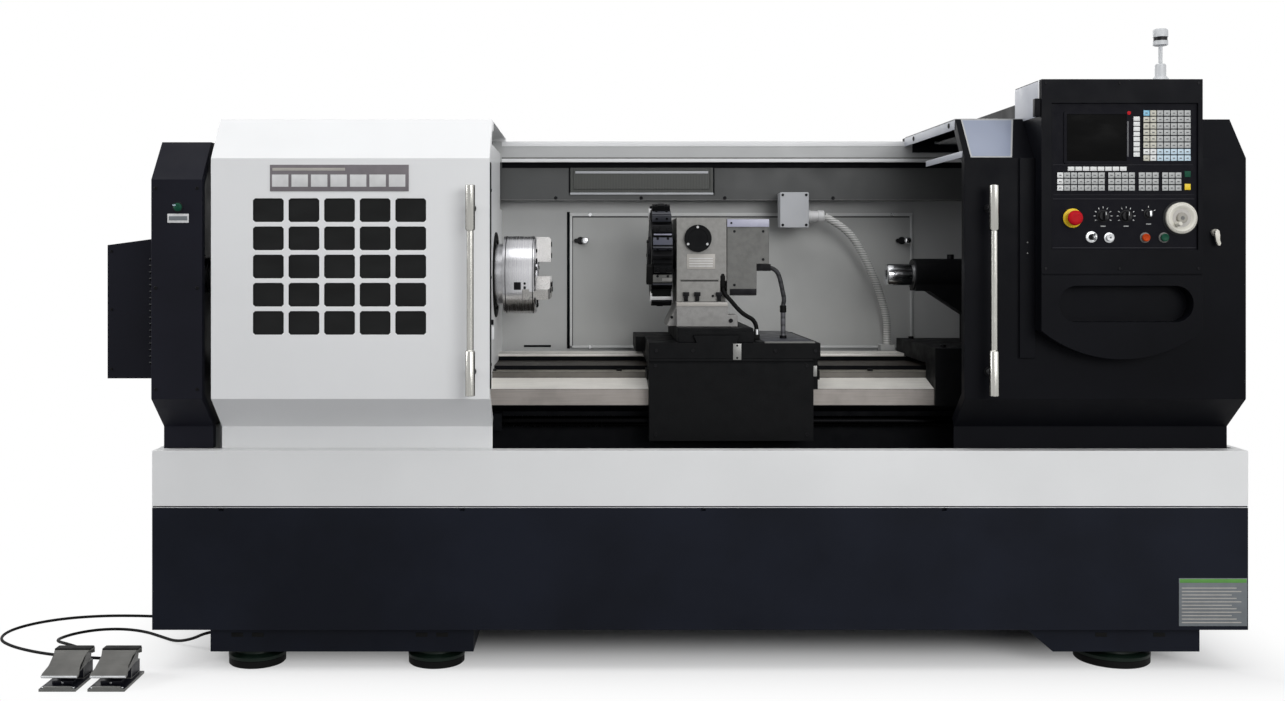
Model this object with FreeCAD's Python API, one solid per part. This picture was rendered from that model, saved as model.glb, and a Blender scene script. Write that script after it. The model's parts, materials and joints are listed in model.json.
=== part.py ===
import FreeCAD, Part
import math
import os

from FreeCAD import Vector

# CNC turning lathe with a flat bed, all sizes in millimetres.
# Frame: X runs along the bed from headstock to tailstock, -Y faces the operator, Z = 0 is the floor.

# --- Clearances and stock -------------------------------------------------------------------
SHEET = 3.0                  # folded sheet metal of doors, tray, guards and walls
SEAT_GAP = 0.3               # gap under a resting or sliding piece
RUNNING_GAP = 0.05           # gap of a shaft in its bearing and of a slide on its way
WORKING_GAP = 4.0            # free air between castings that pass each other
PANEL_GAP = 11.0             # gap between machine parts that face each other across a joint
FOLD = 30.0                  # width of a folded edge on a door or guard

# --- Base, tray and feet --------------------------------------------------------------------
BASE_LEFT = -1463.0
BASE_LENGTH = 3186.0
BASE_FRONT = -535.0
BASE_DEPTH = 1100.0
BASE_HEIGHT = 355.0
FOOT_HEIGHT = 52.0
FOOT_RADIUS = 84.0
WIDE_FOOT_RADIUS = 110.0
FOOT_SIDES = 16
PLINTH_HEIGHT = 72.0
PLINTH_INSET = 30.0
LEFT_PLINTH_INSET = 161.0
LEFT_PLINTH_LENGTH = 771.0
RIGHT_PLINTH_INSET = 127.0
RIGHT_PLINTH_LENGTH = 515.0
RIGHT_PLINTH_SLOPE = 85.0
SEAM_WIDTH = 4.0
SEAM_DEPTH = 3.0
NOTCH_COUNT = 4
NOTCH_INSET = 201.0
NOTCH_PITCH = 700.5
NOTCH_WIDTH = 14.0
NOTCH_DEPTH = 9.0
TRAY_HEIGHT = 166.0
TRAY_LEDGE = 48.0
TRACK_DROP = 33.0
TRACK_WIDTH = 20.0

# --- Bed and its ways -----------------------------------------------------------------------
BED_LEFT = -1255.0
BED_RIGHT = 1600.0
FRONT_WAY_Y = -345.0
FRONT_WAY_WIDTH = 100.0
FRONT_WAY_HEIGHT = 805.0
FRONT_WAY_RISE = 25.0
FRONT_WAY_DEPTH = 50.0
STRIP_WIDTH = 80.0
STRIP_RISE = 18.0
BAND_RISE = 31.0
REAR_WAY_Y = 35.0
REAR_WAY_WIDTH = 110.0
REAR_WAY_HEIGHT = 885.0
REAR_WAY_DEPTH = 35.0
BED_WALL_INSET = 60.0

# --- Headstock, spindle and drive -----------------------------------------------------------
SPINDLE_Y = -95.0
SPINDLE_HEIGHT = 1150.0
SPINDLE_RADIUS = 60.0
THROUGH_BORE_RADIUS = 38.0
HEADSTOCK_LEFT = -1230.0
HEADSTOCK_RIGHT = -520.0
HEADSTOCK_FRONT = -300.0
HEADSTOCK_REAR = 150.0
HEADSTOCK_TOP = 1400.0
HEADSTOCK_CHAMFER = 70.0
NOSE_RADIUS = 85.0
BACK_PLATE_LEFT = -492.0
BACK_PLATE_RADIUS = 100.0
BACK_PLATE_LENGTH = 25.0
CHUCK_RADIUS = 125.0
CHUCK_LENGTH = 105.0
CHUCK_CHAMFER = 6.0
JAW_COUNT = 3
JAW_WIDTH = 40.0
JAW_REACH = 46.0
JAW_SLOT_DEPTH = 42.0
JAW_TRAVEL = 5.0
JAW_MARGIN = 3.0             # from the bore to the jaw, and from the jaw to the chuck's rim
JAW_CHAMFER = 7.0
JAW_NECK_SHARE = 0.6         # width of a jaw's neck over the width of its slot
SPINDLE_PULLEY_RADIUS = 110.0
MOTOR_PULLEY_RADIUS = 75.0
PULLEY_WIDTH = 70.0
PULLEY_LEFT = -1390.0
PULLEY_SIDES = 32
BELT_THICKNESS = 10.0
BELT_WIDTH = 56.0
MOTOR_Y = 350.0
MOTOR_HEIGHT = 800.0
MOTOR_WIDTH = 220.0
MOTOR_CORNER = 45.0
MOTOR_FLANGE = 14.0
MOTOR_LEFT = -1200.0
MOTOR_LENGTH = 400.0
MOTOR_SHAFT_RADIUS = 24.0
FIN_COUNT = 5
FIN_DEPTH = 6.0

# --- Covers and guards ----------------------------------------------------------------------
END_COVER_LEFT = -1445.0
END_COVER_RIGHT = -1300.0
END_COVER_REAR = 520.0
END_COVER_TOP = 1545.0
END_COVER_BROW = 1430.0
VENT_LEFT = -1644.0
VENT_FRONT = -395.0
VENT_REAR = 205.0
VENT_BOTTOM = 842.0
VENT_TOP = 1244.0
VENT_RISE = 27.0
BAR_OPENING_RADIUS = 50.0    # opening in the vent cover through which bar stock is fed
LOUVRE_COUNT = 17
LOUVRE_PITCH = 19.5
LOUVRE_LENGTH = 64.0
LOUVRE_HEIGHT = 6.0
LOUVRE_DEPTH = 4.0
GUARD_Y = -415.0
HEAD_GUARD_RIGHT = -496.0
HEAD_GUARD_TOP = 1560.0
NOSE_HOLE_RADIUS = 112.0
TAIL_GUARD_LEFT = 985.0
TAIL_GUARD_RIGHT = 1703.0

# --- Rear wall and what hangs on it ---------------------------------------------------------
BEAM_TOP = 1600.0
BEAM_Y = 105.0
BEAM_DEPTH = 60.0
BEAM_BOTTOM = 1529.0
UPPER_PANEL_Y = 125.0
UPPER_PANEL_BOTTOM = 1401.0
LOWER_WALL_Y = 205.0
ACCESS_LEFT = -260.0
ACCESS_RIGHT = 930.0
ACCESS_BOTTOM = 891.0
ACCESS_TOP = 1360.0
LATCH_HEIGHT = 1264.0
LATCH_RADIUS = 13.0
LATCH_INSET = 37.0
LATCH_LENGTH = 44.0
LATCH_WIDTH = 14.0
LATCH_CORNER = 4.0
LAMP_LEFT = -257.0
LAMP_RIGHT = 230.0
LAMP_BOTTOM = 1427.0
LAMP_TOP = 1512.0
LAMP_DEPTH = 45.0
LAMP_RIM = 10.0
LAMP_GLASS_INSET = 12.0
JUNCTION_LEFT = 449.0
JUNCTION_WIDTH = 97.0
JUNCTION_BOTTOM = 1306.0
JUNCTION_HEIGHT = 119.0
JUNCTION_DEPTH = 70.0
CONDUIT_RADIUS = 12.5
FITTING_RADIUS = 16.0
FITTING_LENGTH = 57.0
FITTING_RISE = 39.0          # height of the fitting's axis above the junction box's lower edge
GLAND_BLOCK_TOP = 905.0
CABINET_LEFT = -420.0
CABINET_LENGTH = 1750.0
CABINET_REAR = 685.0
CABINET_HEIGHT = 915.0
CABINET_DOORS = 3
CABINET_SLOTS = 6
CABINET_HANDLE_LOW = 0.45    # share of the cabinet's height
CABINET_HANDLE_HIGH = 0.6

# --- Carriage -------------------------------------------------------------------------------
CARRIAGE_LEFT = -12.0
SADDLE_LENGTH = 517.0
APRON_LENGTH = 496.0
APRON_FRONT = -395.0
APRON_BOTTOM = 653.0
SADDLE_RIM_BOTTOM = 901.0
SADDLE_TOP = 949.0
SADDLE_REAR = 165.0
SADDLE_WING = 30.0
WAY_COVER_HEIGHT = 3.0
DOVETAIL_WIDTH = 120.0
DOVETAIL_HEIGHT = 22.0
DOVETAIL_FLARE = 10.0
SCREW_STANDOFF = 21.0        # from the bed's front wall to the ball screw's axis
SCREW_DROP = 53.0            # from the front way's underside to the ball screw's axis
SCREW_RADIUS = 16.0
SCREW_JOURNAL_RADIUS = 12.0
NUT_RADIUS = 27.0
NUT_LENGTH = 90.0

# --- Cross slide and turret -----------------------------------------------------------------
CROSS_LEFT = 77.0
CROSS_WIDTH = 229.0
CROSS_FRONT = -382.0
CROSS_REAR = 130.0
CROSS_TOP = 992.0
TURRET_LEFT = 81.0
TURRET_WIDTH = 156.0
TURRET_FRONT = -250.0
TURRET_REAR = -20.0
TURRET_BOTTOM = 1068.0
TURRET_TOP = 1331.0
TURRET_BASE_FRONT = -289.0
TURRET_SEAM = 1133.0
TURRET_COVER_RADIUS = 41.6
TURRET_COVER_X = 147.0
TURRET_COVER_HEIGHT = 1266.0
MOTOR_BOX_WIDTH = 132.0
MOTOR_BOX_NOTCH = 39.0
MOTOR_BOX_BOTTOM = 1087.0
MOTOR_BOX_TOP = 1327.0
MOTOR_BOX_STEP = 1186.0
MOTOR_BOX_SET_BACK = 5.0
MOTOR_BOX_LIP = 22.0
CONNECTOR_HEIGHT = 22.0
DISC_Y = -135.0
DISC_HEIGHT = 1213.0
DISC_RADIUS = 135.0
DISC_WIDTH = 66.0
DISC_GAP = 12.0
DISC_JOURNAL_RADIUS = 45.0
DISC_HUB_SHARE = 0.45        # hub radius over disc radius
STATION_COUNT = 8
HOLDER_HEIGHT = 24.0
HOLDER_LENGTH = 74.0
HOLDER_WIDTH = 60.0
TOOL_SHANK = 20.0
TOOL_REACH = 18.0
SLEEVE_RADIUS = 15.0
SLEEVE_BORE = 10.0
SLEEVE_SIDES = 16
BORING_STATIONS = (3, 7)
TURRET_CABLE_RADIUS = 5.5
COOLANT_RADIUS = 6.5
COOLANT_PIPE_RADIUS = 8.0

# --- Tailstock ------------------------------------------------------------------------------
TAIL_LEFT = 858.0
TAIL_LENGTH = 400.0
TAIL_BARREL_RADIUS = 52.0
TAIL_CYLINDER_RADIUS = 44.0
TAIL_WEB_WIDTH = 84.0
TAIL_UNDERCUT_START = 44.0
TAIL_UNDERCUT_END = 163.0
TAIL_UNDERCUT_DROP = 79.0
TAIL_FOOT_LEFT = 860.0
TAIL_FOOT_HEIGHT = 45.0
TAIL_SKIRT = 12.0            # thickness of the foot's skirt in front of the front way
QUILL_RADIUS = 35.0
QUILL_REACH = 84.0
QUILL_LENGTH = 380.0
QUILL_BORE = 16.0
QUILL_BORE_DEPTH = 60.0

# --- Sliding doors --------------------------------------------------------------------------
DOOR_FRONT = -595.0
DOOR_ROOF = 1612.0
DOOR_BROW = 1491.0
DOOR_BROW_SETBACK = 95.0
DOOR_SILL = 802.0
DOOR_SILL_SETBACK = 111.0
SKIRT_TOP = 709.5
SKIRT_BOTTOM = 637.0
ROOF_REAR = 140.0
LEFT_DOOR_LEFT = -1274.0
LEFT_DOOR_WIDTH = 797.0
OPENING_WIDTH = 1358.0
RIGHT_DOOR_WIDTH = 805.0
SHOE_LENGTH = 60.0
SHOE_WIDTH = 8.0
WINDOW_COLUMNS = 5
WINDOW_ROWS = 5
WINDOW_LEFT = -1154.0
WINDOW_BOTTOM = 986.0
WINDOW_PITCH_X = 101.8
WINDOW_PITCH_Z = 80.6
WINDOW_WIDTH = 88.0
WINDOW_HEIGHT = 67.5
WINDOW_CORNER = 6.0
GLASS_THICKNESS = 5.0
GLASS_MARGIN = 18.0
HANDLE_RADIUS = 10.0
HANDLE_SIDES = 16
SLEEVE_GRIP_RADIUS = 14.0
SLEEVE_GRIP_LENGTH = 130.0
HANDLE_BOTTOM = 816.0
HANDLE_LENGTH = 596.0
HANDLE_STANDOFF = 50.0
LEFT_HANDLE_INSET = 51.0
RIGHT_HANDLE_INSET = 69.0

# --- Control box and its controls -----------------------------------------------------------
BOX_INSET = 199.0            # from the right door's left edge
BOX_WIDTH = 454.0
BOX_FRONT = -655.0
BOX_DEPTH = 226.0
BOX_TOP = 1709.0
BOX_SEAM = 1158.0
BOX_BOTTOM = 1000.0
SHELL_BOTTOM = 920.0
SHELL_DEPTH = 110.0
PANEL_INSET = 29.0
PANEL_BOTTOM = 1229.0
PANEL_SIZE = 412.0
PANEL_RECESS = 7.0
PLATE_THICKNESS = 3.0
POCKET_INSET = 50.0
POCKET_WIDTH = 378.0
POCKET_BOTTOM = 1025.0
POCKET_HEIGHT = 102.0
POCKET_DEPTH = 45.0
SCREEN_INSET = 128.0         # screen's middle, from the panel's left edge
SCREEN_RISE = 316.0          # screen's middle, from the panel's lower edge
SCREEN_WIDTH = 168.0
SCREEN_HEIGHT = 132.0
SCREEN_BEZEL = 8.0
PAD_THICKNESS = 1.2
STEM_RADIUS = 6.0
STEM_LENGTH = 22.0
KNOB_GAP = 2.3               # gap between a turning knob and the panel
BUTTON_GAP = 6.3             # gap between a button's cap and the panel, which holds its travel
KNOB_SIDES = 24
STEM_SIDES = 6
HOLE_SIDES = 12
BUTTON_RADIUS = 11.0
BUTTON_HEIGHT = 6.0
BUTTON_BEVEL = 2.0
DIAL_SIZE = (15.0, 9.0, 7.0)          # radius, height and width of the grip
SELECTOR_SIZE = (11.0, 7.0, 6.0)
STOP_PROFILE = [(0, 12), (8, 13), (11, 21), (18, 21), (23, 16)]    # heights and radii
LEVER_INSET = 91.0           # from the right door's right edge
LEVER_HEIGHT = 1278.0
COLUMN_WIDTH = 44.0
COLUMN_DEPTH = 10.0
DUCT_WIDTH = 200.0
DUCT_LENGTH = 390.0
DUCT_HEIGHT = 50.0
SIGNAL_INSET = 71.0          # from the box's right side
SIGNAL_SETBACK = 110.0       # from the box's front
SIGNAL_SIDES = 16
SIGNAL_FOOT = [(0, 26), (8, 26), (22, 18)]            # heights above the box and radii
SIGNAL_SOCKET = [(22, 15.5), (58, 15.5)]
SIGNAL_NECK = [(58, 6), (111, 6)]
SIGNAL_HEAD = [(111, 21), (157, 21), (160, 18)]

# --- Foot pedals and their cables -----------------------------------------------------------
PEDAL_FRONT = -700.0
PEDAL_LENGTH = 160.0
PEDAL_WIDTH = 104.0
LEFT_PEDAL_X = -1671.0
RIGHT_PEDAL_X = -1535.0
PEDAL_PLATE = 8.0
PEDAL_LIP = 14.0
PEDAL_BLOCK_HEIGHT = 44.0
TREAD_REAR_HEIGHT = 84.0
TREAD_FRONT_HEIGHT = 38.0
TREAD_THICKNESS = 4.0
TREAD_WAIST = 7.0
PIVOT_HEIGHT = 58.0
PIVOT_RADIUS = 5.0
PIVOT_INSET = 38.0
EAR_THICKNESS = 6.0
PEDAL_CABLE_RADIUS = 4.5
TUBE_SIDES = 6
GLAND_RADIUS = 9.0
GLAND_LENGTH = 16.0

# Routes of the two pedal cables, from the plinth's glands to the pedals' glands.
LEFT_CABLE_EXIT = (-340.0, 66.0)
RIGHT_CABLE_EXIT = (-20.0, 66.0)

# --- Places that follow from the sizes above ------------------------------------------------
base_right = BASE_LEFT + BASE_LENGTH
base_rear = BASE_FRONT + BASE_DEPTH
plinth_z = FOOT_HEIGHT
base_z = plinth_z + PLINTH_HEIGHT
tray_z = base_z + BASE_HEIGHT
tray_top = tray_z + TRAY_HEIGHT
tray_floor = tray_z + SHEET
ledge_y = BASE_FRONT + TRAY_LEDGE
track_z = tray_top - TRACK_DROP
left_plinth_x = BASE_LEFT + LEFT_PLINTH_INSET
right_plinth_end = base_right - RIGHT_PLINTH_INSET
skirt_y = DOOR_FRONT + DOOR_SILL_SETBACK
brow_y = DOOR_FRONT + DOOR_BROW_SETBACK
left_door_right = LEFT_DOOR_LEFT + LEFT_DOOR_WIDTH
right_door_left = left_door_right + OPENING_WIDTH
right_door_right = right_door_left + RIGHT_DOOR_WIDTH
box_left = right_door_left + BOX_INSET
box_right = box_left + BOX_WIDTH
panel_left = box_left + PANEL_INSET
lever_x = right_door_right - LEVER_INSET
back_plate_right = BACK_PLATE_LEFT + BACK_PLATE_LENGTH
chuck_face = back_plate_right + CHUCK_LENGTH
turret_right = TURRET_LEFT + TURRET_WIDTH
disc_right = TURRET_LEFT - DISC_GAP
disc_left = disc_right - DISC_WIDTH
panel_y = BOX_FRONT + PANEL_RECESS
saddle_right = CARRIAGE_LEFT + SADDLE_LENGTH
cross_right = CROSS_LEFT + CROSS_WIDTH
screw_y = FRONT_WAY_Y + BED_WALL_INSET - SCREW_STANDOFF
screw_z = FRONT_WAY_HEIGHT - FRONT_WAY_DEPTH - SCREW_DROP


# --- Shape helpers --------------------------------------------------------------------------
AXES = {"x": Vector(1, 0, 0), "y": Vector(0, 1, 0), "z": Vector(0, 0, 1)}


def at(axis, along, first, second):
    """Return the point that lies `along` an axis, with its two other coordinates in X, Y, Z order."""
    places = {
        "x": (along, first, second),
        "y": (first, along, second),
        "z": (first, second, along),
    }
    return Vector(*places[axis])


def block(x_range, y_range, z_range):
    """Return a box between three pairs of coordinates."""
    sizes = [high - low for low, high in (x_range, y_range, z_range)]
    return Part.makeBox(*sizes, Vector(x_range[0], y_range[0], z_range[0]))


def prism(axis, outline, start, end):
    """Extrude a closed outline of points along an axis from start to end."""
    corners = [at(axis, start, *point) for point in outline]
    face = Part.Face(Part.makePolygon(corners + corners[:1]))
    return face.extrude(AXES[axis] * (end - start))


def rod(axis, start, end, centre, radius):
    """Return a round bar along an axis, about a centre given in the other two coordinates."""
    return Part.makeCylinder(radius, end - start, at(axis, start, *centre), AXES[axis])


def turned(axis, centre, outline):
    """Revolve an outline of (place along the axis, radius) points about an axis."""
    first, second = centre
    corners = [at(axis, along, first + radius, second) for along, radius in outline]
    if axis == "x":
        corners = [Vector(along, first, second + radius) for along, radius in outline]
    face = Part.Face(Part.makePolygon(corners + corners[:1]))
    return face.revolve(at(axis, 0, first, second), AXES[axis], 360)


def joined(*shapes):
    """Fuse touching shapes into one clean solid."""
    return shapes[0].multiFuse(list(shapes[1:])).removeSplitter()


def cut(shape, *tools):
    """Cut tools out of a shape."""
    return shape.cut(list(tools))


def folded(points, thickness):
    """Return the closed outline of a folded sheet whose outer side runs through the points."""
    inner = []
    for index, point in enumerate(points):
        before = points[max(index - 1, 0)]
        after = points[min(index + 1, len(points) - 1)]
        first = Vector(point[0] - before[0], point[1] - before[1], 0)
        second = Vector(after[0] - point[0], after[1] - point[1], 0)
        first = second if first.Length == 0 else first
        second = first if second.Length == 0 else second
        first.normalize()
        second.normalize()
        side = Vector(first.y + second.y, -first.x - second.x, 0)
        reach = 2 * thickness / side.Length ** 2
        inner.append((point[0] + side.x * reach, point[1] + side.y * reach))
    return points + inner[::-1]


def rounded_slab(x_range, z_range, corner, y_range):
    """Return a plate with rounded corners in the XZ plane between two Y places."""
    left, right = x_range
    bottom, top = z_range
    y = y_range[0]
    slant = corner * (1 - math.sqrt(0.5))

    def point(x, z):
        return Vector(x, y, z)

    edges = [
        Part.LineSegment(point(left + corner, bottom), point(right - corner, bottom)),
        Part.Arc(point(right - corner, bottom), point(right - slant, bottom + slant),
                 point(right, bottom + corner)),
        Part.LineSegment(point(right, bottom + corner), point(right, top - corner)),
        Part.Arc(point(right, top - corner), point(right - slant, top - slant),
                 point(right - corner, top)),
        Part.LineSegment(point(right - corner, top), point(left + corner, top)),
        Part.Arc(point(left + corner, top), point(left + slant, top - slant),
                 point(left, top - corner)),
        Part.LineSegment(point(left, top - corner), point(left, bottom + corner)),
        Part.Arc(point(left, bottom + corner), point(left + slant, bottom + slant),
                 point(left + corner, bottom)),
    ]
    face = Part.Face(Part.Wire([edge.toShape() for edge in edges]))
    return face.extrude(Vector(0, y_range[1] - y, 0))


def clipped_slab(x_range, z_range, corner, y_range):
    """Return a plate with clipped corners in the XZ plane between two Y places."""
    left, right = x_range
    bottom, top = z_range
    outline = [
        (left + corner, bottom),
        (right - corner, bottom),
        (right, bottom + corner),
        (right, top - corner),
        (right - corner, top),
        (left + corner, top),
        (left, top - corner),
        (left, bottom + corner),
    ]
    return prism("y", outline, *y_range)


def sided(axis, centre, outline, sides):
    """Return a many-sided knob or stem through its (place along the axis, corner radius) pairs."""
    rings = []
    for along, radius in outline:
        ring = []
        for number in range(sides + 1):
            angle = math.radians((number % sides + 0.5) * 360.0 / sides)
            first = centre[0] + radius * math.cos(angle)
            second = centre[1] + radius * math.sin(angle)
            ring.append(at(axis, along, first, second))
        rings.append(ring)
    faces = [Part.Face(Part.makePolygon(rings[0])), Part.Face(Part.makePolygon(rings[-1]))]
    for low, high in zip(rings, rings[1:]):
        for number in range(sides):
            corners = [low[number], low[number + 1], high[number + 1], high[number], low[number]]
            faces.append(Part.Face(Part.makePolygon(corners)))
    shell = Part.makeShell(faces)
    shell.sewShape()
    solid = Part.Solid(shell)
    if solid.Volume < 0:
        solid.reverse()
    return solid


def tube_section(centre, heading, radius):
    """Return the six-sided section of a cable or hose, square to its heading."""
    reference = AXES["x"] if abs(heading.z) > abs(heading.x) else AXES["z"]
    side = heading.cross(reference).normalize()
    rise = heading.cross(side).normalize()
    corners = []
    for number in range(TUBE_SIDES):
        angle = math.radians((number + 0.5) * 360.0 / TUBE_SIDES)
        corners.append(centre + side * (radius * math.cos(angle)) + rise * (radius * math.sin(angle)))
    return Part.makePolygon(corners + corners[:1])


def routed_tube(points, radius, name):
    """Sweep a cable's section along straight runs joined by the largest arcs that they allow."""
    knots = [Vector(*point) for point in points]
    edges = []
    radii = []
    start = knots[0]
    for before, knot, after in zip(knots, knots[1:], knots[2:]):
        incoming = knot - before
        outgoing = after - knot
        trim = 0.45 * min(incoming.Length, outgoing.Length)
        turn = incoming.getAngle(outgoing)
        radii.append(trim / math.tan(turn / 2))
        incoming.normalize()
        outgoing.normalize()
        arc_start = knot - incoming * trim
        arc_end = knot + outgoing * trim
        inward = (outgoing - incoming).normalize()
        depth = radii[-1] * (1 / math.cos(turn / 2) - 1)
        edges.append(Part.LineSegment(start, arc_start).toShape())
        edges.append(Part.Arc(arc_start, knot + inward * depth, arc_end).toShape())
        start = arc_end
    edges.append(Part.LineSegment(start, knots[-1]).toShape())
    path = Part.Wire(edges)
    section = tube_section(knots[0], knots[1] - knots[0], radius)
    tube = path.makePipeShell([section], True, False)
    expected = Part.Face(section).Area * path.Length
    print(f"{name}: length {path.Length:.0f}, least radius {min(radii):.0f},",
          f"volume {tube.Volume / expected:.4f} of section times length")
    return tube


# --- Base, tray, bed ------------------------------------------------------------------------
def make_base():
    """Welded base: one long box on two plinths, with lifting notches and cable glands."""
    inner_y = (BASE_FRONT + PLINTH_INSET, base_rear - PLINTH_INSET)
    body = block((BASE_LEFT, base_right), (BASE_FRONT, base_rear), (base_z, tray_z))
    left_plinth = block((left_plinth_x, left_plinth_x + LEFT_PLINTH_LENGTH), inner_y,
                        (plinth_z, base_z))
    right_start = right_plinth_end - RIGHT_PLINTH_LENGTH
    right_outline = [
        (right_start + RIGHT_PLINTH_SLOPE, plinth_z),
        (right_plinth_end, plinth_z),
        (right_plinth_end, base_z),
        (right_start, base_z),
    ]
    right_plinth = prism("y", right_outline, *inner_y)
    notches = []
    for number in range(NOTCH_COUNT):
        x = BASE_LEFT + NOTCH_INSET + number * NOTCH_PITCH
        notches.append(block((x - NOTCH_WIDTH / 2, x + NOTCH_WIDTH / 2),
                             (BASE_FRONT - 1, BASE_FRONT + NOTCH_WIDTH),
                             (tray_z - NOTCH_DEPTH, tray_z + 1)))
    glands = []
    for place in (LEFT_CABLE_EXIT, RIGHT_CABLE_EXIT):
        outline = [(left_plinth_x - GLAND_LENGTH, GLAND_RADIUS), (left_plinth_x, GLAND_RADIUS)]
        glands.append(sided("x", place, outline, HOLE_SIDES))
    return cut(joined(body, left_plinth, right_plinth, *glands), *notches)


def make_feet():
    """Round vibration mounts under both plinths, each a rubber disc with a flange and a neck."""
    left_centre = left_plinth_x + LEFT_PLINTH_LENGTH / 2
    left_spread = LEFT_PLINTH_LENGTH / 2 - 1.4 * FOOT_RADIUS
    right_centre = right_plinth_end - (RIGHT_PLINTH_LENGTH - RIGHT_PLINTH_SLOPE) / 2
    places = [
        (left_centre - left_spread, FOOT_RADIUS),
        (left_centre + left_spread, FOOT_RADIUS),
        (right_centre, WIDE_FOOT_RADIUS),
    ]
    feet = []
    for x, radius in places:
        for y in (BASE_FRONT + PLINTH_INSET + radius, base_rear - PLINTH_INSET - radius):
            outline = [
                (0, radius),
                (0.62 * FOOT_HEIGHT, radius),
                (0.75 * FOOT_HEIGHT, 0.8 * radius),
                (FOOT_HEIGHT, 0.8 * radius),
            ]
            feet.append(sided("z", (x, y), outline, FOOT_SIDES))
    return Part.makeCompound(feet)


def make_tray():
    """Chip tray: floor, walls with folded ledges, and the track that carries the doors."""
    floor = block((BASE_LEFT, base_right), (BASE_FRONT, base_rear), (tray_z, tray_floor))
    front = [
        (BASE_FRONT, tray_z),
        (BASE_FRONT, tray_top),
        (ledge_y, tray_top),
        (ledge_y, track_z),
        (ledge_y + TRACK_WIDTH, track_z),
    ]
    front_wall = prism("x", folded(front, SHEET), BASE_LEFT, base_right)
    rear = [(base_rear, tray_z), (base_rear, tray_top), (base_rear - TRAY_LEDGE, tray_top)]
    rear_wall = prism("x", folded([(y, z) for y, z in rear], -SHEET), BASE_LEFT, base_right)
    left = [(BASE_LEFT, tray_z), (BASE_LEFT, tray_top), (BASE_LEFT + FOLD, tray_top)]
    left_wall = prism("y", folded(left, SHEET), BASE_FRONT, base_rear)
    right = [(base_right, tray_z), (base_right, tray_top), (TAIL_GUARD_RIGHT, tray_top)]
    right_wall = prism("y", folded(right, -SHEET), BASE_FRONT, base_rear)
    return joined(floor, front_wall, rear_wall, left_wall, right_wall)


def bed_outline(clearance=0.0):
    """Return the top of the bed's section from front to rear, raised by a clearance."""
    front_high = FRONT_WAY_HEIGHT + FRONT_WAY_RISE
    strip_y = FRONT_WAY_Y + FRONT_WAY_WIDTH
    strip_high = front_high + STRIP_RISE
    band_high = front_high + BAND_RISE
    return [
        (FRONT_WAY_Y, FRONT_WAY_HEIGHT + clearance),
        (strip_y, front_high + clearance),
        (strip_y, strip_high + clearance),
        (strip_y + STRIP_WIDTH, strip_high + clearance),
        (strip_y + STRIP_WIDTH, band_high + clearance),
        (REAR_WAY_Y, band_high + clearance),
        (REAR_WAY_Y, REAR_WAY_HEIGHT + clearance),
        (REAR_WAY_Y + REAR_WAY_WIDTH, REAR_WAY_HEIGHT + clearance),
    ]


def make_bed():
    """Flat bed casting: two ways over hollowed walls, with a raised strip between them."""
    front_wall = FRONT_WAY_Y + BED_WALL_INSET
    rear_edge = REAR_WAY_Y + REAR_WAY_WIDTH
    rear_wall = rear_edge - BED_WALL_INSET / 2
    lip = FRONT_WAY_HEIGHT - FRONT_WAY_DEPTH
    rear_lip = REAR_WAY_HEIGHT - REAR_WAY_DEPTH
    outline = bed_outline() + [
        (rear_edge, rear_lip),
        (rear_wall, rear_lip - REAR_WAY_DEPTH),
        (rear_wall, tray_floor),
        (front_wall, tray_floor),
        (front_wall, lip - FRONT_WAY_DEPTH / 2),
        (FRONT_WAY_Y, lip),
    ]
    return prism("x", outline, BED_LEFT, BED_RIGHT)


# --- Headstock, spindle, chuck and drive ----------------------------------------------------
SPINDLE_CENTRE = (SPINDLE_Y, SPINDLE_HEIGHT)


def make_headstock(bed):
    """Headstock casting on the bed, with a sloped top, a nose boss and the spindle bearing."""
    chamfer = HEADSTOCK_CHAMFER
    outline = [
        (HEADSTOCK_FRONT, FRONT_WAY_HEIGHT),
        (HEADSTOCK_REAR, FRONT_WAY_HEIGHT),
        (HEADSTOCK_REAR, HEADSTOCK_TOP - chamfer),
        (HEADSTOCK_REAR - chamfer, HEADSTOCK_TOP),
        (HEADSTOCK_FRONT + 2 * chamfer, HEADSTOCK_TOP),
        (HEADSTOCK_FRONT, HEADSTOCK_TOP - 2 * chamfer),
    ]
    housing = prism("x", outline, HEADSTOCK_LEFT, HEADSTOCK_RIGHT)
    lid_y = (HEADSTOCK_FRONT + 2 * chamfer, HEADSTOCK_REAR - chamfer)
    lid = block((HEADSTOCK_LEFT + chamfer, HEADSTOCK_RIGHT - chamfer), lid_y,
                (HEADSTOCK_TOP, HEADSTOCK_TOP + FOLD / 2))
    rear_boss = rod("x", END_COVER_RIGHT, HEADSTOCK_LEFT, SPINDLE_CENTRE, NOSE_RADIUS)
    bore = rod("x", END_COVER_RIGHT - 1, HEADSTOCK_RIGHT + 1, SPINDLE_CENTRE, SPINDLE_RADIUS + RUNNING_GAP)
    return cut(joined(housing, lid, rear_boss), bore, bed)


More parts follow.
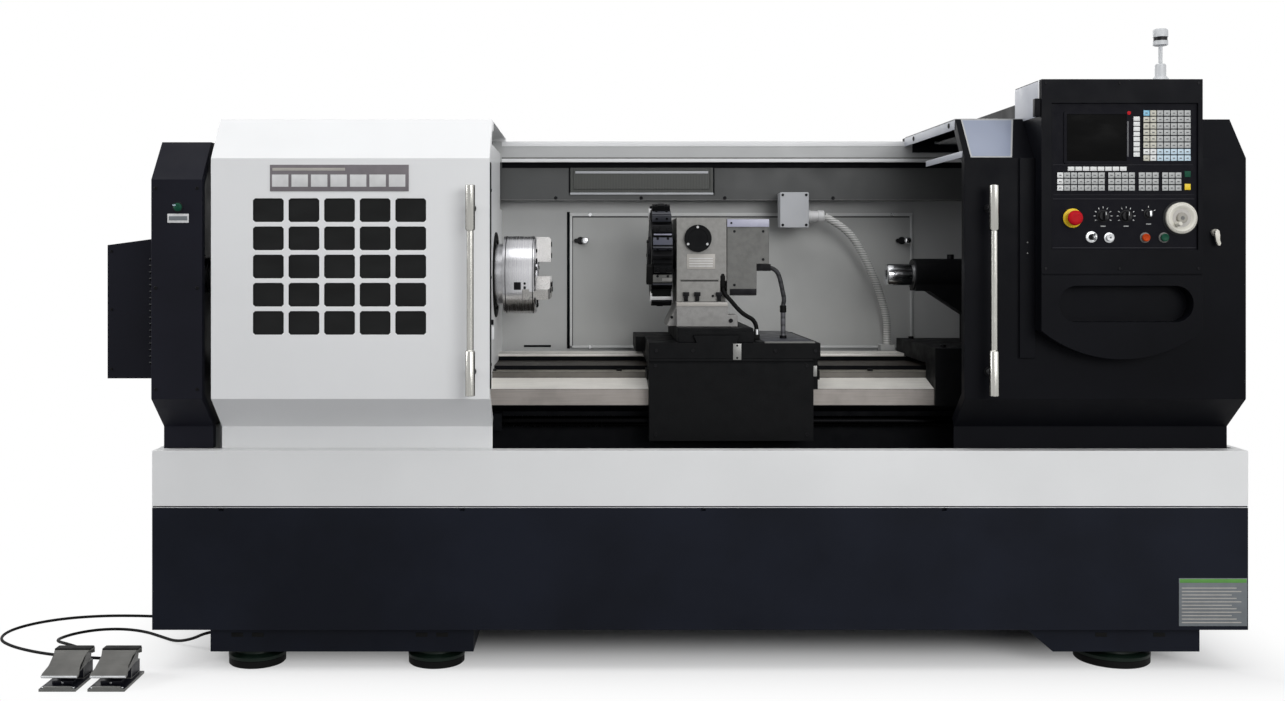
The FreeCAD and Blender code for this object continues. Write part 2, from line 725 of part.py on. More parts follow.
def make_spindle():
    """Hollow spindle with its nose flange, back plate and the belt pulley at its rear end."""
    pulley_right = PULLEY_LEFT + PULLEY_WIDTH
    nose_left = HEADSTOCK_RIGHT + SEAT_GAP
    outline = [
        (VENT_LEFT + 2 * FOLD, THROUGH_BORE_RADIUS),
        (VENT_LEFT + 2 * FOLD, SPINDLE_RADIUS),
        (PULLEY_LEFT, SPINDLE_RADIUS),
        (PULLEY_LEFT, SPINDLE_PULLEY_RADIUS),
        (pulley_right, SPINDLE_PULLEY_RADIUS),
        (pulley_right, SPINDLE_RADIUS),
        (nose_left, SPINDLE_RADIUS),
        (nose_left, NOSE_RADIUS),
        (BACK_PLATE_LEFT, NOSE_RADIUS),
        (BACK_PLATE_LEFT, BACK_PLATE_RADIUS),
        (back_plate_right, BACK_PLATE_RADIUS),
        (back_plate_right, THROUGH_BORE_RADIUS),
    ]
    return turned("x", SPINDLE_CENTRE, outline)


def about_spindle(shape, angle):
    """Return a copy of a shape turned about the spindle axis by an angle in degrees."""
    copy = shape.copy()
    copy.rotate(Vector(0, SPINDLE_Y, SPINDLE_HEIGHT), AXES["x"], angle)
    return copy


def jaw_angles():
    """Return the angles of the jaws about the spindle, the first one pointing up."""
    return [number * 360.0 / JAW_COUNT for number in range(JAW_COUNT)]


def make_chuck():
    """Three-jaw power chuck: a turned body with a T-slot for each jaw."""
    chamfer = CHUCK_CHAMFER
    outline = [
        (back_plate_right, THROUGH_BORE_RADIUS),
        (back_plate_right, CHUCK_RADIUS),
        (chuck_face - chamfer, CHUCK_RADIUS),
        (chuck_face, CHUCK_RADIUS - chamfer),
        (chuck_face, THROUGH_BORE_RADIUS),
    ]
    body = turned("x", SPINDLE_CENTRE, outline)
    half = JAW_WIDTH / 2 + SEAT_GAP
    narrow = JAW_NECK_SHARE * half
    depth = JAW_SLOT_DEPTH + SEAT_GAP
    outer = SPINDLE_HEIGHT + CHUCK_RADIUS + 1
    wide = block((chuck_face - depth, chuck_face - depth / 2), (SPINDLE_Y - half, SPINDLE_Y + half),
                 (SPINDLE_HEIGHT, outer))
    neck = block((chuck_face - depth, chuck_face + 1), (SPINDLE_Y - narrow, SPINDLE_Y + narrow),
                 (SPINDLE_HEIGHT, outer))
    slot = joined(wide, neck)
    return cut(body, *[about_spindle(slot, angle) for angle in jaw_angles()])


def make_jaw(angle):
    """Jaw: a T-shaped master jaw in its slot and a soft top jaw, a plain block with a bevelled rim."""
    half = JAW_WIDTH / 2
    narrow = JAW_NECK_SHARE * (half + SEAT_GAP) - SEAT_GAP
    depth = JAW_SLOT_DEPTH
    inner = SPINDLE_HEIGHT + THROUGH_BORE_RADIUS + JAW_MARGIN
    outer = SPINDLE_HEIGHT + CHUCK_RADIUS - JAW_MARGIN
    shelf = chuck_face - (depth + SEAT_GAP) / 2 - SEAT_GAP
    master = block((chuck_face - depth, shelf), (SPINDLE_Y - half, SPINDLE_Y + half), (inner, outer))
    neck = block((chuck_face - depth, chuck_face + SEAT_GAP), (SPINDLE_Y - narrow, SPINDLE_Y + narrow),
                 (inner, outer))
    face = chuck_face + SEAT_GAP
    block_end = chuck_face + JAW_REACH
    side = [
        (face, inner),
        (block_end, inner),
        (block_end, outer - JAW_CHAMFER),
        (block_end - JAW_CHAMFER, outer),
        (face, outer),
    ]
    top = prism("y", side, SPINDLE_Y - half, SPINDLE_Y + half)
    return about_spindle(joined(master, neck, top), angle)


def motor_section(width):
    """Return the motor's square section with clipped corners, of a given width."""
    half = width / 2
    inner = half - MOTOR_CORNER
    return [
        (MOTOR_Y - inner, MOTOR_HEIGHT - half),
        (MOTOR_Y + inner, MOTOR_HEIGHT - half),
        (MOTOR_Y + half, MOTOR_HEIGHT - inner),
        (MOTOR_Y + half, MOTOR_HEIGHT + inner),
        (MOTOR_Y + inner, MOTOR_HEIGHT + half),
        (MOTOR_Y - inner, MOTOR_HEIGHT + half),
        (MOTOR_Y - half, MOTOR_HEIGHT + inner),
        (MOTOR_Y - half, MOTOR_HEIGHT - inner),
    ]


def make_motor():
    """Main drive motor: ribbed square body, flange, fan cover, terminal box and a foot on the tray."""
    right = MOTOR_LEFT + MOTOR_LENGTH
    body = prism("x", motor_section(MOTOR_WIDTH), MOTOR_LEFT, right)
    flange = prism("x", motor_section(MOTOR_WIDTH + MOTOR_FLANGE), MOTOR_LEFT, MOTOR_LEFT + FOLD / 2)
    fan_cover = prism("x", motor_section(MOTOR_WIDTH + MOTOR_FLANGE), right - 2 * FOLD, right)
    grooves = []
    for number in range(FIN_COUNT):
        z = MOTOR_HEIGHT + (number + 0.5 - FIN_COUNT / 2) * (MOTOR_WIDTH - 2 * MOTOR_CORNER) / FIN_COUNT
        for y in (MOTOR_Y - MOTOR_WIDTH / 2, MOTOR_Y + MOTOR_WIDTH / 2):
            grooves.append(block((MOTOR_LEFT + FOLD / 2, right - 2 * FOLD), (y - FIN_DEPTH, y + FIN_DEPTH),
                                 (z - FIN_DEPTH, z + FIN_DEPTH)))
    nose = rod("x", END_COVER_RIGHT, MOTOR_LEFT, (MOTOR_Y, MOTOR_HEIGHT), 2 * MOTOR_SHAFT_RADIUS)
    foot = block((MOTOR_LEFT + FOLD, right - 3 * FOLD), (MOTOR_Y - MOTOR_WIDTH / 2, MOTOR_Y + MOTOR_WIDTH / 2),
                 (tray_floor, MOTOR_HEIGHT - MOTOR_WIDTH / 2 + FOLD / 2))
    box_x = (MOTOR_LEFT + 3 * FOLD, MOTOR_LEFT + 7 * FOLD)
    terminal_box = block(box_x, (MOTOR_Y - 2 * FOLD, MOTOR_Y + 2 * FOLD),
                         (MOTOR_HEIGHT, MOTOR_HEIGHT + MOTOR_WIDTH / 2 + 2 * FOLD))
    hollow = rod("x", END_COVER_RIGHT - 1, MOTOR_LEFT + 2 * FOLD, (MOTOR_Y, MOTOR_HEIGHT),
                 MOTOR_SHAFT_RADIUS + RUNNING_GAP)
    return cut(joined(cut(body, *grooves), flange, fan_cover, nose, foot, terminal_box), hollow)


def make_motor_pulley():
    """Motor pulley with the shaft that carries it."""
    end = MOTOR_LEFT + 2 * FOLD - SEAT_GAP
    outline = [
        (PULLEY_LEFT, MOTOR_PULLEY_RADIUS),
        (PULLEY_LEFT + PULLEY_WIDTH, MOTOR_PULLEY_RADIUS),
        (PULLEY_LEFT + PULLEY_WIDTH, MOTOR_SHAFT_RADIUS),
        (end, MOTOR_SHAFT_RADIUS),
    ]
    return sided("x", (MOTOR_Y, MOTOR_HEIGHT), outline, PULLEY_SIDES)


def belt_loop(extra):
    """Return the wire of a belt line at a distance outside both pulleys."""
    x = PULLEY_LEFT + (PULLEY_WIDTH - BELT_WIDTH) / 2
    first = Vector(x, SPINDLE_Y, SPINDLE_HEIGHT)
    second = Vector(x, MOTOR_Y, MOTOR_HEIGHT)
    first_radius = SPINDLE_PULLEY_RADIUS + extra
    second_radius = MOTOR_PULLEY_RADIUS + extra
    run = second - first
    heading = math.atan2(run.z, run.y)
    spread = math.acos((first_radius - second_radius) / run.Length)

    def on_circle(centre, radius, angle):
        return centre + Vector(0, math.cos(angle), math.sin(angle)) * radius

    left_start = on_circle(first, first_radius, heading + spread)
    left_end = on_circle(first, first_radius, heading - spread)
    right_start = on_circle(second, second_radius, heading - spread)
    right_end = on_circle(second, second_radius, heading + spread)
    edges = [
        Part.Arc(left_start, on_circle(first, first_radius, heading + math.pi), left_end),
        Part.LineSegment(left_end, right_start),
        Part.Arc(right_start, on_circle(second, second_radius, heading), right_end),
        Part.LineSegment(right_end, left_start),
    ]
    return Part.Wire([edge.toShape() for edge in edges])


def make_belt():
    """Flat poly-V belt round the motor pulley and the spindle pulley."""
    width = AXES["x"] * BELT_WIDTH
    outer = Part.Face(belt_loop(SEAT_GAP + BELT_THICKNESS)).extrude(width)
    inner = Part.Face(belt_loop(SEAT_GAP)).extrude(width)
    return outer.cut(inner)


# --- Covers, guards and rear wall -----------------------------------------------------------
def make_end_cover():
    """Folded cover over the belt drive, open towards the headstock."""
    outline = [
        (skirt_y, tray_top),
        (skirt_y, SKIRT_TOP),
        (DOOR_FRONT, DOOR_SILL),
        (DOOR_FRONT, END_COVER_BROW),
        (brow_y, END_COVER_TOP),
        (END_COVER_REAR, END_COVER_TOP),
        (END_COVER_REAR, tray_top),
    ]
    skin = prism("x", folded(outline, SHEET), END_COVER_LEFT, END_COVER_RIGHT)
    side = prism("x", outline, END_COVER_LEFT, END_COVER_LEFT + SHEET)
    fold = prism("x", folded(outline, FOLD), END_COVER_RIGHT - SHEET, END_COVER_RIGHT)
    hole = rod("x", END_COVER_LEFT - 1, END_COVER_LEFT + SHEET + 1, SPINDLE_CENTRE,
               SPINDLE_RADIUS + WORKING_GAP)
    return cut(joined(skin, side, fold), hole)


def make_vent_cover():
    """Louvred cover over the rear end of the spindle, open where bar stock is fed."""
    outline = [
        (END_COVER_LEFT, VENT_BOTTOM),
        (END_COVER_LEFT, VENT_TOP + VENT_RISE),
        (VENT_LEFT, VENT_TOP),
        (VENT_LEFT, VENT_BOTTOM),
    ]
    inner = [
        (END_COVER_LEFT + 1, VENT_BOTTOM + SHEET),
        (END_COVER_LEFT + 1, VENT_TOP + VENT_RISE - SHEET),
        (VENT_LEFT + SHEET, VENT_TOP - SHEET),
        (VENT_LEFT + SHEET, VENT_BOTTOM + SHEET),
    ]
    body = prism("y", outline, VENT_FRONT, VENT_REAR)
    hollow = prism("y", inner, VENT_FRONT + 2 * LOUVRE_DEPTH, VENT_REAR - SHEET)
    slots = []
    top = (VENT_BOTTOM + VENT_TOP + (LOUVRE_COUNT - 1) * LOUVRE_PITCH) / 2
    right = END_COVER_LEFT - FOLD / 4
    for number in range(LOUVRE_COUNT):
        z = top - number * LOUVRE_PITCH
        slots.append(block((right - LOUVRE_LENGTH, right), (VENT_FRONT - 1, VENT_FRONT + LOUVRE_DEPTH),
                           (z - LOUVRE_HEIGHT / 2, z + LOUVRE_HEIGHT / 2)))
    bar_opening = rod("x", VENT_LEFT - 1, VENT_LEFT + FOLD, SPINDLE_CENTRE, BAR_OPENING_RADIUS)
    return cut(body, hollow, bar_opening, *slots)


def make_head_guard(bed):
    """White guard round the headstock: front, roof and the jamb with the spindle hole."""
    left = END_COVER_RIGHT
    front = block((left, HEAD_GUARD_RIGHT), (GUARD_Y, GUARD_Y + SHEET), (tray_floor, HEAD_GUARD_TOP))
    roof = block((left, HEAD_GUARD_RIGHT), (GUARD_Y, BEAM_Y), (HEAD_GUARD_TOP - SHEET, HEAD_GUARD_TOP))
    jamb = block((HEAD_GUARD_RIGHT - SHEET, HEAD_GUARD_RIGHT), (GUARD_Y, LOWER_WALL_Y),
                 (tray_floor, UPPER_PANEL_BOTTOM - FOLD))
    upper_jamb = block((HEAD_GUARD_RIGHT - SHEET, HEAD_GUARD_RIGHT), (GUARD_Y, BEAM_Y),
                       (tray_floor, HEAD_GUARD_TOP))
    hole = rod("x", HEAD_GUARD_RIGHT - FOLD, HEAD_GUARD_RIGHT + 1, SPINDLE_CENTRE, NOSE_HOLE_RADIUS)
    return cut(joined(front, roof, jamb, upper_jamb), hole, bed)


def make_tail_guard():
    """White guard at the tailstock end: front, roof and end wall with a sloped lower corner."""
    top = BEAM_TOP - WORKING_GAP
    x_range = (TAIL_GUARD_LEFT, TAIL_GUARD_RIGHT)
    front = block(x_range, (GUARD_Y, GUARD_Y + SHEET), (tray_floor, top))
    roof = block(x_range, (GUARD_Y, BEAM_Y), (top - SHEET, top))
    outline = [
        (ledge_y + TRACK_WIDTH + FOLD, tray_top),
        (LOWER_WALL_Y, tray_top),
        (LOWER_WALL_Y, UPPER_PANEL_BOTTOM - FOLD),
        (BEAM_Y, UPPER_PANEL_BOTTOM - FOLD),
        (BEAM_Y, top),
        (GUARD_Y, top),
        (GUARD_Y, tray_top + 3 * FOLD),
    ]
    end = prism("x", outline, TAIL_GUARD_RIGHT - SHEET, TAIL_GUARD_RIGHT)
    return joined(front, roof, end)


def make_rear_wall():
    """Folded rear wall: lower wall, stepped upper panel, beam, and the conduit's gland block."""
    outline = [
        (LOWER_WALL_Y, tray_floor),
        (LOWER_WALL_Y, UPPER_PANEL_BOTTOM),
        (UPPER_PANEL_Y, UPPER_PANEL_BOTTOM),
        (UPPER_PANEL_Y, BEAM_BOTTOM),
        (BEAM_Y, BEAM_BOTTOM),
        (BEAM_Y, BEAM_TOP),
        (BEAM_Y + BEAM_DEPTH, BEAM_TOP),
    ]
    wall = prism("x", folded(outline, SHEET), END_COVER_RIGHT, TAIL_GUARD_RIGHT)
    gland_x, gland_y, gland_z = conduit_route()[-1]
    gland = block((gland_x - 2 * CONDUIT_RADIUS, gland_x + 2 * CONDUIT_RADIUS),
                  (gland_y - 1.5 * CONDUIT_RADIUS, LOWER_WALL_Y), (gland_z - 3 * CONDUIT_RADIUS, gland_z))
    recess = block((LAMP_LEFT, LAMP_RIGHT), (UPPER_PANEL_Y - 1, UPPER_PANEL_Y + SHEET + 1),
                   (LAMP_BOTTOM, LAMP_TOP))
    return cut(joined(wall, gland), recess)


def make_access_panel(wall):
    """Removable panel in the rear wall, cut round the gland block, with holes for its latches."""
    y_range = (LOWER_WALL_Y - SHEET, LOWER_WALL_Y)
    panel = block((ACCESS_LEFT, ACCESS_RIGHT), y_range, (ACCESS_BOTTOM, ACCESS_TOP))
    hole_radius = (LATCH_RADIUS + SEAT_GAP) / math.cos(math.pi / KNOB_SIDES)
    outline = [(LOWER_WALL_Y - 2 * SHEET, hole_radius), (LOWER_WALL_Y + SHEET, hole_radius)]
    holes = [sided("y", (x, LATCH_HEIGHT), outline, KNOB_SIDES) for x in latch_places()]
    return cut(panel, wall, *holes)


def latch_places():
    """Return the X places of the two panel latches."""
    return [ACCESS_LEFT + LATCH_INSET, ACCESS_RIGHT - LATCH_INSET]


def make_latch(x):
    """Quarter-turn latch: a round barrel flush in the panel and a wing to turn it by."""
    face = LOWER_WALL_Y - SHEET
    outline = [(face - SHEET, LATCH_RADIUS), (LOWER_WALL_Y - SEAT_GAP, LATCH_RADIUS)]
    barrel = sided("y", (x, LATCH_HEIGHT), outline, KNOB_SIDES)
    wing = clipped_slab((x - LATCH_LENGTH / 2, x + LATCH_LENGTH / 2),
                        (LATCH_HEIGHT - LATCH_WIDTH / 2, LATCH_HEIGHT + LATCH_WIDTH / 2),
                        LATCH_CORNER, (face - 4 * SHEET, face - SHEET))
    return joined(barrel, wing)


def make_work_lamp():
    """Lamp in the upper panel: a shallow box with a bevelled glass front."""
    left = LAMP_LEFT + SEAT_GAP
    right = LAMP_RIGHT - SEAT_GAP
    bottom = LAMP_BOTTOM + SEAT_GAP
    top = LAMP_TOP - SEAT_GAP
    body = block((left, right), (UPPER_PANEL_Y, UPPER_PANEL_Y + LAMP_DEPTH), (bottom, top))
    bezel = block((left, right), (UPPER_PANEL_Y - SHEET, UPPER_PANEL_Y), (bottom, top))
    glass = block((left + LAMP_GLASS_INSET, right - LAMP_GLASS_INSET),
                  (UPPER_PANEL_Y - 2 * SHEET, UPPER_PANEL_Y + SHEET),
                  (bottom + LAMP_GLASS_INSET, top - LAMP_GLASS_INSET))
    window = block((left + LAMP_RIM, right - LAMP_RIM), (UPPER_PANEL_Y - 2 * SHEET, UPPER_PANEL_Y),
                   (bottom + LAMP_RIM, top - LAMP_RIM))
    return joined(cut(joined(body, bezel), window), glass)


def make_junction_box():
    """Terminal box on the upper panel with a stepped lid and the conduit's fitting."""
    right = JUNCTION_LEFT + JUNCTION_WIDTH
    front = UPPER_PANEL_Y - JUNCTION_DEPTH
    top = JUNCTION_BOTTOM + JUNCTION_HEIGHT
    body = block((JUNCTION_LEFT + 2, right - 2), (front, UPPER_PANEL_Y), (JUNCTION_BOTTOM + 2, top - 2))
    lid = clipped_slab((JUNCTION_LEFT, right), (JUNCTION_BOTTOM, top), 3.0, (front, front + FOLD / 2))
    start = conduit_route()[0]
    fitting = sided("x", (start[1], start[2]), [(right - 2, FITTING_RADIUS), (start[0], FITTING_RADIUS)], HOLE_SIDES)
    return joined(body, lid, fitting)


def conduit_route():
    """Return the conduit's points from the junction box to the gland block on the wall."""
    start_x = JUNCTION_LEFT + JUNCTION_WIDTH + FITTING_LENGTH
    start_y = UPPER_PANEL_Y - JUNCTION_DEPTH / 2
    start_z = JUNCTION_BOTTOM + FITTING_RISE
    return [
        (start_x, start_y, start_z),
        (start_x + 78, start_y + 4, start_z - 38),
        (start_x + 142, start_y + 22, start_z - 135),
        (start_x + 195, start_y + 45, start_z - 245),
        (start_x + 228, start_y + 68, start_z - 345),
        (start_x + 232, start_y + 82, GLAND_BLOCK_TOP + 48),
        (start_x + 232, start_y + 82, GLAND_BLOCK_TOP),
    ]


def make_cabinet():
    """Electrical cabinet behind the rear wall, with inset doors, handles and louvres."""
    right = CABINET_LEFT + CABINET_LENGTH
    front = LOWER_WALL_Y + SHEET
    top = tray_top + CABINET_HEIGHT
    body = block((CABINET_LEFT, right), (front, CABINET_REAR), (tray_top, top))
    door_width = (CABINET_LENGTH - 2 * FOLD) / CABINET_DOORS
    gaps = []
    handles = []
    for number in range(CABINET_DOORS):
        x = CABINET_LEFT + FOLD + number * door_width
        rim = block((x, x + door_width), (CABINET_REAR - 2 * SHEET, CABINET_REAR + 1),
                    (tray_top + FOLD, top - FOLD))
        leaf = block((x + SHEET, x + door_width - SHEET), (CABINET_REAR - 3 * SHEET, CABINET_REAR + 2),
                     (tray_top + FOLD + SHEET, top - FOLD - SHEET))
        gaps.append(rim.cut(leaf))
        handle_x = x + door_width - 2 * FOLD
        handles.append(block((handle_x, handle_x + FOLD / 2), (CABINET_REAR, CABINET_REAR + FOLD / 2),
                             (tray_top + CABINET_HANDLE_LOW * CABINET_HEIGHT,
                              tray_top + CABINET_HANDLE_HIGH * CABINET_HEIGHT)))
        for slot in range(CABINET_SLOTS):
            z = tray_top + 3 * FOLD + slot * FOLD
            gaps.append(block((x + 3 * FOLD, x + door_width - 4 * FOLD),
                              (CABINET_REAR - LOUVRE_DEPTH, CABINET_REAR + 1),
                              (z, z + LOUVRE_HEIGHT)))
    return joined(cut(body, *gaps), *handles)


# --- Carriage, cross slide and turret -------------------------------------------------------
def make_saddle():
    """Saddle that rides both ways, with a front rim, a rear wing and the cross slide's dovetail."""
    ways = bed_outline(RUNNING_GAP)
    slope = FRONT_WAY_RISE / FRONT_WAY_WIDTH
    skirt_face = FRONT_WAY_Y - WORKING_GAP
    way_inner = FRONT_WAY_Y + FRONT_WAY_WIDTH - WORKING_GAP
    belly = REAR_WAY_HEIGHT - 2 * WORKING_GAP - RUNNING_GAP
    rear_edge = REAR_WAY_Y + REAR_WAY_WIDTH + WORKING_GAP / 2
    outline = [
        (skirt_face, ways[0][1] - WORKING_GAP * slope),
        (way_inner, ways[1][1] - WORKING_GAP * slope),
        (way_inner, belly),
        (REAR_WAY_Y - WORKING_GAP, belly),
        (REAR_WAY_Y - WORKING_GAP, ways[6][1]),
        (rear_edge, ways[6][1]),
        (rear_edge, REAR_WAY_HEIGHT - REAR_WAY_DEPTH),
        (SADDLE_REAR, REAR_WAY_HEIGHT - REAR_WAY_DEPTH),
        (SADDLE_REAR, SADDLE_TOP),
        (APRON_FRONT, SADDLE_TOP),
        (APRON_FRONT, SADDLE_RIM_BOTTOM),
        (skirt_face, SADDLE_RIM_BOTTOM),
    ]
    body = prism("x", outline, CARRIAGE_LEFT, saddle_right)
    wing = block((CARRIAGE_LEFT - SADDLE_WING, CARRIAGE_LEFT), (REAR_WAY_Y - 4 * FOLD, SADDLE_REAR),
                 (SADDLE_RIM_BOTTOM, SADDLE_TOP))
    cover = block((cross_right + 2 * WORKING_GAP, saddle_right - FOLD / 2),
                  (APRON_FRONT + FOLD / 3, SADDLE_REAR),
                  (SADDLE_TOP, SADDLE_TOP + WAY_COVER_HEIGHT))
    dovetail = prism("y", dovetail_outline(0.0), APRON_FRONT, SADDLE_REAR)
    return joined(body, wing, cover, dovetail)


def dovetail_outline(clearance):
    """Return the dovetail's section, wider at the top, grown by a clearance on every side."""
    centre = CROSS_LEFT + CROSS_WIDTH / 2
    half = DOVETAIL_WIDTH / 2 + clearance
    top = SADDLE_TOP + DOVETAIL_HEIGHT + clearance
    return [
        (centre - half, SADDLE_TOP - clearance),
        (centre - half - DOVETAIL_FLARE, top),
        (centre + half + DOVETAIL_FLARE, top),
        (centre + half, SADDLE_TOP - clearance),
    ]


def make_apron():
    """Apron hung from the saddle's rim, with the bracket that holds the ball nut."""
    right = CARRIAGE_LEFT + APRON_LENGTH
    rear = FRONT_WAY_Y - WORKING_GAP
    plate = block((CARRIAGE_LEFT, right), (APRON_FRONT, rear), (APRON_BOTTOM, SADDLE_RIM_BOTTOM))
    groove_z = SADDLE_RIM_BOTTOM - FOLD / 3
    groove = block((CARRIAGE_LEFT, right), (APRON_FRONT - 1, APRON_FRONT + SHEET / 2),
                   (groove_z, groove_z + SHEET / 2))
    middle = CARRIAGE_LEFT + APRON_LENGTH / 2
    nut = rod("x", middle - NUT_LENGTH / 2, middle + NUT_LENGTH / 2, (screw_y, screw_z), NUT_RADIUS)
    arm = block((middle - NUT_LENGTH / 2, middle + NUT_LENGTH / 2), (rear, screw_y),
                (screw_z - NUT_RADIUS / 2, screw_z + NUT_RADIUS / 2))
    bed_wall = FRONT_WAY_Y + BED_WALL_INSET
    flat = block((CARRIAGE_LEFT, right), (bed_wall - WORKING_GAP, bed_wall + NUT_RADIUS),
                 (screw_z - NUT_RADIUS, screw_z + NUT_RADIUS))
    bore = rod("x", CARRIAGE_LEFT, right, (screw_y, screw_z), SCREW_RADIUS + RUNNING_GAP)
    nut_block = cut(joined(nut, arm), flat)
    return cut(joined(plate, nut_block), groove, bore)


def make_ball_screw():
    """Long ball screw under the front way, between two bearing journals."""
    start = HEADSTOCK_RIGHT + 2 * FOLD
    end = BED_RIGHT - FOLD
    journal = SCREW_JOURNAL_RADIUS
    outline = [
        (start - FOLD, 0),
        (start - FOLD, journal),
        (start, journal),
        (start, SCREW_RADIUS),
        (end, SCREW_RADIUS),
        (end, journal),
        (end + FOLD, journal),
        (end + FOLD, 0),
    ]
    return turned("x", (screw_y, screw_z), outline)


def make_screw_bearings():
    """Return the two bearing brackets that carry the ball screw on the bed's front wall."""
    start = HEADSTOCK_RIGHT + 2 * FOLD
    end = BED_RIGHT - FOLD
    bed_wall = FRONT_WAY_Y + BED_WALL_INSET
    half = SCREW_RADIUS + FOLD / 3
    brackets = []
    for left, right in ((start - FOLD, start - SEAT_GAP), (end + SEAT_GAP, end + FOLD)):
        body = block((left, right), (screw_y - half, bed_wall), (screw_z - half, screw_z + half))
        bore = rod("x", left - 1, right + 1, (screw_y, screw_z), SCREW_JOURNAL_RADIUS + RUNNING_GAP)
        brackets.append(cut(body, bore))
    return brackets


def make_cross_slide():
    """Cross slide on the saddle's dovetail."""
    bottom = SADDLE_TOP + RUNNING_GAP
    body = block((CROSS_LEFT, cross_right), (CROSS_FRONT, CROSS_REAR), (bottom, CROSS_TOP))
    groove = prism("y", dovetail_outline(RUNNING_GAP), CROSS_FRONT - 1, CROSS_REAR + 1)
    step = block((CROSS_LEFT - 1, cross_right + 1), (CROSS_FRONT - 1, CROSS_FRONT + FOLD / 2),
                 (CROSS_TOP - FOLD / 3, CROSS_TOP + 1))
    return cut(body, groove, step)


def make_turret_base():
    """Turret base on the cross slide, with a lug at each side."""
    body = block((TURRET_LEFT - SHEET, turret_right), (TURRET_BASE_FRONT, TURRET_REAR),
                 (CROSS_TOP, TURRET_BOTTOM))
    lug_height = FOLD + 2 * SHEET
    left_lug = prism("y", [
        (TURRET_LEFT - SHEET, CROSS_TOP),
        (TURRET_LEFT - SHEET, CROSS_TOP + 2 * FOLD),
        (TURRET_LEFT - FOLD, CROSS_TOP + SHEET),
        (TURRET_LEFT - FOLD, CROSS_TOP),
    ], TURRET_BASE_FRONT + FOLD, TURRET_REAR - FOLD)
    right_lug = block((turret_right, turret_right + FOLD), (TURRET_BASE_FRONT, TURRET_BASE_FRONT + 3 * FOLD),
                      (CROSS_TOP, CROSS_TOP + lug_height))
    return joined(body, left_lug, right_lug)


def make_turret_housing():
    """Turret housing with its round indexing cover, a seam and the disc's bearing."""
    body = block((TURRET_LEFT, turret_right), (TURRET_FRONT, TURRET_REAR), (TURRET_BOTTOM, TURRET_TOP))
    seam = block((TURRET_LEFT + 12, turret_right - 26), (TURRET_FRONT - 1, TURRET_FRONT + 2),
                 (TURRET_SEAM, TURRET_SEAM + 3))
    cover = rod("y", TURRET_FRONT - 6, TURRET_FRONT, (TURRET_COVER_X, TURRET_COVER_HEIGHT),
                TURRET_COVER_RADIUS)
    corner = block((turret_right - 20, turret_right + 1), (TURRET_FRONT - 1, TURRET_FRONT + FOLD),
                   (TURRET_BOTTOM - 1, TURRET_SEAM))
    bearing = rod("x", TURRET_LEFT - 1, TURRET_LEFT + 2 * FOLD, (DISC_Y, DISC_HEIGHT),
                  DISC_JOURNAL_RADIUS + RUNNING_GAP)
    return cut(joined(body, cover), seam, corner, bearing)


def make_motor_box():
    """Cover of the turret motor, with a notched corner, a raised lid and a connector."""
    left = turret_right + SHEET / 2
    right = left + MOTOR_BOX_WIDTH
    notch = right - MOTOR_BOX_NOTCH
    y_range = (TURRET_FRONT + MOTOR_BOX_SET_BACK, TURRET_REAR - 2 * MOTOR_BOX_SET_BACK)
    outline = [
        (left, MOTOR_BOX_BOTTOM),
        (notch, MOTOR_BOX_BOTTOM),
        (notch, MOTOR_BOX_STEP),
        (right, MOTOR_BOX_STEP),
        (right, MOTOR_BOX_TOP),
        (left, MOTOR_BOX_TOP),
    ]
    body = prism("y", outline, *y_range)
    neck = block((turret_right, left), (TURRET_FRONT + FOLD, TURRET_REAR - FOLD),
                 (MOTOR_BOX_STEP, MOTOR_BOX_TOP - FOLD))
    connector = block((notch, right + SHEET), (y_range[0] + SHEET, y_range[0] + FOLD),
                      (MOTOR_BOX_STEP - CONNECTOR_HEIGHT, MOTOR_BOX_STEP))
    lip_z = MOTOR_BOX_TOP - MOTOR_BOX_LIP
    lip = block((left, right), (y_range[0] - SHEET, y_range[0]), (lip_z, MOTOR_BOX_TOP))
    return joined(body, neck, connector, lip)


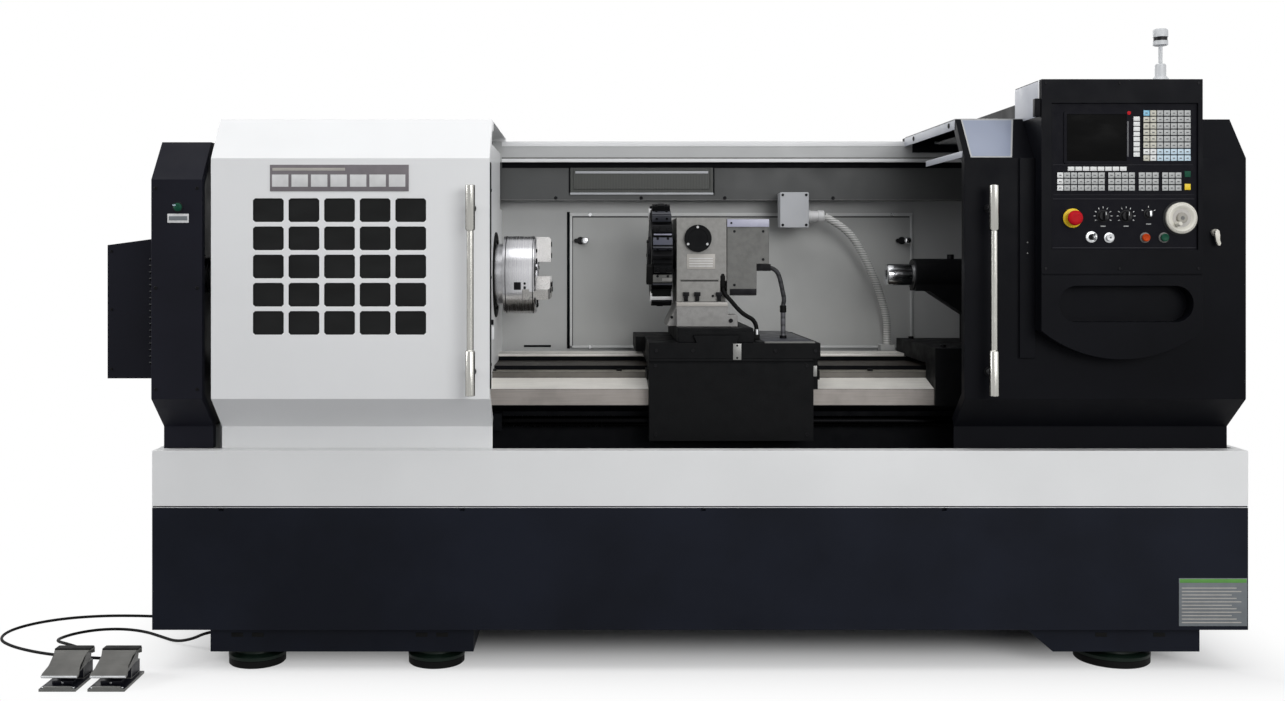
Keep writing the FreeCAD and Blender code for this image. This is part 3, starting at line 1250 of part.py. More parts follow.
def make_turret_lines():
    """Turret cable from its gland to the cross slide, and the coolant line down to its pipe."""
    gland_x = turret_right - 12
    front = TURRET_FRONT + 14
    gland = sided("z", (gland_x, front), [(TURRET_SEAM - 10, 8), (TURRET_SEAM, 8)], HOLE_SIDES)
    cable_end = (cross_right + 20, front - 50, CROSS_TOP - 8)
    cable = routed_tube([
        (gland_x, front, TURRET_SEAM - 10),
        (gland_x + 1, front - 4, TURRET_SEAM - 36),
        (gland_x + 22, front - 18, TURRET_SEAM - 58),
        (gland_x + 42, front - 36, TURRET_SEAM - 84),
        (gland_x + 62, front - 48, TURRET_SEAM - 104),
        (cable_end[0] - 2, cable_end[1], cable_end[2] + 26),
        cable_end,
    ], TURRET_CABLE_RADIUS, "turret cable")
    plug = block((cross_right, cable_end[0] + 9), (cable_end[1] - 9, cable_end[1] + 9),
                 (SADDLE_TOP + WAY_COVER_HEIGHT + SEAT_GAP, cable_end[2]))
    plug = cut(plug, block((cross_right - 1, cross_right + 10), (cable_end[1] - 20, cable_end[1] + 20),
                           (CROSS_TOP - 8, CROSS_TOP + 40)))
    box_right = turret_right + SHEET / 2 + MOTOR_BOX_WIDTH + SHEET
    line_y = TURRET_FRONT + MOTOR_BOX_SET_BACK + (SHEET + FOLD) / 2
    line_z = MOTOR_BOX_STEP - CONNECTOR_HEIGHT / 2
    pipe_top = SADDLE_TOP + 96
    pipe_x = box_right + 42
    coolant = routed_tube([
        (box_right, line_y, line_z),
        (box_right + 22, line_y - 2, line_z - 6),
        (box_right + 33, line_y - 6, line_z - 36),
        (box_right + 40, line_y - 9, line_z - 72),
        (box_right + 46, line_y - 9, line_z - 102),
        (pipe_x, line_y - 8, pipe_top + 14),
        (pipe_x, line_y - 8, pipe_top),
    ], COOLANT_RADIUS, "coolant line")
    foot = SADDLE_TOP + WAY_COVER_HEIGHT + SEAT_GAP
    pipe = sided("z", (pipe_x, line_y - 8),
                 [(foot, COOLANT_PIPE_RADIUS), (pipe_top, COOLANT_PIPE_RADIUS)], HOLE_SIDES)
    return Part.makeCompound([joined(gland, cable, plug), joined(coolant, pipe)])


def station_frame(number):
    """Return the rotation angle of a station, with a corner of the disc facing the operator."""
    return (number + 0.5) * 360.0 / STATION_COUNT


def about_disc(shape, angle):
    """Return a copy of a shape turned about the turret disc's axis."""
    copy = shape.copy()
    copy.rotate(Vector(0, DISC_Y, DISC_HEIGHT), AXES["x"], angle)
    return copy


def make_disc():
    """Indexing disc with one flat per station, on a journal in the turret housing."""
    corners = []
    for number in range(STATION_COUNT):
        angle = math.radians(number * 360.0 / STATION_COUNT)
        corners.append((DISC_Y - DISC_RADIUS * math.cos(angle), DISC_HEIGHT + DISC_RADIUS * math.sin(angle)))
    disc = prism("x", corners, disc_left, disc_right)
    centre = (DISC_Y, DISC_HEIGHT)
    hub = rod("x", disc_left - 2 * SHEET, disc_left, centre, DISC_HUB_SHARE * DISC_RADIUS)
    journal = rod("x", disc_right, TURRET_LEFT + 2 * FOLD - SEAT_GAP, centre, DISC_JOURNAL_RADIUS)
    return joined(disc, hub, journal)


def make_holders():
    """Tool holders on the disc's flats: clamp blocks with a tool shank, or a boring sleeve."""
    flat = DISC_RADIUS * math.cos(math.pi / STATION_COUNT)
    middle = (disc_left + disc_right) / 2
    x_range = (middle - HOLDER_WIDTH / 2, middle + HOLDER_WIDTH / 2)
    top = DISC_HEIGHT + flat
    holders = []
    for number in range(STATION_COUNT):
        if number not in BORING_STATIONS:
            body = block(x_range, (DISC_Y - HOLDER_LENGTH / 2, DISC_Y + HOLDER_LENGTH / 2),
                         (top, top + HOLDER_HEIGHT))
            groove = block((x_range[0] - 1, x_range[1] + 1), (DISC_Y - 6, DISC_Y + 6),
                           (top + HOLDER_HEIGHT - 8, top + HOLDER_HEIGHT + 1))
            shank = block((middle - TOOL_SHANK / 2, middle + TOOL_SHANK / 2),
                          (DISC_Y + TOOL_SHANK / 2, DISC_Y + 1.5 * TOOL_SHANK),
                          (top + HOLDER_HEIGHT - 2, top + HOLDER_HEIGHT + TOOL_REACH))
            holder = joined(cut(body, groove), shank)
        else:
            body = block(x_range, (DISC_Y - HOLDER_LENGTH / 3, DISC_Y + HOLDER_LENGTH / 3),
                         (top, top + HOLDER_HEIGHT))
            centre = (DISC_Y, top + HOLDER_HEIGHT)
            left = x_range[0] - WORKING_GAP
            right = x_range[1] + WORKING_GAP
            sleeve = sided("x", centre, [(left, SLEEVE_RADIUS), (right, SLEEVE_RADIUS)], SLEEVE_SIDES)
            bore = sided("x", centre, [(left - 1, SLEEVE_BORE), (right + 1, SLEEVE_BORE)], SLEEVE_SIDES)
            holder = cut(joined(body, sleeve), bore)
        holders.append(about_disc(holder, station_frame(number)))
    return Part.makeCompound(holders)


# --- Tailstock ------------------------------------------------------------------------------
def make_tailstock():
    """Tailstock: a barrel on an undercut web, a skirted foot on both ways and a rear cylinder."""
    right = TAIL_LEFT + TAIL_LENGTH
    barrel = rod("x", TAIL_LEFT, right, SPINDLE_CENTRE, TAIL_BARREL_RADIUS)
    low = SPINDLE_HEIGHT - TAIL_BARREL_RADIUS
    foot_top = REAR_WAY_HEIGHT + TAIL_FOOT_HEIGHT
    web = prism("y", [
        (TAIL_LEFT, SPINDLE_HEIGHT),
        (TAIL_LEFT, low),
        (TAIL_LEFT + TAIL_UNDERCUT_START, low),
        (TAIL_LEFT + TAIL_UNDERCUT_END, low - TAIL_UNDERCUT_DROP),
        (TAIL_LEFT + TAIL_UNDERCUT_END, foot_top),
        (right, foot_top),
        (right, SPINDLE_HEIGHT),
    ], SPINDLE_Y - TAIL_WEB_WIDTH / 2, SPINDLE_Y + TAIL_WEB_WIDTH / 2)
    ways = bed_outline(RUNNING_GAP)
    way_inner = FRONT_WAY_Y + FRONT_WAY_WIDTH - WORKING_GAP
    slope = FRONT_WAY_RISE / FRONT_WAY_WIDTH
    belly = REAR_WAY_HEIGHT - 2 * WORKING_GAP - RUNNING_GAP
    skirt_rear = FRONT_WAY_Y - WORKING_GAP
    skirt_low = FRONT_WAY_HEIGHT - FRONT_WAY_DEPTH
    foot = prism("x", [
        (skirt_rear - TAIL_SKIRT, skirt_low),
        (skirt_rear, skirt_low),
        (skirt_rear, ways[0][1] - WORKING_GAP * slope),
        (way_inner, ways[1][1] - WORKING_GAP * slope),
        (way_inner, belly),
        (REAR_WAY_Y - WORKING_GAP, belly),
        (REAR_WAY_Y - WORKING_GAP, ways[6][1]),
        (REAR_WAY_Y + REAR_WAY_WIDTH - WORKING_GAP, ways[6][1]),
        (REAR_WAY_Y + REAR_WAY_WIDTH - WORKING_GAP, foot_top),
        (skirt_rear - TAIL_SKIRT, foot_top),
    ], TAIL_FOOT_LEFT, right + FOLD)
    cylinder = rod("x", right, right + 2 * FOLD, SPINDLE_CENTRE, TAIL_CYLINDER_RADIUS)
    bore = rod("x", TAIL_LEFT - 1, TAIL_LEFT + QUILL_LENGTH - QUILL_REACH + SEAT_GAP, SPINDLE_CENTRE,
               QUILL_RADIUS + RUNNING_GAP)
    return cut(joined(barrel, web, foot, cylinder), bore)


def make_quill():
    """Quill with a socket for a centre."""
    left = TAIL_LEFT - QUILL_REACH
    outline = [
        (left, QUILL_BORE),
        (left, QUILL_RADIUS),
        (left + QUILL_LENGTH, QUILL_RADIUS),
        (left + QUILL_LENGTH, 0),
        (left + QUILL_BORE_DEPTH, 0),
        (left + QUILL_BORE_DEPTH, QUILL_BORE),
    ]
    return turned("x", SPINDLE_CENTRE, outline)


# --- Sliding doors --------------------------------------------------------------------------
def door_outline():
    """Return the outer line of a door's section, from its skirt up and over the roof."""
    return [
        (skirt_y, SKIRT_BOTTOM),
        (skirt_y, SKIRT_TOP),
        (DOOR_FRONT, DOOR_SILL),
        (DOOR_FRONT, DOOR_BROW),
        (brow_y, DOOR_ROOF),
        (ROOF_REAR, DOOR_ROOF),
    ]


def make_door_shell(left, right):
    """Folded door: skin, turned-in side edges, bottom shoes on the track and a rear glide."""
    outline = door_outline()
    skin = prism("x", folded(outline, SHEET), left, right)
    rim = outline[1:-1] + [(GUARD_Y - FOLD, DOOR_ROOF)]
    edges = [prism("x", folded(rim, FOLD), x, x + SHEET) for x in (left, right - SHEET)]
    shoes = []
    for x in (left + 2 * FOLD, right - 2 * FOLD - SHOE_LENGTH):
        shoes.append(block((x, x + SHOE_LENGTH), (skirt_y + SHEET, skirt_y + SHEET + SHOE_WIDTH),
                           (track_z + SEAT_GAP, SKIRT_BOTTOM + FOLD)))
    glide = block((left, right), (ROOF_REAR - FOLD, ROOF_REAR), (BEAM_TOP + SEAT_GAP, DOOR_ROOF - SHEET))
    return joined(skin, *edges, *shoes, glide)


def make_left_door():
    """White door with a grid of corner-clipped window openings in its front."""
    shell = make_door_shell(LEFT_DOOR_LEFT, left_door_right)
    openings = []
    for column in range(WINDOW_COLUMNS):
        for row in range(WINDOW_ROWS):
            x = WINDOW_LEFT + column * WINDOW_PITCH_X
            z = WINDOW_BOTTOM + row * WINDOW_PITCH_Z
            openings.append(clipped_slab((x, x + WINDOW_WIDTH), (z, z + WINDOW_HEIGHT), WINDOW_CORNER,
                                         (DOOR_FRONT - 1, DOOR_FRONT + SHEET + 1)))
    return cut(shell, *openings)


def make_window():
    """Glazing panel behind the left door's grid."""
    right = WINDOW_LEFT + (WINDOW_COLUMNS - 1) * WINDOW_PITCH_X + WINDOW_WIDTH
    top = WINDOW_BOTTOM + (WINDOW_ROWS - 1) * WINDOW_PITCH_Z + WINDOW_HEIGHT
    face = DOOR_FRONT + SHEET
    return block((WINDOW_LEFT - GLASS_MARGIN, right + GLASS_MARGIN), (face, face + GLASS_THICKNESS),
                 (WINDOW_BOTTOM - GLASS_MARGIN, top + GLASS_MARGIN))


def make_handle(x):
    """Round pull handle with thicker end sleeves, on two standoffs."""
    y = DOOR_FRONT - HANDLE_STANDOFF
    top = HANDLE_BOTTOM + HANDLE_LENGTH
    grip = SLEEVE_GRIP_LENGTH
    bevel = SLEEVE_GRIP_RADIUS - HANDLE_RADIUS
    tube = sided("z", (x, y), [
        (HANDLE_BOTTOM, HANDLE_RADIUS),
        (HANDLE_BOTTOM + bevel, SLEEVE_GRIP_RADIUS),
        (HANDLE_BOTTOM + grip - bevel, SLEEVE_GRIP_RADIUS),
        (HANDLE_BOTTOM + grip, HANDLE_RADIUS),
        (top - grip, HANDLE_RADIUS),
        (top - grip + bevel, SLEEVE_GRIP_RADIUS),
        (top - bevel, SLEEVE_GRIP_RADIUS),
        (top, HANDLE_RADIUS),
    ], HANDLE_SIDES)
    post = 0.8 * HANDLE_RADIUS
    posts = [sided("y", (x, z), [(y, post), (DOOR_FRONT, post)], HOLE_SIDES)
             for z in (HANDLE_BOTTOM + grip / 2, top - grip / 2)]
    return joined(tube, *posts)


def make_right_door(box):
    """Black door that carries the control box, with a column beside it and a roof duct."""
    shell = make_door_shell(right_door_left, right_door_right)
    column = block((box_left - COLUMN_WIDTH, box_left), (DOOR_FRONT - COLUMN_DEPTH, DOOR_FRONT),
                   (SHELL_BOTTOM, DOOR_BROW))
    duct_y = BOX_FRONT + BOX_DEPTH
    duct = block((box_left, box_left + DUCT_WIDTH), (duct_y, duct_y + DUCT_LENGTH),
                 (DOOR_ROOF, DOOR_ROOF + DUCT_HEIGHT))
    return cut(joined(shell, column, duct), box)


# --- Control box ----------------------------------------------------------------------------
# Each control's place on the panel, from its left and lower edges.
CONTROL_PLACES = {
    "emergency_stop": (61.0, 89.0),
    "feed_dial": (147.0, 95.0),
    "spindle_dial": (212.0, 95.0),
    "mode_selector": (275.0, 101.0),
    "handwheel": (364.0, 89.0),
    "key_switch": (114.0, 36.0),
    "white_button": (164.0, 34.0),
    "orange_button": (265.0, 34.0),
    "green_button": (318.0, 34.0),
}

# Membrane keypads on the panel: left, right, lower and upper edge.
KEYPADS = [
    (231.0, 251.0, 261.0, 376.0),
    (259.0, 394.0, 249.0, 394.0),
    (46.0, 214.0, 221.0, 235.0),
    (16.0, 152.0, 165.0, 219.0),
    (160.0, 237.0, 165.0, 219.0),
    (246.0, 304.0, 165.0, 219.0),
    (312.0, 368.0, 165.0, 219.0),
]


def on_panel(place):
    """Return the X and Z of a place measured from the panel's left and lower edges."""
    return (panel_left + place[0], PANEL_BOTTOM + place[1])


def box_envelope():
    """Return the control box's outer solid: upper box, lower box and curved lower shell."""
    rear = BOX_FRONT + BOX_DEPTH
    body = block((box_left, box_right), (BOX_FRONT, rear), (BOX_BOTTOM, BOX_TOP))
    middle = (box_left + box_right) / 2
    start = Vector(box_left, BOX_FRONT, BOX_BOTTOM)
    end = Vector(box_right, BOX_FRONT, BOX_BOTTOM)
    bow = Part.Arc(start, Vector(middle, BOX_FRONT, SHELL_BOTTOM), end).toShape()
    face = Part.Face(Part.Wire([bow, Part.makeLine(end, start)]))
    shell = face.extrude(Vector(0, SHELL_DEPTH, 0))
    return joined(body, shell)


def make_control_box(envelope):
    """Control box: recessed panel, a stadium pocket below it and a seam between the two parts."""
    panel_right = panel_left + PANEL_SIZE
    panel_top = PANEL_BOTTOM + PANEL_SIZE
    recess = block((panel_left, panel_right), (BOX_FRONT - 1, panel_y + PLATE_THICKNESS),
                   (PANEL_BOTTOM, panel_top))
    inside = block((panel_left + FOLD / 2, panel_right - FOLD / 2), (panel_y, panel_y + 2 * STEM_LENGTH),
                   (PANEL_BOTTOM + FOLD / 3, panel_top - FOLD / 3))
    pocket_left = box_left + POCKET_INSET
    pocket = rounded_slab((pocket_left, pocket_left + POCKET_WIDTH),
                          (POCKET_BOTTOM, POCKET_BOTTOM + POCKET_HEIGHT),
                          POCKET_HEIGHT / 2 - 1, (BOX_FRONT - 1, BOX_FRONT + POCKET_DEPTH))
    seam = block((box_left - 1, box_right + 1), (BOX_FRONT - 1, BOX_FRONT + SEAM_DEPTH),
                 (BOX_SEAM - SEAM_WIDTH / 2, BOX_SEAM + SEAM_WIDTH / 2))
    return cut(envelope, recess, inside, pocket, seam)


def make_panel():
    """Operator panel: plate, screen with its bezel, membrane keypads and holes for the stems."""
    plate = block((panel_left, panel_left + PANEL_SIZE), (panel_y, panel_y + PLATE_THICKNESS),
                  (PANEL_BOTTOM, PANEL_BOTTOM + PANEL_SIZE))
    screen_x, screen_z = on_panel((SCREEN_INSET, SCREEN_RISE))
    half_x = SCREEN_WIDTH / 2
    half_z = SCREEN_HEIGHT / 2
    bezel = clipped_slab((screen_x - half_x - SCREEN_BEZEL, screen_x + half_x + SCREEN_BEZEL),
                         (screen_z - half_z - SCREEN_BEZEL, screen_z + half_z + SCREEN_BEZEL),
                         SCREEN_BEZEL / 2, (panel_y - PLATE_THICKNESS, panel_y))
    glass = block((screen_x - half_x, screen_x + half_x), (panel_y - PLATE_THICKNESS - 1, panel_y - 1),
                  (screen_z - half_z, screen_z + half_z))
    pads = []
    for left, right, low, high in KEYPADS:
        pad_left, pad_low = on_panel((left, low))
        pad_right, pad_high = on_panel((right, high))
        pads.append(block((pad_left, pad_right), (panel_y - PAD_THICKNESS, panel_y), (pad_low, pad_high)))
    hole_radius = (STEM_RADIUS + SEAT_GAP) / math.cos(math.pi / HOLE_SIDES)
    holes = []
    for place in CONTROL_PLACES.values():
        outline = [(panel_y - FOLD, hole_radius), (panel_y + FOLD, hole_radius)]
        holes.append(sided("y", on_panel(place), outline, HOLE_SIDES))
    return cut(joined(cut(bezel, glass), plate, *pads), *holes)


def control_stem(name, start):
    """Return the six-sided stem that carries a control through the panel."""
    outline = [(start, STEM_RADIUS), (panel_y + STEM_LENGTH, STEM_RADIUS)]
    return sided("y", on_panel(CONTROL_PLACES[name]), outline, STEM_SIDES)


def make_button(name):
    """Push button: a cap that stands clear of the panel by its travel, on a stem."""
    back = panel_y - BUTTON_GAP
    cap = sided("y", on_panel(CONTROL_PLACES[name]), [
        (back, BUTTON_RADIUS),
        (back - BUTTON_HEIGHT + BUTTON_BEVEL, BUTTON_RADIUS),
        (back - BUTTON_HEIGHT, BUTTON_RADIUS - BUTTON_BEVEL),
    ], KNOB_SIDES)
    return joined(cap, control_stem(name, back))


def make_emergency_stop():
    """Mushroom head of the emergency stop."""
    back = panel_y - BUTTON_GAP
    outline = [(back - height, radius) for height, radius in STOP_PROFILE]
    head = sided("y", on_panel(CONTROL_PLACES["emergency_stop"]), outline, KNOB_SIDES)
    return joined(head, control_stem("emergency_stop", back))


def make_dial(name, radius, height, grip):
    """Rotary knob: a disc with a raised bar grip, turning just in front of the panel."""
    x, z = on_panel(CONTROL_PLACES[name])
    back = panel_y - KNOB_GAP
    knob = sided("y", (x, z), [(back, radius), (back - height, radius - 1)], KNOB_SIDES)
    bar = clipped_slab((x - grip / 2, x + grip / 2), (z - radius + 2, z + radius - 2), grip / 3,
                       (back - 2.2 * height, back - height))
    return joined(knob, bar, control_stem(name, back))


def make_handwheel():
    """Pulse handwheel: a dished wheel with a raised hub and a small crank knob."""
    x, z = on_panel(CONTROL_PLACES["handwheel"])
    back = panel_y - KNOB_GAP
    wheel = sided("y", (x, z), [(back, 44), (back - 9, 44), (back - 12, 41)], KNOB_SIDES)
    dish = sided("y", (x, z), [(back - 13, 31), (back - 8, 27)], KNOB_SIDES)
    hub = sided("y", (x, z), [(back - 8, 12), (back - 14, 9)], KNOB_SIDES)
    knob = sided("y", (x - 14, z - 17), [(back - 8, 7), (back - 34, 6)], KNOB_SIDES // 2)
    return joined(cut(wheel, dish), hub, knob, control_stem("handwheel", back))


def make_key():
    """Key in its switch: a round plug with the key's flat bow."""
    x, z = on_panel(CONTROL_PLACES["key_switch"])
    back = panel_y - KNOB_GAP
    plug = sided("y", (x, z), [(back, 9), (back - 5, 9)], KNOB_SIDES)
    bow = clipped_slab((x - 1.5, x + 1.5), (z - 11, z + 11), 0.7, (back - 30, back - 5))
    return joined(plug, bow, control_stem("key_switch", back))


def make_door_lever():
    """Cam lever on the right door: a round hub with a drop-shaped arm below it."""
    face = DOOR_FRONT - SEAT_GAP
    hub = sided("y", (lever_x, LEVER_HEIGHT), [(face, 13), (face - 12, 13)], KNOB_SIDES)
    arm = clipped_slab((lever_x - 9, lever_x + 9), (LEVER_HEIGHT - 40, LEVER_HEIGHT), 5.0,
                       (face - 20, face - 12))
    return joined(hub, arm)


def make_signal_lamp():
    """Signal lamp on the box: foot, socket, neck and head."""
    centre = (box_right - SIGNAL_INSET, BOX_FRONT + SIGNAL_SETBACK)
    pieces = []
    for outline, sides in ((SIGNAL_FOOT, SIGNAL_SIDES), (SIGNAL_SOCKET, SIGNAL_SIDES),
                           (SIGNAL_NECK, SIGNAL_SIDES // 2), (SIGNAL_HEAD, SIGNAL_SIDES)):
        raised = [(BOX_TOP + height, radius) for height, radius in outline]
        pieces.append(sided("z", centre, raised, sides))
    return joined(*pieces)


# --- Foot pedals ----------------------------------------------------------------------------
def make_pedal_base(x):
    """Pedal base: plate with a front lip, the switch block, two pivot ears and a cable gland."""
    half = PEDAL_WIDTH / 2
    rear = PEDAL_FRONT + PEDAL_LENGTH
    outline = [
        (PEDAL_FRONT, 0),
        (rear, 0),
        (rear, PEDAL_BLOCK_HEIGHT),
        (rear - PIVOT_INSET - FOLD, PEDAL_BLOCK_HEIGHT),
        (rear - PIVOT_INSET - FOLD, PEDAL_PLATE),
        (PEDAL_FRONT + PEDAL_LIP, PEDAL_PLATE),
        (PEDAL_FRONT + PEDAL_LIP / 2, PEDAL_LIP),
        (PEDAL_FRONT, PEDAL_LIP),
    ]
    inner = half - EAR_THICKNESS - TREAD_WAIST
    body = prism("x", outline, x - inner, x + inner)
    plate = block((x - half, x + half), (PEDAL_FRONT, rear), (0, PEDAL_PLATE))
    ears = []
    pivot_y = rear - PIVOT_INSET
    for side in (-1, 1):
        ear_x = x + side * (inner - EAR_THICKNESS / 2)
        ears.append(block((ear_x - EAR_THICKNESS / 2, ear_x + EAR_THICKNESS / 2), (pivot_y - 10, pivot_y + 10),
                          (PEDAL_PLATE, PIVOT_HEIGHT + 8)))
    gland = sided("y", (x, GLAND_RADIUS + PEDAL_PLATE),
                  [(rear, GLAND_RADIUS), (rear + GLAND_LENGTH, GLAND_RADIUS)], HOLE_SIDES)
    bore_radius = (PIVOT_RADIUS + RUNNING_GAP) / math.cos(math.pi / HOLE_SIDES)
    bore = sided("x", (pivot_y, PIVOT_HEIGHT), [(x - half, bore_radius), (x + half, bore_radius)], HOLE_SIDES)
    return cut(joined(body, plate, *ears, gland), bore)


def make_tread(x):
    """Pedal tread: a pinched, sloping plate with side skirts and its pivot pin."""
    half = PEDAL_WIDTH / 2
    front = PEDAL_FRONT + PEDAL_LIP
    rear = PEDAL_FRONT + PEDAL_LENGTH - PIVOT_INSET / 2
    pivot_y = PEDAL_FRONT + PEDAL_LENGTH - PIVOT_INSET
    top_line = [
        (front, TREAD_FRONT_HEIGHT),
        (pivot_y - 2 * FOLD / 3, TREAD_REAR_HEIGHT),
        (rear, TREAD_REAR_HEIGHT),
        (rear, PIVOT_HEIGHT + FOLD / 3),
    ]
    plate = prism("x", folded(top_line, TREAD_THICKNESS), x - half, x + half)
    waists = []
    for side in (-1, 1):
        waists.append(prism("z", [
            (x + side * half, front + FOLD / 3),
            (x + side * (half - TREAD_WAIST), front + 1.2 * FOLD),
            (x + side * (half - TREAD_WAIST), pivot_y - 1.2 * FOLD),
            (x + side * half, pivot_y - FOLD / 3),
        ], 0, 2 * TREAD_REAR_HEIGHT))
    skirt_outline = [
        (front, TREAD_FRONT_HEIGHT - TREAD_THICKNESS),
        (pivot_y - 2 * FOLD / 3, TREAD_REAR_HEIGHT - TREAD_THICKNESS),
        (rear - SHEET, TREAD_REAR_HEIGHT - TREAD_THICKNESS),
        (rear - SHEET, PIVOT_HEIGHT + FOLD / 3),
        (pivot_y + 10, PIVOT_HEIGHT - 10),
        (pivot_y - 12, PIVOT_HEIGHT - 10),
    ]
    skirt_x = half - TREAD_WAIST - SHEET
    skirts = [prism("x", skirt_outline, x + side * skirt_x - SHEET / 2, x + side * skirt_x + SHEET / 2)
              for side in (-1, 1)]
    pin = rod("x", x - skirt_x, x + skirt_x, (pivot_y, PIVOT_HEIGHT), PIVOT_RADIUS)
    return joined(cut(plate, *waists), *skirts, pin)


def cable_points(gland, floor_points, pedal_x):
    """Return a cable's route from its plinth gland, over the floor points, to a pedal's gland."""
    y, z = gland
    start = (left_plinth_x - GLAND_LENGTH, y, z)
    rear = PEDAL_FRONT + PEDAL_LENGTH + GLAND_LENGTH
    end = (pedal_x, rear, GLAND_RADIUS + PEDAL_PLATE)
    return [start] + floor_points + [end]


floor_z = PEDAL_CABLE_RADIUS
LEFT_CABLE_POINTS = [
    (-1362.0, -337.0, 60.0),
    (-1412.0, -319.0, 34.0),
    (-1478.0, -268.0, 11.0),
    (-1546.0, -196.0, floor_z),
    (-1618.0, -138.0, floor_z),
    (-1700.0, -108.0, floor_z),
    (-1778.0, -116.0, floor_z),
    (-1836.0, -158.0, floor_z),
    (-1858.0, -228.0, 9.0),
    (-1836.0, -298.0, 21.0),
    (-1784.0, -356.0, 31.0),
    (-1724.0, -404.0, 33.0),
    (-1680.0, -452.0, 26.0),
    (LEFT_PEDAL_X, -494.0, 18.0),
]
RIGHT_CABLE_POINTS = [
    (-1372.0, -16.0, 58.0),
    (-1436.0, 0.0, 32.0),
    (-1524.0, 18.0, 8.0),
    (-1620.0, 34.0, floor_z),
    (-1724.0, 45.0, floor_z),
    (-1832.0, 42.0, floor_z),
    (-1938.0, 12.0, floor_z),
    (-2020.0, -50.0, floor_z),
    (-2062.0, -132.0, floor_z),
    (-2050.0, -222.0, floor_z),
    (-1985.0, -290.0, floor_z),
    (-1898.0, -345.0, floor_z),
    (-1806.0, -383.0, floor_z),
    (-1712.0, -405.0, floor_z),
    (-1628.0, -418.0, floor_z),
    (-1568.0, -448.0, 8.0),
    (RIGHT_PEDAL_X, -486.0, 14.0),
]


# --- Assembly -------------------------------------------------------------------------------
def build():
    """Return every node of the machine by name."""
    bed = make_bed()
    envelope = box_envelope()
    wall = make_rear_wall()
    brackets = make_screw_bearings()
    nodes = {
        "base_frame": make_base(),
        "levelling_feet": make_feet(),
        "chip_tray": make_tray(),
        "bed": joined(bed, *brackets),
        "headstock_housing": make_headstock(bed),
        "headstock_guard": make_head_guard(bed),
        "main_motor": make_motor(),
        "drive_belt": make_belt(),
        "end_cover": make_end_cover(),
        "vent_cover": make_vent_cover(),
        "rear_wall": wall,
        "rear_access_panel": make_access_panel(wall),
        "work_lamp": make_work_lamp(),
        "junction_box": make_junction_box(),
        "conduit": routed_tube(conduit_route(), CONDUIT_RADIUS, "conduit"),
        "tailstock_guard": make_tail_guard(),
        "electrical_cabinet": make_cabinet(),
        "pedal_bases": Part.makeCompound([make_pedal_base(x) for x in (LEFT_PEDAL_X, RIGHT_PEDAL_X)]),
        "pedal_cable_left": routed_tube(cable_points(LEFT_CABLE_EXIT, LEFT_CABLE_POINTS, LEFT_PEDAL_X),
                                        PEDAL_CABLE_RADIUS, "left pedal cable"),
        "pedal_cable_right": routed_tube(cable_points(RIGHT_CABLE_EXIT, RIGHT_CABLE_POINTS, RIGHT_PEDAL_X),
                                         PEDAL_CABLE_RADIUS, "right pedal cable"),
        "spindle": make_spindle(),
        "chuck_body": make_chuck(),
        "motor_pulley": make_motor_pulley(),
        "saddle": make_saddle(),
        "apron": make_apron(),
        "ball_screw": make_ball_screw(),
        "cross_slide": make_cross_slide(),
        "turret_base": make_turret_base(),
        "turret_housing": make_turret_housing(),
        "turret_motor_cover": make_motor_box(),
        "turret_lines": make_turret_lines(),
        "turret_disc": make_disc(),
        "tool_holders": make_holders(),
        "tailstock": make_tailstock(),
        "quill": make_quill(),
        "left_door": make_left_door(),
        "left_window": make_window(),
        "left_handle": make_handle(left_door_right - LEFT_HANDLE_INSET),
        "right_door": make_right_door(envelope),
        "right_handle": make_handle(right_door_left + RIGHT_HANDLE_INSET),
        "control_box": make_control_box(envelope),
        "operator_panel": make_panel(),
        "signal_lamp": make_signal_lamp(),
        "emergency_stop": make_emergency_stop(),
        "feed_dial": make_dial("feed_dial", *DIAL_SIZE),
        "spindle_dial": make_dial("spindle_dial", *DIAL_SIZE),
        "mode_selector": make_dial("mode_selector", *SELECTOR_SIZE),
        "handwheel": make_handwheel(),
        "key_switch": make_key(),
        "white_button": make_button("white_button"),
        "orange_button": make_button("orange_button"),
        "green_button": make_button("green_button"),
        "door_lever": make_door_lever(),
        "pedal_tread_left": make_tread(LEFT_PEDAL_X),
        "pedal_tread_right": make_tread(RIGHT_PEDAL_X),
    }
    for number, angle in enumerate(jaw_angles(), start=1):
        nodes[f"jaw_{number}"] = make_jaw(angle)
    for side, x in zip(("left", "right"), latch_places()):
        nodes[f"panel_latch_{side}"] = make_latch(x)
    return nodes


os.makedirs("parts", exist_ok=True)
for node, shape in build().items():
    shape.exportStep(f"parts/{node}.step")
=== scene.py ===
"""Visual model of a flat-bed CNC turning lathe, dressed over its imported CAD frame.

Sizes are millimetres in the machine's frame: X along the bed, -Y towards the operator, Z up.
Only the studio is measured in metres.
"""

import json
import logging
import math
from dataclasses import dataclass
from enum import Enum
from itertools import product
from typing import Iterable, Sequence

import bmesh
import bpy
from mathutils import Matrix, Vector

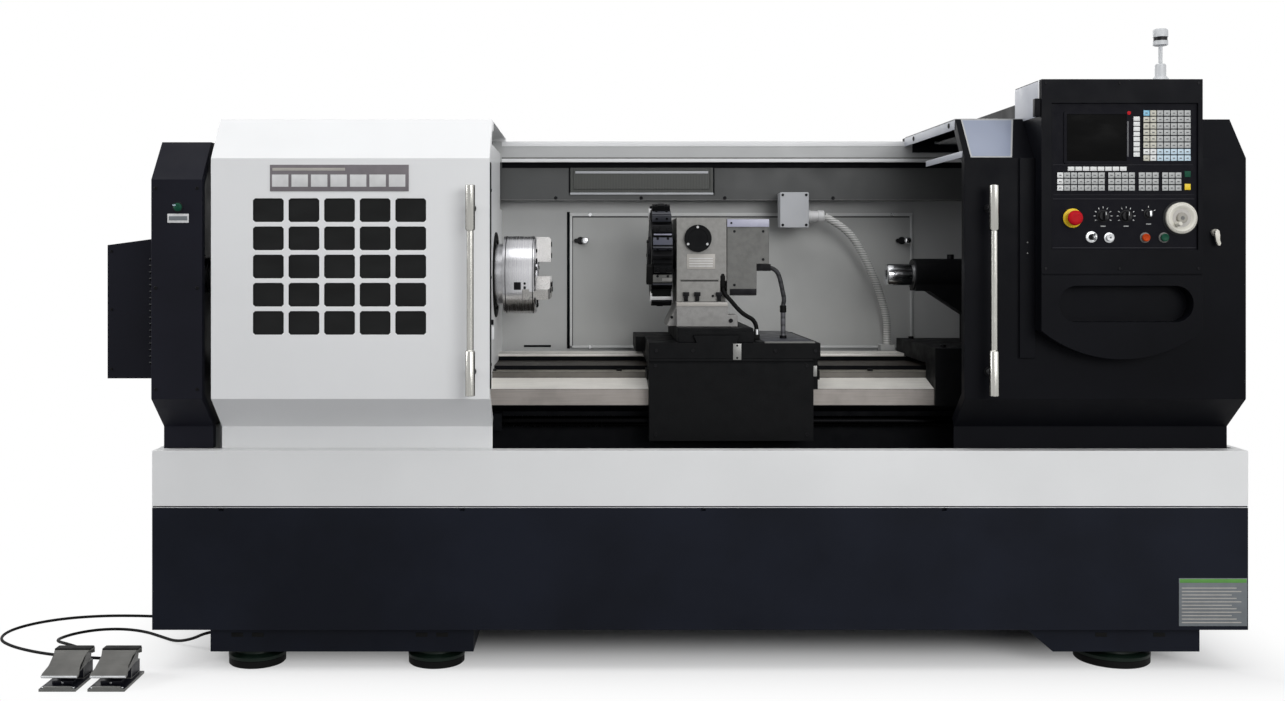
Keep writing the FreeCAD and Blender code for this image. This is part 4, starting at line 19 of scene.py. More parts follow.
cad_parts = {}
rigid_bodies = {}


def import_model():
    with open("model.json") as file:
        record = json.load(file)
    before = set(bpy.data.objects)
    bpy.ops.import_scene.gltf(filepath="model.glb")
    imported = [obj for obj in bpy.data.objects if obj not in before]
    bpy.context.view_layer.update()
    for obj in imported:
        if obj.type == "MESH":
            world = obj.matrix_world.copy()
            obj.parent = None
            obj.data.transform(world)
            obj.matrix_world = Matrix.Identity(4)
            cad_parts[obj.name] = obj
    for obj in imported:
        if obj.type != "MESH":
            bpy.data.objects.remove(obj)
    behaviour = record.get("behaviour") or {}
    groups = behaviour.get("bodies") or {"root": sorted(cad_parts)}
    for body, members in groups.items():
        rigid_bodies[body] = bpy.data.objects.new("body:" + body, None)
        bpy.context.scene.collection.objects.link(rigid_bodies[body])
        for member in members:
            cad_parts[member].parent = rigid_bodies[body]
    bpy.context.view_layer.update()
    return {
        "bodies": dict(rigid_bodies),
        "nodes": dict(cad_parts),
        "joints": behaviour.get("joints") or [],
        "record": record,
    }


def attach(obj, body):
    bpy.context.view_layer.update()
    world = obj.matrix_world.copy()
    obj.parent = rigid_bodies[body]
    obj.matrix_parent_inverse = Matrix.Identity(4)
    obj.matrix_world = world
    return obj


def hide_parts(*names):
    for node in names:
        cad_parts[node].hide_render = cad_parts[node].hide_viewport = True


LOG = logging.getLogger("lathe")
MM = 0.001

# Angles in radians from which edges are bevelled and shading breaks, on solids and on softened copies.
BEVEL_ANGLE = 0.5
SHADE_ANGLE = math.radians(38)
SOFT_BEVEL_ANGLE = math.radians(32)
SOFT_SHADE_ANGLE = math.radians(30)
# Faces of a copy that meet at less than this are joined, as are vertices closer than this in metres.
FLAT_ANGLE = math.radians(0.5)
WELD_DISTANCE = 1e-5
# Least cosine between the normals of a face and of its zone.
FACING = 0.7
# Chamfer of a screw's head, and its socket's depth and radii as shares of the head's.
HEAD_CHAMFER = 0.8
SOCKET_DEPTH = 0.6
SOCKET_RADII = (0.52, 0.5)

Pair = tuple[float, float]
Point = tuple[float, float, float]
Socket = bpy.types.NodeSocket


class Body(str, Enum):
    """Names of the CAD bodies that pieces ride on."""

    MACHINE = "machine"
    SPINDLE = "spindle_body"
    CARRIAGE = "carriage"
    CROSS_SLIDE = "cross_slide_body"
    TURRET = "turret"
    TAILSTOCK = "tailstock_body"
    QUILL = "quill_body"
    JAW_1 = "jaw_1_body"
    JAW_2 = "jaw_2_body"
    JAW_3 = "jaw_3_body"
    LEFT_DOOR = "left_door_body"
    RIGHT_DOOR = "right_door_body"
    STOP = "emergency_stop_body"
    FEED_DIAL = "feed_dial_body"
    SPINDLE_DIAL = "spindle_dial_body"
    MODE = "mode_selector_body"
    WHEEL = "handwheel_body"
    KEY = "key_switch_body"
    WHITE_BUTTON = "white_button_body"
    ORANGE_BUTTON = "orange_button_body"
    GREEN_BUTTON = "green_button_body"
    LEVER = "door_lever_body"
    LEFT_LATCH = "panel_latch_left_body"
    RIGHT_LATCH = "panel_latch_right_body"
    LEFT_PEDAL = "pedal_left_body"
    RIGHT_PEDAL = "pedal_right_body"


class Axis(Enum):
    """Direction that a profile or a grain runs along."""

    X = 0
    Y = 1
    Z = 2

    def point(self, along: float, first: float, second: float) -> Vector:
        """Place a point in metres.

        Args:
            along: Coordinate along the axis.
            first: First of the other two coordinates, in X, Y, Z order.
            second: Second of them.

        Returns:
            The point.
        """
        values = [first, second]
        values.insert(self.value, along)
        return Vector(values) * MM


X, Y, Z = Axis


# --------------------------------------------------------------------------- materials


class NodeGraph:
    """Node tree of a material or a world, with short calls for the nodes that looks share."""

    def __init__(self, owner: bpy.types.Material | bpy.types.World) -> None:
        """Switch the owner's nodes on.

        Args:
            owner: Material or world that gets the nodes.
        """
        owner.use_nodes = True
        self.tree = owner.node_tree
        self.shader = self.tree.nodes.get("Principled BSDF")

    def feed(self, target: Socket, value: object) -> None:
        """Link a socket to an input, or set the input's value.

        Args:
            target: The input.
            value: Socket, number, vector or colour.
        """
        if isinstance(value, Socket):
            self.tree.links.new(value, target)
        else:
            target.default_value = value

    def add(self, kind: str, *operands: object, **values: object) -> bpy.types.Node:
        """Add a node.

        Args:
            kind: Type of node without its ShaderNode prefix.
            *operands: What its inputs take, in their order.
            **values: Properties, or inputs with an underscore for each space.

        Returns:
            The new node.
        """
        node = self.tree.nodes.new(f"ShaderNode{kind}")
        for target, value in zip(node.inputs, operands):
            self.feed(target, value)
        for key, value in values.items():
            if hasattr(node, key):
                setattr(node, key, value)
            else:
                self.feed(node.inputs[key.replace("_", " ")], value)
        return node

    def calc(self, operation: str, *operands: object) -> Socket:
        """Return the result of a calculation with numbers or sockets."""
        return self.add("Math", *operands, operation=operation).outputs[0]

    def place(self, stretch: Point = (1.0, 1.0, 1.0)) -> Socket:
        """Return object coordinates in metres, stretched along each axis."""
        coordinates = self.add("TexCoord").outputs["Object"]
        return self.add("Mapping", Scale=stretch, Vector=coordinates).outputs["Vector"]

    def noise(self, scale: float, detail: float, vector: Socket) -> Socket:
        """Return noise with a number of cells per metre and of octaves, read at a place."""
        return self.add("TexNoise", Scale=scale, Detail=detail, Vector=vector).outputs["Fac"]

    def ramp(self, factor: Socket, color: Point, *stops: Pair) -> Socket:
        """Map a factor to shades of a colour.

        Args:
            factor: Value that picks the shade.
            color: Linear colour.
            *stops: Pairs of a place from 0 to 1 and a gain of the colour.

        Returns:
            The colour socket.
        """
        node = self.add("ValToRGB", factor)
        for element, (position, gain) in zip(node.color_ramp.elements, stops):
            element.position = position
            element.color = (*(min(1.0, channel * gain) for channel in color), 1.0)
        return node.outputs["Color"]

    def mix(self, factor: object, first: object, second: object, blend: str = "MIX") -> Socket:
        """Mix two colours.

        Args:
            factor: Share of the second colour.
            first: First colour.
            second: Second colour.
            blend: How they mix.

        Returns:
            The colour socket.
        """
        node = self.add("Mix", data_type="RGBA", blend_type=blend)
        for index, value in ((0, factor), (6, first), (7, second)):
            self.feed(node.inputs[index], value)
        return node.outputs[2]

    def set(self, **values: object) -> None:
        """Feed the shader's own inputs, named with an underscore for each space.

        Args:
            **values: Numbers or sockets.
        """
        for key, value in values.items():
            self.feed(self.shader.inputs[key.replace("_", " ")], value)

    def tint(self, factor: Socket, color: Point, *stops: Pair) -> None:
        """Drive the base colour by shades of a colour."""
        self.set(Base_Color=self.ramp(factor, color, *stops))

    def gloss(self, factor: Socket, roughness: float, low: float, high: float) -> None:
        """Drive the roughness between two shares of its mean, by a noise from 0.3 to 0.7.

        Args:
            factor: The noise.
            roughness: Mean roughness.
            low: Share at the noise's low end.
            high: Share at its high end.
        """
        span = self.add("MapRange", From_Min=0.3, From_Max=0.7, To_Min=roughness * low,
                        To_Max=roughness * high, Value=factor)
        self.set(Roughness=span.outputs["Result"])

    def bump(self, height: Socket, strength: float, depth: float) -> None:
        """Raise the surface by a height, with a strength and a depth in metres."""
        self.set(Normal=self.add("Bump", Strength=strength, Distance=depth, Height=height).outputs[0])

    def seen(self) -> Socket:
        """Return 1 for rays that see or mirror the surface, and 0 for those that light it.

        Returns:
            The socket.
        """
        path = self.add("LightPath").outputs
        mirrored = self.calc("MAXIMUM", path["Is Camera Ray"], path["Is Glossy Ray"])
        return self.calc("MAXIMUM", mirrored, path["Is Transmission Ray"])


@dataclass(frozen=True)
class Finish:
    """Base of all finishes; each one builds its own material once."""

    name: str
    color: Point
    specular: float = 0.5

    def build(self) -> bpy.types.Material:
        """Build the material, unless it exists already.

        Returns:
            The material.
        """
        look = f"{self.name}_look"
        material = bpy.data.materials.get(look)
        if material is None:
            material = bpy.data.materials.new(look)
            graph = NodeGraph(material)
            graph.set(Specular_IOR_Level=self.specular)
            self.wire(graph)
        return material

    def wire(self, graph: NodeGraph) -> None:
        """Add the finish's nodes to a graph."""
        raise NotImplementedError


@dataclass(frozen=True)
class Paint(Finish):
    """Sprayed enamel with orange peel, slight clouding and uneven gloss."""

    roughness: float = 0.45
    cloud: float = 0.04
    coat: float = 0.0

    def wire(self, graph: NodeGraph) -> None:
        """Add clouded colour, uneven gloss and orange peel.

        Args:
            graph: The material's graph.
        """
        place = graph.place()
        cloud = graph.noise(3.0, 4.0, place)
        graph.tint(cloud, self.color, (0.35, 1.0 - self.cloud), (0.65, 1.0 + self.cloud))
        graph.gloss(graph.noise(14.0, 5.0, place), self.roughness, 0.85, 1.2)
        graph.bump(graph.noise(420.0, 2.0, place), 0.25, 0.0004)
        graph.set(Coat_Weight=self.coat, Coat_Roughness=0.18)


@dataclass(frozen=True)
class CastPaint(Finish):
    """Thick paint over a casting: coarser surface and darker hollows."""

    roughness: float = 0.5

    def wire(self, graph: NodeGraph) -> None:
        """Add a coarse grain with darker hollows.

        Args:
            graph: The material's graph.
        """
        place = graph.place()
        graph.tint(graph.noise(60.0, 6.0, place), self.color, (0.3, 0.82), (0.6, 1.0))
        graph.gloss(graph.noise(25.0, 4.0, place), self.roughness, 0.8, 1.25)
        graph.bump(graph.noise(240.0, 5.0, place), 0.5, 0.0006)


@dataclass(frozen=True)
class GroundMetal(Finish):
    """Ground or brushed metal with fine lines along one axis."""

    roughness: float = 0.3
    stain: float = 0.15
    metal: float = 1.0
    grain: Axis = Axis.X

    def wire(self, graph: NodeGraph) -> None:
        """Add long thin scratches and faint oil stains.

        Args:
            graph: The material's graph.
        """
        stretch = tuple(9.0 if axis is self.grain else 900.0 for axis in Axis)
        lines = graph.noise(1.0, 3.0, graph.place(stretch))
        stains = graph.noise(11.0, 5.0, graph.place())
        metal = graph.ramp(lines, self.color, (0.3, 0.85), (0.7, 1.1))
        oil = graph.ramp(stains, (1.0, 1.0, 1.0), (0.35, 1.0 - self.stain), (0.6, 1.0))
        graph.set(Base_Color=graph.mix(1.0, metal, oil, "MULTIPLY"), Metallic=self.metal)
        graph.gloss(lines, self.roughness, 0.75, 1.3)
        graph.bump(lines, 0.15, 0.0002)


@dataclass(frozen=True)
class TurnedMetal(Finish):
    """Metal turned on a lathe: fine rings about an axis parallel to X, measured in metres."""

    centre: Pair = (-0.095, 1.150)
    pitch: float = 0.0016
    roughness: float = 0.22

    def wire(self, graph: NodeGraph) -> None:
        """Add rings from the distance to the axis and along it.

        Args:
            graph: The material's graph.
        """
        split = graph.add("SeparateXYZ", graph.add("TexCoord").outputs["Object"]).outputs
        aside = [graph.calc("SUBTRACT", split[axis], value) for axis, value in zip("YZ", self.centre)]
        offset = graph.add("CombineXYZ", 0.0, *aside).outputs[0]
        distance = graph.add("VectorMath", offset, operation="LENGTH").outputs["Value"]
        line = graph.add("CombineXYZ", graph.calc("ADD", distance, split["X"])).outputs[0]
        rings = graph.noise(1.0 / self.pitch, 2.0, line)
        graph.tint(rings, self.color, (0.3, 0.93), (0.7, 1.06))
        graph.gloss(rings, self.roughness, 0.7, 1.5)
        graph.bump(rings, 0.08, 0.0001)
        graph.set(Metallic=1.0)


@dataclass(frozen=True)
class Polish(Finish):
    """Polished or plated metal with light handling marks."""

    roughness: float = 0.12

    def wire(self, graph: NodeGraph) -> None:
        """Add faint smudges.

        Args:
            graph: The material's graph.
        """
        smudge = graph.noise(30.0, 5.0, graph.place())
        graph.tint(smudge, self.color, (0.3, 0.93), (0.7, 1.0))
        graph.gloss(smudge, self.roughness, 0.7, 1.6)
        graph.set(Metallic=1.0)


@dataclass(frozen=True)
class Plastic(Finish):
    """Moulded plastic or rubber with a fine grain."""

    roughness: float = 0.4
    grain: float = 0.2
    coat: float = 0.0

    def wire(self, graph: NodeGraph) -> None:
        """Add a fine moulded grain and faint clouding.

        Args:
            graph: The material's graph.
        """
        place = graph.place()
        cloud = graph.noise(40.0, 3.0, place)
        graph.tint(cloud, self.color, (0.3, 0.93), (0.7, 1.05))
        graph.gloss(cloud, self.roughness, 0.85, 1.15)
        graph.bump(graph.noise(1500.0, 2.0, place), self.grain, 0.0001)
        graph.set(Coat_Weight=self.coat, Coat_Roughness=0.08)


@dataclass(frozen=True)
class SmokedGlass(Finish):
    """Dark glazing of a door or a screen with faint wipe marks."""

    roughness: float = 0.06

    def wire(self, graph: NodeGraph) -> None:
        """Add dark clouding and wipe marks in the gloss.

        Args:
            graph: The material's graph.
        """
        wipes = graph.noise(7.0, 6.0, graph.place((1.0, 1.0, 3.0)))
        graph.tint(wipes, self.color, (0.3, 0.7), (0.75, 1.4))
        graph.gloss(wipes, self.roughness, 0.6, 2.5)


@dataclass(frozen=True)
class LampGlass(Finish):
    """Frosted prismatic glass over an unlit lamp."""

    def wire(self, graph: NodeGraph) -> None:
        """Add fine prisms.

        Args:
            graph: The material's graph.
        """
        prisms = graph.add("TexWave", graph.place(), Scale=60.0, Distortion=0.4).outputs["Fac"]
        graph.tint(prisms, self.color, (0.2, 0.8), (0.8, 1.0))
        graph.bump(prisms, 0.3, 0.0008)
        graph.set(Roughness=0.3)


@dataclass(frozen=True)
class RibbedHose(Finish):
    """Woven or segmented hose: rings across its length, darker between them."""

    # Width of a ring in metres, and how many fit into a unit of the wave texture, about 20 / pi.
    ring: float = 0.004
    rings_per_unit: float = 6.28

    def wire(self, graph: NodeGraph) -> None:
        """Add rings across the hose.

        Args:
            graph: The material's graph.
        """
        rings = graph.add("TexWave", graph.place(), wave_type="BANDS", bands_direction="Z",
                          Scale=1.0 / self.ring / self.rings_per_unit).outputs["Fac"]
        graph.tint(rings, self.color, (0.05, 0.45), (0.4, 1.0))
        graph.bump(rings, 0.6, 0.0015)
        graph.set(Roughness=0.5)


class Look:
    """All finishes of the machine."""

    WHITE = Paint("white_enamel", (0.79, 0.795, 0.795), roughness=0.42, cloud=0.015, coat=0.1)
    TRAY = Paint("tray_enamel", (0.79, 0.795, 0.79), cloud=0.02, coat=0.1)
    BLACK = Paint("black_enamel", (0.0034, 0.0036, 0.0050), 0.04, 0.42, 0.2)
    END_BLACK = Paint("end_cover_enamel", (0.0085, 0.0088, 0.0135), 0.08, cloud=0.15)
    BASE = Paint("base_enamel", (0.0068, 0.0082, 0.0135), 0.08, 0.5, 0.25)
    WALL = Paint("wall_enamel", (0.44, 0.445, 0.44), roughness=0.5, cloud=0.05)
    PANEL_WALL = Paint("panel_enamel", (0.45, 0.455, 0.445), roughness=0.5, cloud=0.05)
    PANEL_RIM = Paint("panel_rim_enamel", (0.66, 0.665, 0.66), cloud=0.03)
    # Painted light: dark grey for the shade on the upper wall panel and for the shadow lines by the access
    # panel; on the black vent it makes the louvre blades lighter, as a painted highlight.
    SHADE_AND_HIGHLIGHT_GREY = Paint("painted_shade_and_highlight_grey", (0.062, 0.064, 0.064), 0.3, 0.5, 0.06)
    BEAM = Paint("beam_enamel", (0.40, 0.405, 0.405), cloud=0.03)
    # Painted highlight: pale strips along lit edges of the beam and of the control box's side.
    EDGE_HIGHLIGHT = Paint("painted_edge_highlight", (0.72, 0.725, 0.73), cloud=0.02)
    # Painted reflection: blue-grey for the light reflected on the right door's black slope.
    SLOPE_REFLECTION = Paint("painted_reflection_blue_grey", (0.235, 0.265, 0.345), roughness=0.4)
    BOX_GREY = Paint("box_grey_enamel", (0.40, 0.41, 0.43))
    BOX_SIDE = Paint("box_side_enamel", (0.37, 0.385, 0.425), cloud=0.06)
    CAST_GREY = CastPaint("grey_casting", (0.29, 0.285, 0.27), 0.3)
    CAST_DARK = CastPaint("dark_casting", (0.15, 0.15, 0.142), 0.3)
    CAST_PALE = CastPaint("pale_casting", (0.29, 0.285, 0.275), 0.4)
    CAST_BLACK = CastPaint("black_casting", (0.0045, 0.0047, 0.0052), 0.06)
    IRON_BLACK = CastPaint("black_bed_side", (0.0035, 0.0038, 0.0048), 0.05, 0.6)
    SLIDE_PLATE = CastPaint("slide_plate", (0.040, 0.042, 0.052), 0.3, 0.4)
    PEDAL = CastPaint("pedal_hammer_paint", (0.17, 0.17, 0.16), 0.3, 0.42)
    PEDAL_DARK = CastPaint("pedal_switch_paint", (0.008, 0.008, 0.013), 0.2, 0.42)
    FOOT = CastPaint("foot_paint", (0.0045, 0.0105, 0.0070), 0.15, 0.4)
    WAYS = GroundMetal("ground_ways", (0.93, 0.89, 0.83), 0.5, 0.38, 0.1, 0.15)
    # Painted shade: darker copies of the ground metal for the front faces of the way and of the strip, and
    # a near-black band for the trough between the ways.
    WAY_FACE_SHADE = GroundMetal("ground_way_painted_shade", (0.29, 0.265, 0.245), 0.5, 0.45, 0.2, 0.4)
    WAYS_WORN = GroundMetal("worn_strip", (0.34, 0.32, 0.275), 0.5, 0.45, 0.35, 0.4)
    STRIP_FACE_SHADE = GroundMetal("strip_painted_shade", (0.115, 0.106, 0.092), 0.5, 0.5, 0.3, 0.2)
    TROUGH_SHADE = GroundMetal("painted_trough_shade", (0.035, 0.029, 0.023), 0.5, 0.5, 0.3, 0.4)
    TREAD = GroundMetal("pedal_tread_plate", (0.13, 0.128, 0.12), 0.5, 0.4, 0.3, 0.3)
    STEEL_Z = GroundMetal("brushed_handle", (0.42, 0.415, 0.39), 0.5, 0.2, 0.04, grain=Axis.Z)
    STEEL = GroundMetal("ground_steel", (0.62, 0.61, 0.60), metal=0.7, grain=Axis.Y)
    CHUCK = TurnedMetal("turned_chuck", (0.54, 0.54, 0.56))
    # Painted shade: the ball screw is dark steel, darkened further so that it sinks into the shade under
    # the front way.
    SCREW = TurnedMetal("turned_screw", (0.0022, 0.0022, 0.0024), centre=(-0.306, 0.702), pitch=0.003)
    CHROME = Polish("hard_chrome", (0.72, 0.73, 0.75))
    BOLT = Polish("black_oxide", (0.012, 0.012, 0.013), roughness=0.45)
    ZINC = Polish("zinc_plate", (0.50, 0.51, 0.52), roughness=0.3)
    TAG = Polish("dull_tag", (0.17, 0.17, 0.165), roughness=0.4)
    RUBBER = Plastic("black_rubber", (0.0045, 0.0045, 0.0045), 0.08, 0.6)
    PANEL = Plastic("panel_foil", (0.0050, 0.0050, 0.0074), 0.04, 0.5)
    PANEL_LINE = Plastic("panel_line", (0.018, 0.018, 0.022), 0.1, 0.5)
    KEY_WHITE = Plastic("key_white", (0.62, 0.63, 0.62))
    KEY_GREY = Plastic("key_grey", (0.33, 0.34, 0.335))
    KEY_BEIGE = Plastic("key_beige", (0.44, 0.43, 0.36))
    KEY_BLUE = Plastic("key_blue", (0.16, 0.42, 0.58))
    KEY_PALE = Plastic("key_pale_blue", (0.42, 0.54, 0.62))
    STATION_BLUE = Plastic("station_blue", (0.055, 0.058, 0.082), 0.3)
    # Painted highlight: a lilac-white strip on the lit top edges of a tool holder and of the turret's motor
    # cover.
    LILAC_HIGHLIGHT = Plastic("painted_lilac_highlight", (0.40, 0.40, 0.50), roughness=0.35)
    LEGEND = Plastic("key_legend", (0.05, 0.05, 0.055), roughness=0.5)
    RED = Plastic("red_plastic", (0.42, 0.006, 0.012), 0.08, 0.5)
    YELLOW = Plastic("yellow_plastic", (0.74, 0.52, 0.008), 0.3)
    GREEN = Plastic("green_plastic", (0.004, 0.055, 0.030), 0.12, 0.5)
    ORANGE = Plastic("orange_plastic", (0.42, 0.045, 0.004), 0.1, 0.5)
    BLACK_PLASTIC = Plastic("black_plastic", (0.006, 0.006, 0.007), 0.15)
    CREAM = Plastic("cream_plastic", (0.60, 0.58, 0.51), roughness=0.35, coat=0.1)
    CREAM_DARK = Plastic("cream_plastic_hub", (0.26, 0.245, 0.21))
    WHITE_PLASTIC = Plastic("white_plastic", (0.68, 0.69, 0.69), roughness=0.35, coat=0.1)
    LAMP_BODY = Plastic("lamp_body", (0.50, 0.51, 0.52))
    PLATE = Plastic("bare_plate", (0.16, 0.175, 0.185), 0.3, grain=0.05)
    PLATE_WHITE = Plastic("bare_white_plate", (0.64, 0.64, 0.64), grain=0.05)
    PLATE_DULL = Plastic("bare_dull_plate", (0.40, 0.38, 0.35), grain=0.05)
    PLATE_GREY = Plastic("bare_grey_plate", (0.17, 0.155, 0.165), 0.3, grain=0.05)
    PLATE_GREEN = Plastic("bare_plate_green", (0.10, 0.28, 0.06), 0.3, grain=0.05)
    GLAZING = SmokedGlass("smoked_glazing", (0.009, 0.0095, 0.0095), 0.12)
    SCREEN = SmokedGlass("screen_glass", (0.004, 0.004, 0.004), 0.02, 0.35)
    LAMP = LampGlass("lamp_glass", (0.072, 0.075, 0.070), 0.15)
    HOSE = RibbedHose("conduit_hose", (0.72, 0.72, 0.70), 0.3)
    COOLANT = RibbedHose("coolant_segments", (0.035, 0.035, 0.038), 0.2, 0.011)
    STRIPED = RibbedHose("striped_pipe", (0.10, 0.10, 0.11), 0.4, 0.012)


# --------------------------------------------------------------------------- solids


def sharp_edges(part: bmesh.types.BMesh, angle: float) -> list[bmesh.types.BMEdge]:
    """Return the edges between two faces that meet at more than an angle."""
    return [edge for edge in part.edges if len(edge.link_faces) == 2 and edge.calc_face_angle(0.0) > angle]


def bevelled(part: bmesh.types.BMesh, width: float) -> bmesh.types.BMesh:
    """Bevel a part's sharp edges.

    Args:
        part: The part.
        width: Width of the bevel, or 0 for none.

    Returns:
        The same part.
    """
    if width > 0.0:
        bmesh.ops.bevel(part, geom=sharp_edges(part, BEVEL_ANGLE), offset=width * MM, segments=2,
                        profile=0.6, affect="EDGES", clamp_overlap=True)
    return part


class Solid:
    """Closed solid with one finish."""

    def form(self) -> bmesh.types.BMesh:
        """Make the solid's mesh, in metres."""
        raise NotImplementedError


@dataclass(frozen=True)
class Box(Solid):
    """Box between three pairs of coordinates."""

    x: Pair
    y: Pair
    z: Pair
    finish: Finish
    bevel: float = 0.8

    def form(self) -> bmesh.types.BMesh:
        """Make the box.

        Returns:
            Its mesh.
        """
        part = bmesh.new()
        spans = (self.x, self.y, self.z)
        centre = Vector([(low + high) / 2 * MM for low, high in spans])
        size = Matrix.Diagonal([(high - low) * MM for low, high in spans] + [1.0])
        bmesh.ops.create_cube(part, size=1.0, matrix=Matrix.Translation(centre) @ size)
        return bevelled(part, self.bevel)


@dataclass(frozen=True)
class Prism(Solid):
    """Outline in the other two coordinates, extruded along an axis from start to end."""

    axis: Axis
    outline: Sequence[Pair]
    start: float
    end: float
    finish: Finish
    bevel: float = 0.8

    def form(self) -> bmesh.types.BMesh:
        """Make the prism.

        Returns:
            Its mesh.
        """
        part = bmesh.new()
        low, high = [[part.verts.new(self.axis.point(along, *point)) for point in self.outline]
                     for along in (self.start, self.end)]
        part.faces.new(low)
        part.faces.new(high[::-1])
        for index in range(len(low)):
            after = (index + 1) % len(low)
            part.faces.new([low[index], high[index], high[after], low[after]])
        bmesh.ops.recalc_face_normals(part, faces=part.faces)
        return bevelled(part, self.bevel)


@dataclass(frozen=True)
class Turned(Solid):
    """Profile of (place along the axis, radius), closed at the axis or on itself, and revolved."""

    axis: Axis
    centre: Pair
    profile: Sequence[Pair]
    finish: Finish
    segments: int = 40

    def form(self) -> bmesh.types.BMesh:
        """Make the solid of revolution.

        Returns:
            Its mesh.
        """
        part = bmesh.new()
        rings = []
        for along, radius in self.profile:
            count = self.segments if radius > 0 else 1
            angles = [2 * math.pi * step / self.segments for step in range(count)]
            rings.append([part.verts.new(self.axis.point(along, self.centre[0] + radius * math.cos(angle),
                                                         self.centre[1] + radius * math.sin(angle)))
                          for angle in angles])
        pairs = list(zip(rings, rings[1:]))
        if len(rings[0]) > 1 and len(rings[-1]) > 1:
            pairs.append((rings[-1], rings[0]))
        for (first, second), step in product(pairs, range(self.segments)):
            after = (step + 1) % self.segments
            corners = dict.fromkeys([first[step % len(first)], first[after % len(first)],
                                     second[after % len(second)], second[step % len(second)]])
            if len(corners) >= 3:
                part.faces.new(list(corners))
        bmesh.ops.recalc_face_normals(part, faces=part.faces)
        return part


@dataclass(frozen=True)
class Moved(Solid):
    """Solid moved by a matrix in metres."""

    solid: Solid
    move: Matrix

    @property
    def finish(self) -> Finish:
        """Finish of the moved solid."""
        return self.solid.finish

    def form(self) -> bmesh.types.BMesh:
        """Make the solid and move it.

        Returns:
            Its mesh.
        """
        part = self.solid.form()
        bmesh.ops.transform(part, matrix=self.move, verts=part.verts)
        return part


def rod(axis: Axis, centre: Pair, start: float, end: float, radius: float, finish: Finish,
        chamfer: float = 0.6) -> Turned:
    """Return a round bar with chamfered ends.

    Args:
        axis: Direction of the bar.
        centre: Its other two coordinates.
        start: Lower end.
        end: Upper end.
        radius: Its radius.
        finish: Its finish.
        chamfer: Width of the chamfer.

    Returns:
        The bar.
    """
    profile = ((start, 0), (start, radius - chamfer), (start + chamfer, radius), (end - chamfer, radius),
               (end, radius - chamfer), (end, 0))
    return Turned(axis, centre, profile, finish, 32)


def screws(axis: Axis, places: Iterable[Pair], seat: float, head: float, radius: float,
           finish: Finish = Look.BOLT) -> list[Turned]:
    """Return a socket-head screw at each place.

    Args:
        axis: Direction that the heads point along or against.
        places: The screws' other two coordinates.
        seat: Coordinate of their seat along the axis.
        head: Signed height of the heads.
        radius: Radius of the heads.
        finish: Their finish.

    Returns:
        The screws.
    """
    top = seat + head
    edge = top - math.copysign(HEAD_CHAMFER, head)
    socket = top - head * SOCKET_DEPTH
    mouth, bottom = SOCKET_RADII
    profile = ((seat, 0), (seat, radius), (edge, radius), (top, radius - HEAD_CHAMFER),
               (top, radius * mouth), (socket, radius * bottom), (socket, 0))
    return [Turned(axis, place, profile, finish, 18) for place in places]


def around(centre: Pair, radius: float, angle: float) -> Pair:
    """Return the place at a radius and an angle in degrees, counted from above towards -Y."""
    turn = math.radians(angle)
    return centre[0] - radius * math.sin(turn), centre[1] + radius * math.cos(turn)


# --------------------------------------------------------------------------- pieces


def settle(name: str, data: bpy.types.ID, body: str, slot: str, nodes: Sequence[str]) -> bpy.types.Object:
    """Make an object that rides on a body.

    Args:
        name: Name of the object.
        data: Its mesh or curve.
        body: Body that carries it.
        slot: Material slot of the record; not used.
        nodes: CAD nodes that it stands for.

    Returns:
        The object.
    """
    piece = bpy.data.objects.new(name, data)
    bpy.context.scene.collection.objects.link(piece)
    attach(piece, body)
    if nodes:
        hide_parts(*nodes)
    return piece


@dataclass(frozen=True)
class Piece:
    """Mesh object made of solids."""

    name: str
    body: Body
    slot: str
    solids: Sequence[Solid]
    nodes: tuple[str, ...] = ()

    def build(self) -> None:
        """Merge the solids into one mesh and let it ride on its body."""
        mesh = bmesh.new()
        data = bpy.data.meshes.new(self.name)
        looks = list(dict.fromkeys(solid.finish for solid in self.solids))
        for solid in self.solids:
            part = solid.form()
            for face in part.faces:
                face.material_index = looks.index(solid.finish)
                face.smooth = True
            bmesh.ops.recalc_face_normals(part, faces=part.faces)
            part.to_mesh(data)
            part.free()
            mesh.from_mesh(data)
        mesh.to_mesh(data)
        mesh.free()
        for look in looks:
            data.materials.append(look.build())
        data.set_sharp_from_angle(angle=SHADE_ANGLE)
        settle(self.name, data, self.body.value, self.slot, self.nodes)


@dataclass(frozen=True)
class Hose:
    """Cable or hose that stands for a CAD tube, as one smooth curve through the tube's route."""

    name: str
    body: Body
    slot: str
    route: Sequence[Point]
    diameter: float
    finish: Finish
    nodes: tuple[str, ...] = ()

    def build(self) -> bpy.types.Object:
        """Make the curve.

        Returns:
            The curve object.
        """
        data = bpy.data.curves.new(self.name, "CURVE")
        data.dimensions = "3D"
        data.bevel_depth = self.diameter / 2 * MM
        data.bevel_resolution = 5
        data.resolution_u = 10
        spline = data.splines.new("NURBS")
        spline.points.add(len(self.route) - 1)
        for point, place in zip(spline.points, self.route):
            point.co = (*Vector(place) * MM, 1.0)
        spline.order_u = 3
        spline.use_endpoint_u = True
        data.materials.append(self.finish.build())
        return settle(self.name, data, self.body.value, self.slot, self.nodes)


@dataclass(frozen=True)
class PedalCable(Hose):
    """One foot pedal's free cable, from the plinth's gland over the floor to the pedal."""

    length: float = 1000

    def build(self) -> bpy.types.Object:
        """Returns:
            The curve object.
        """
        piece = super().build()
        tuple(value * MM for value in self.route[0])
        return piece


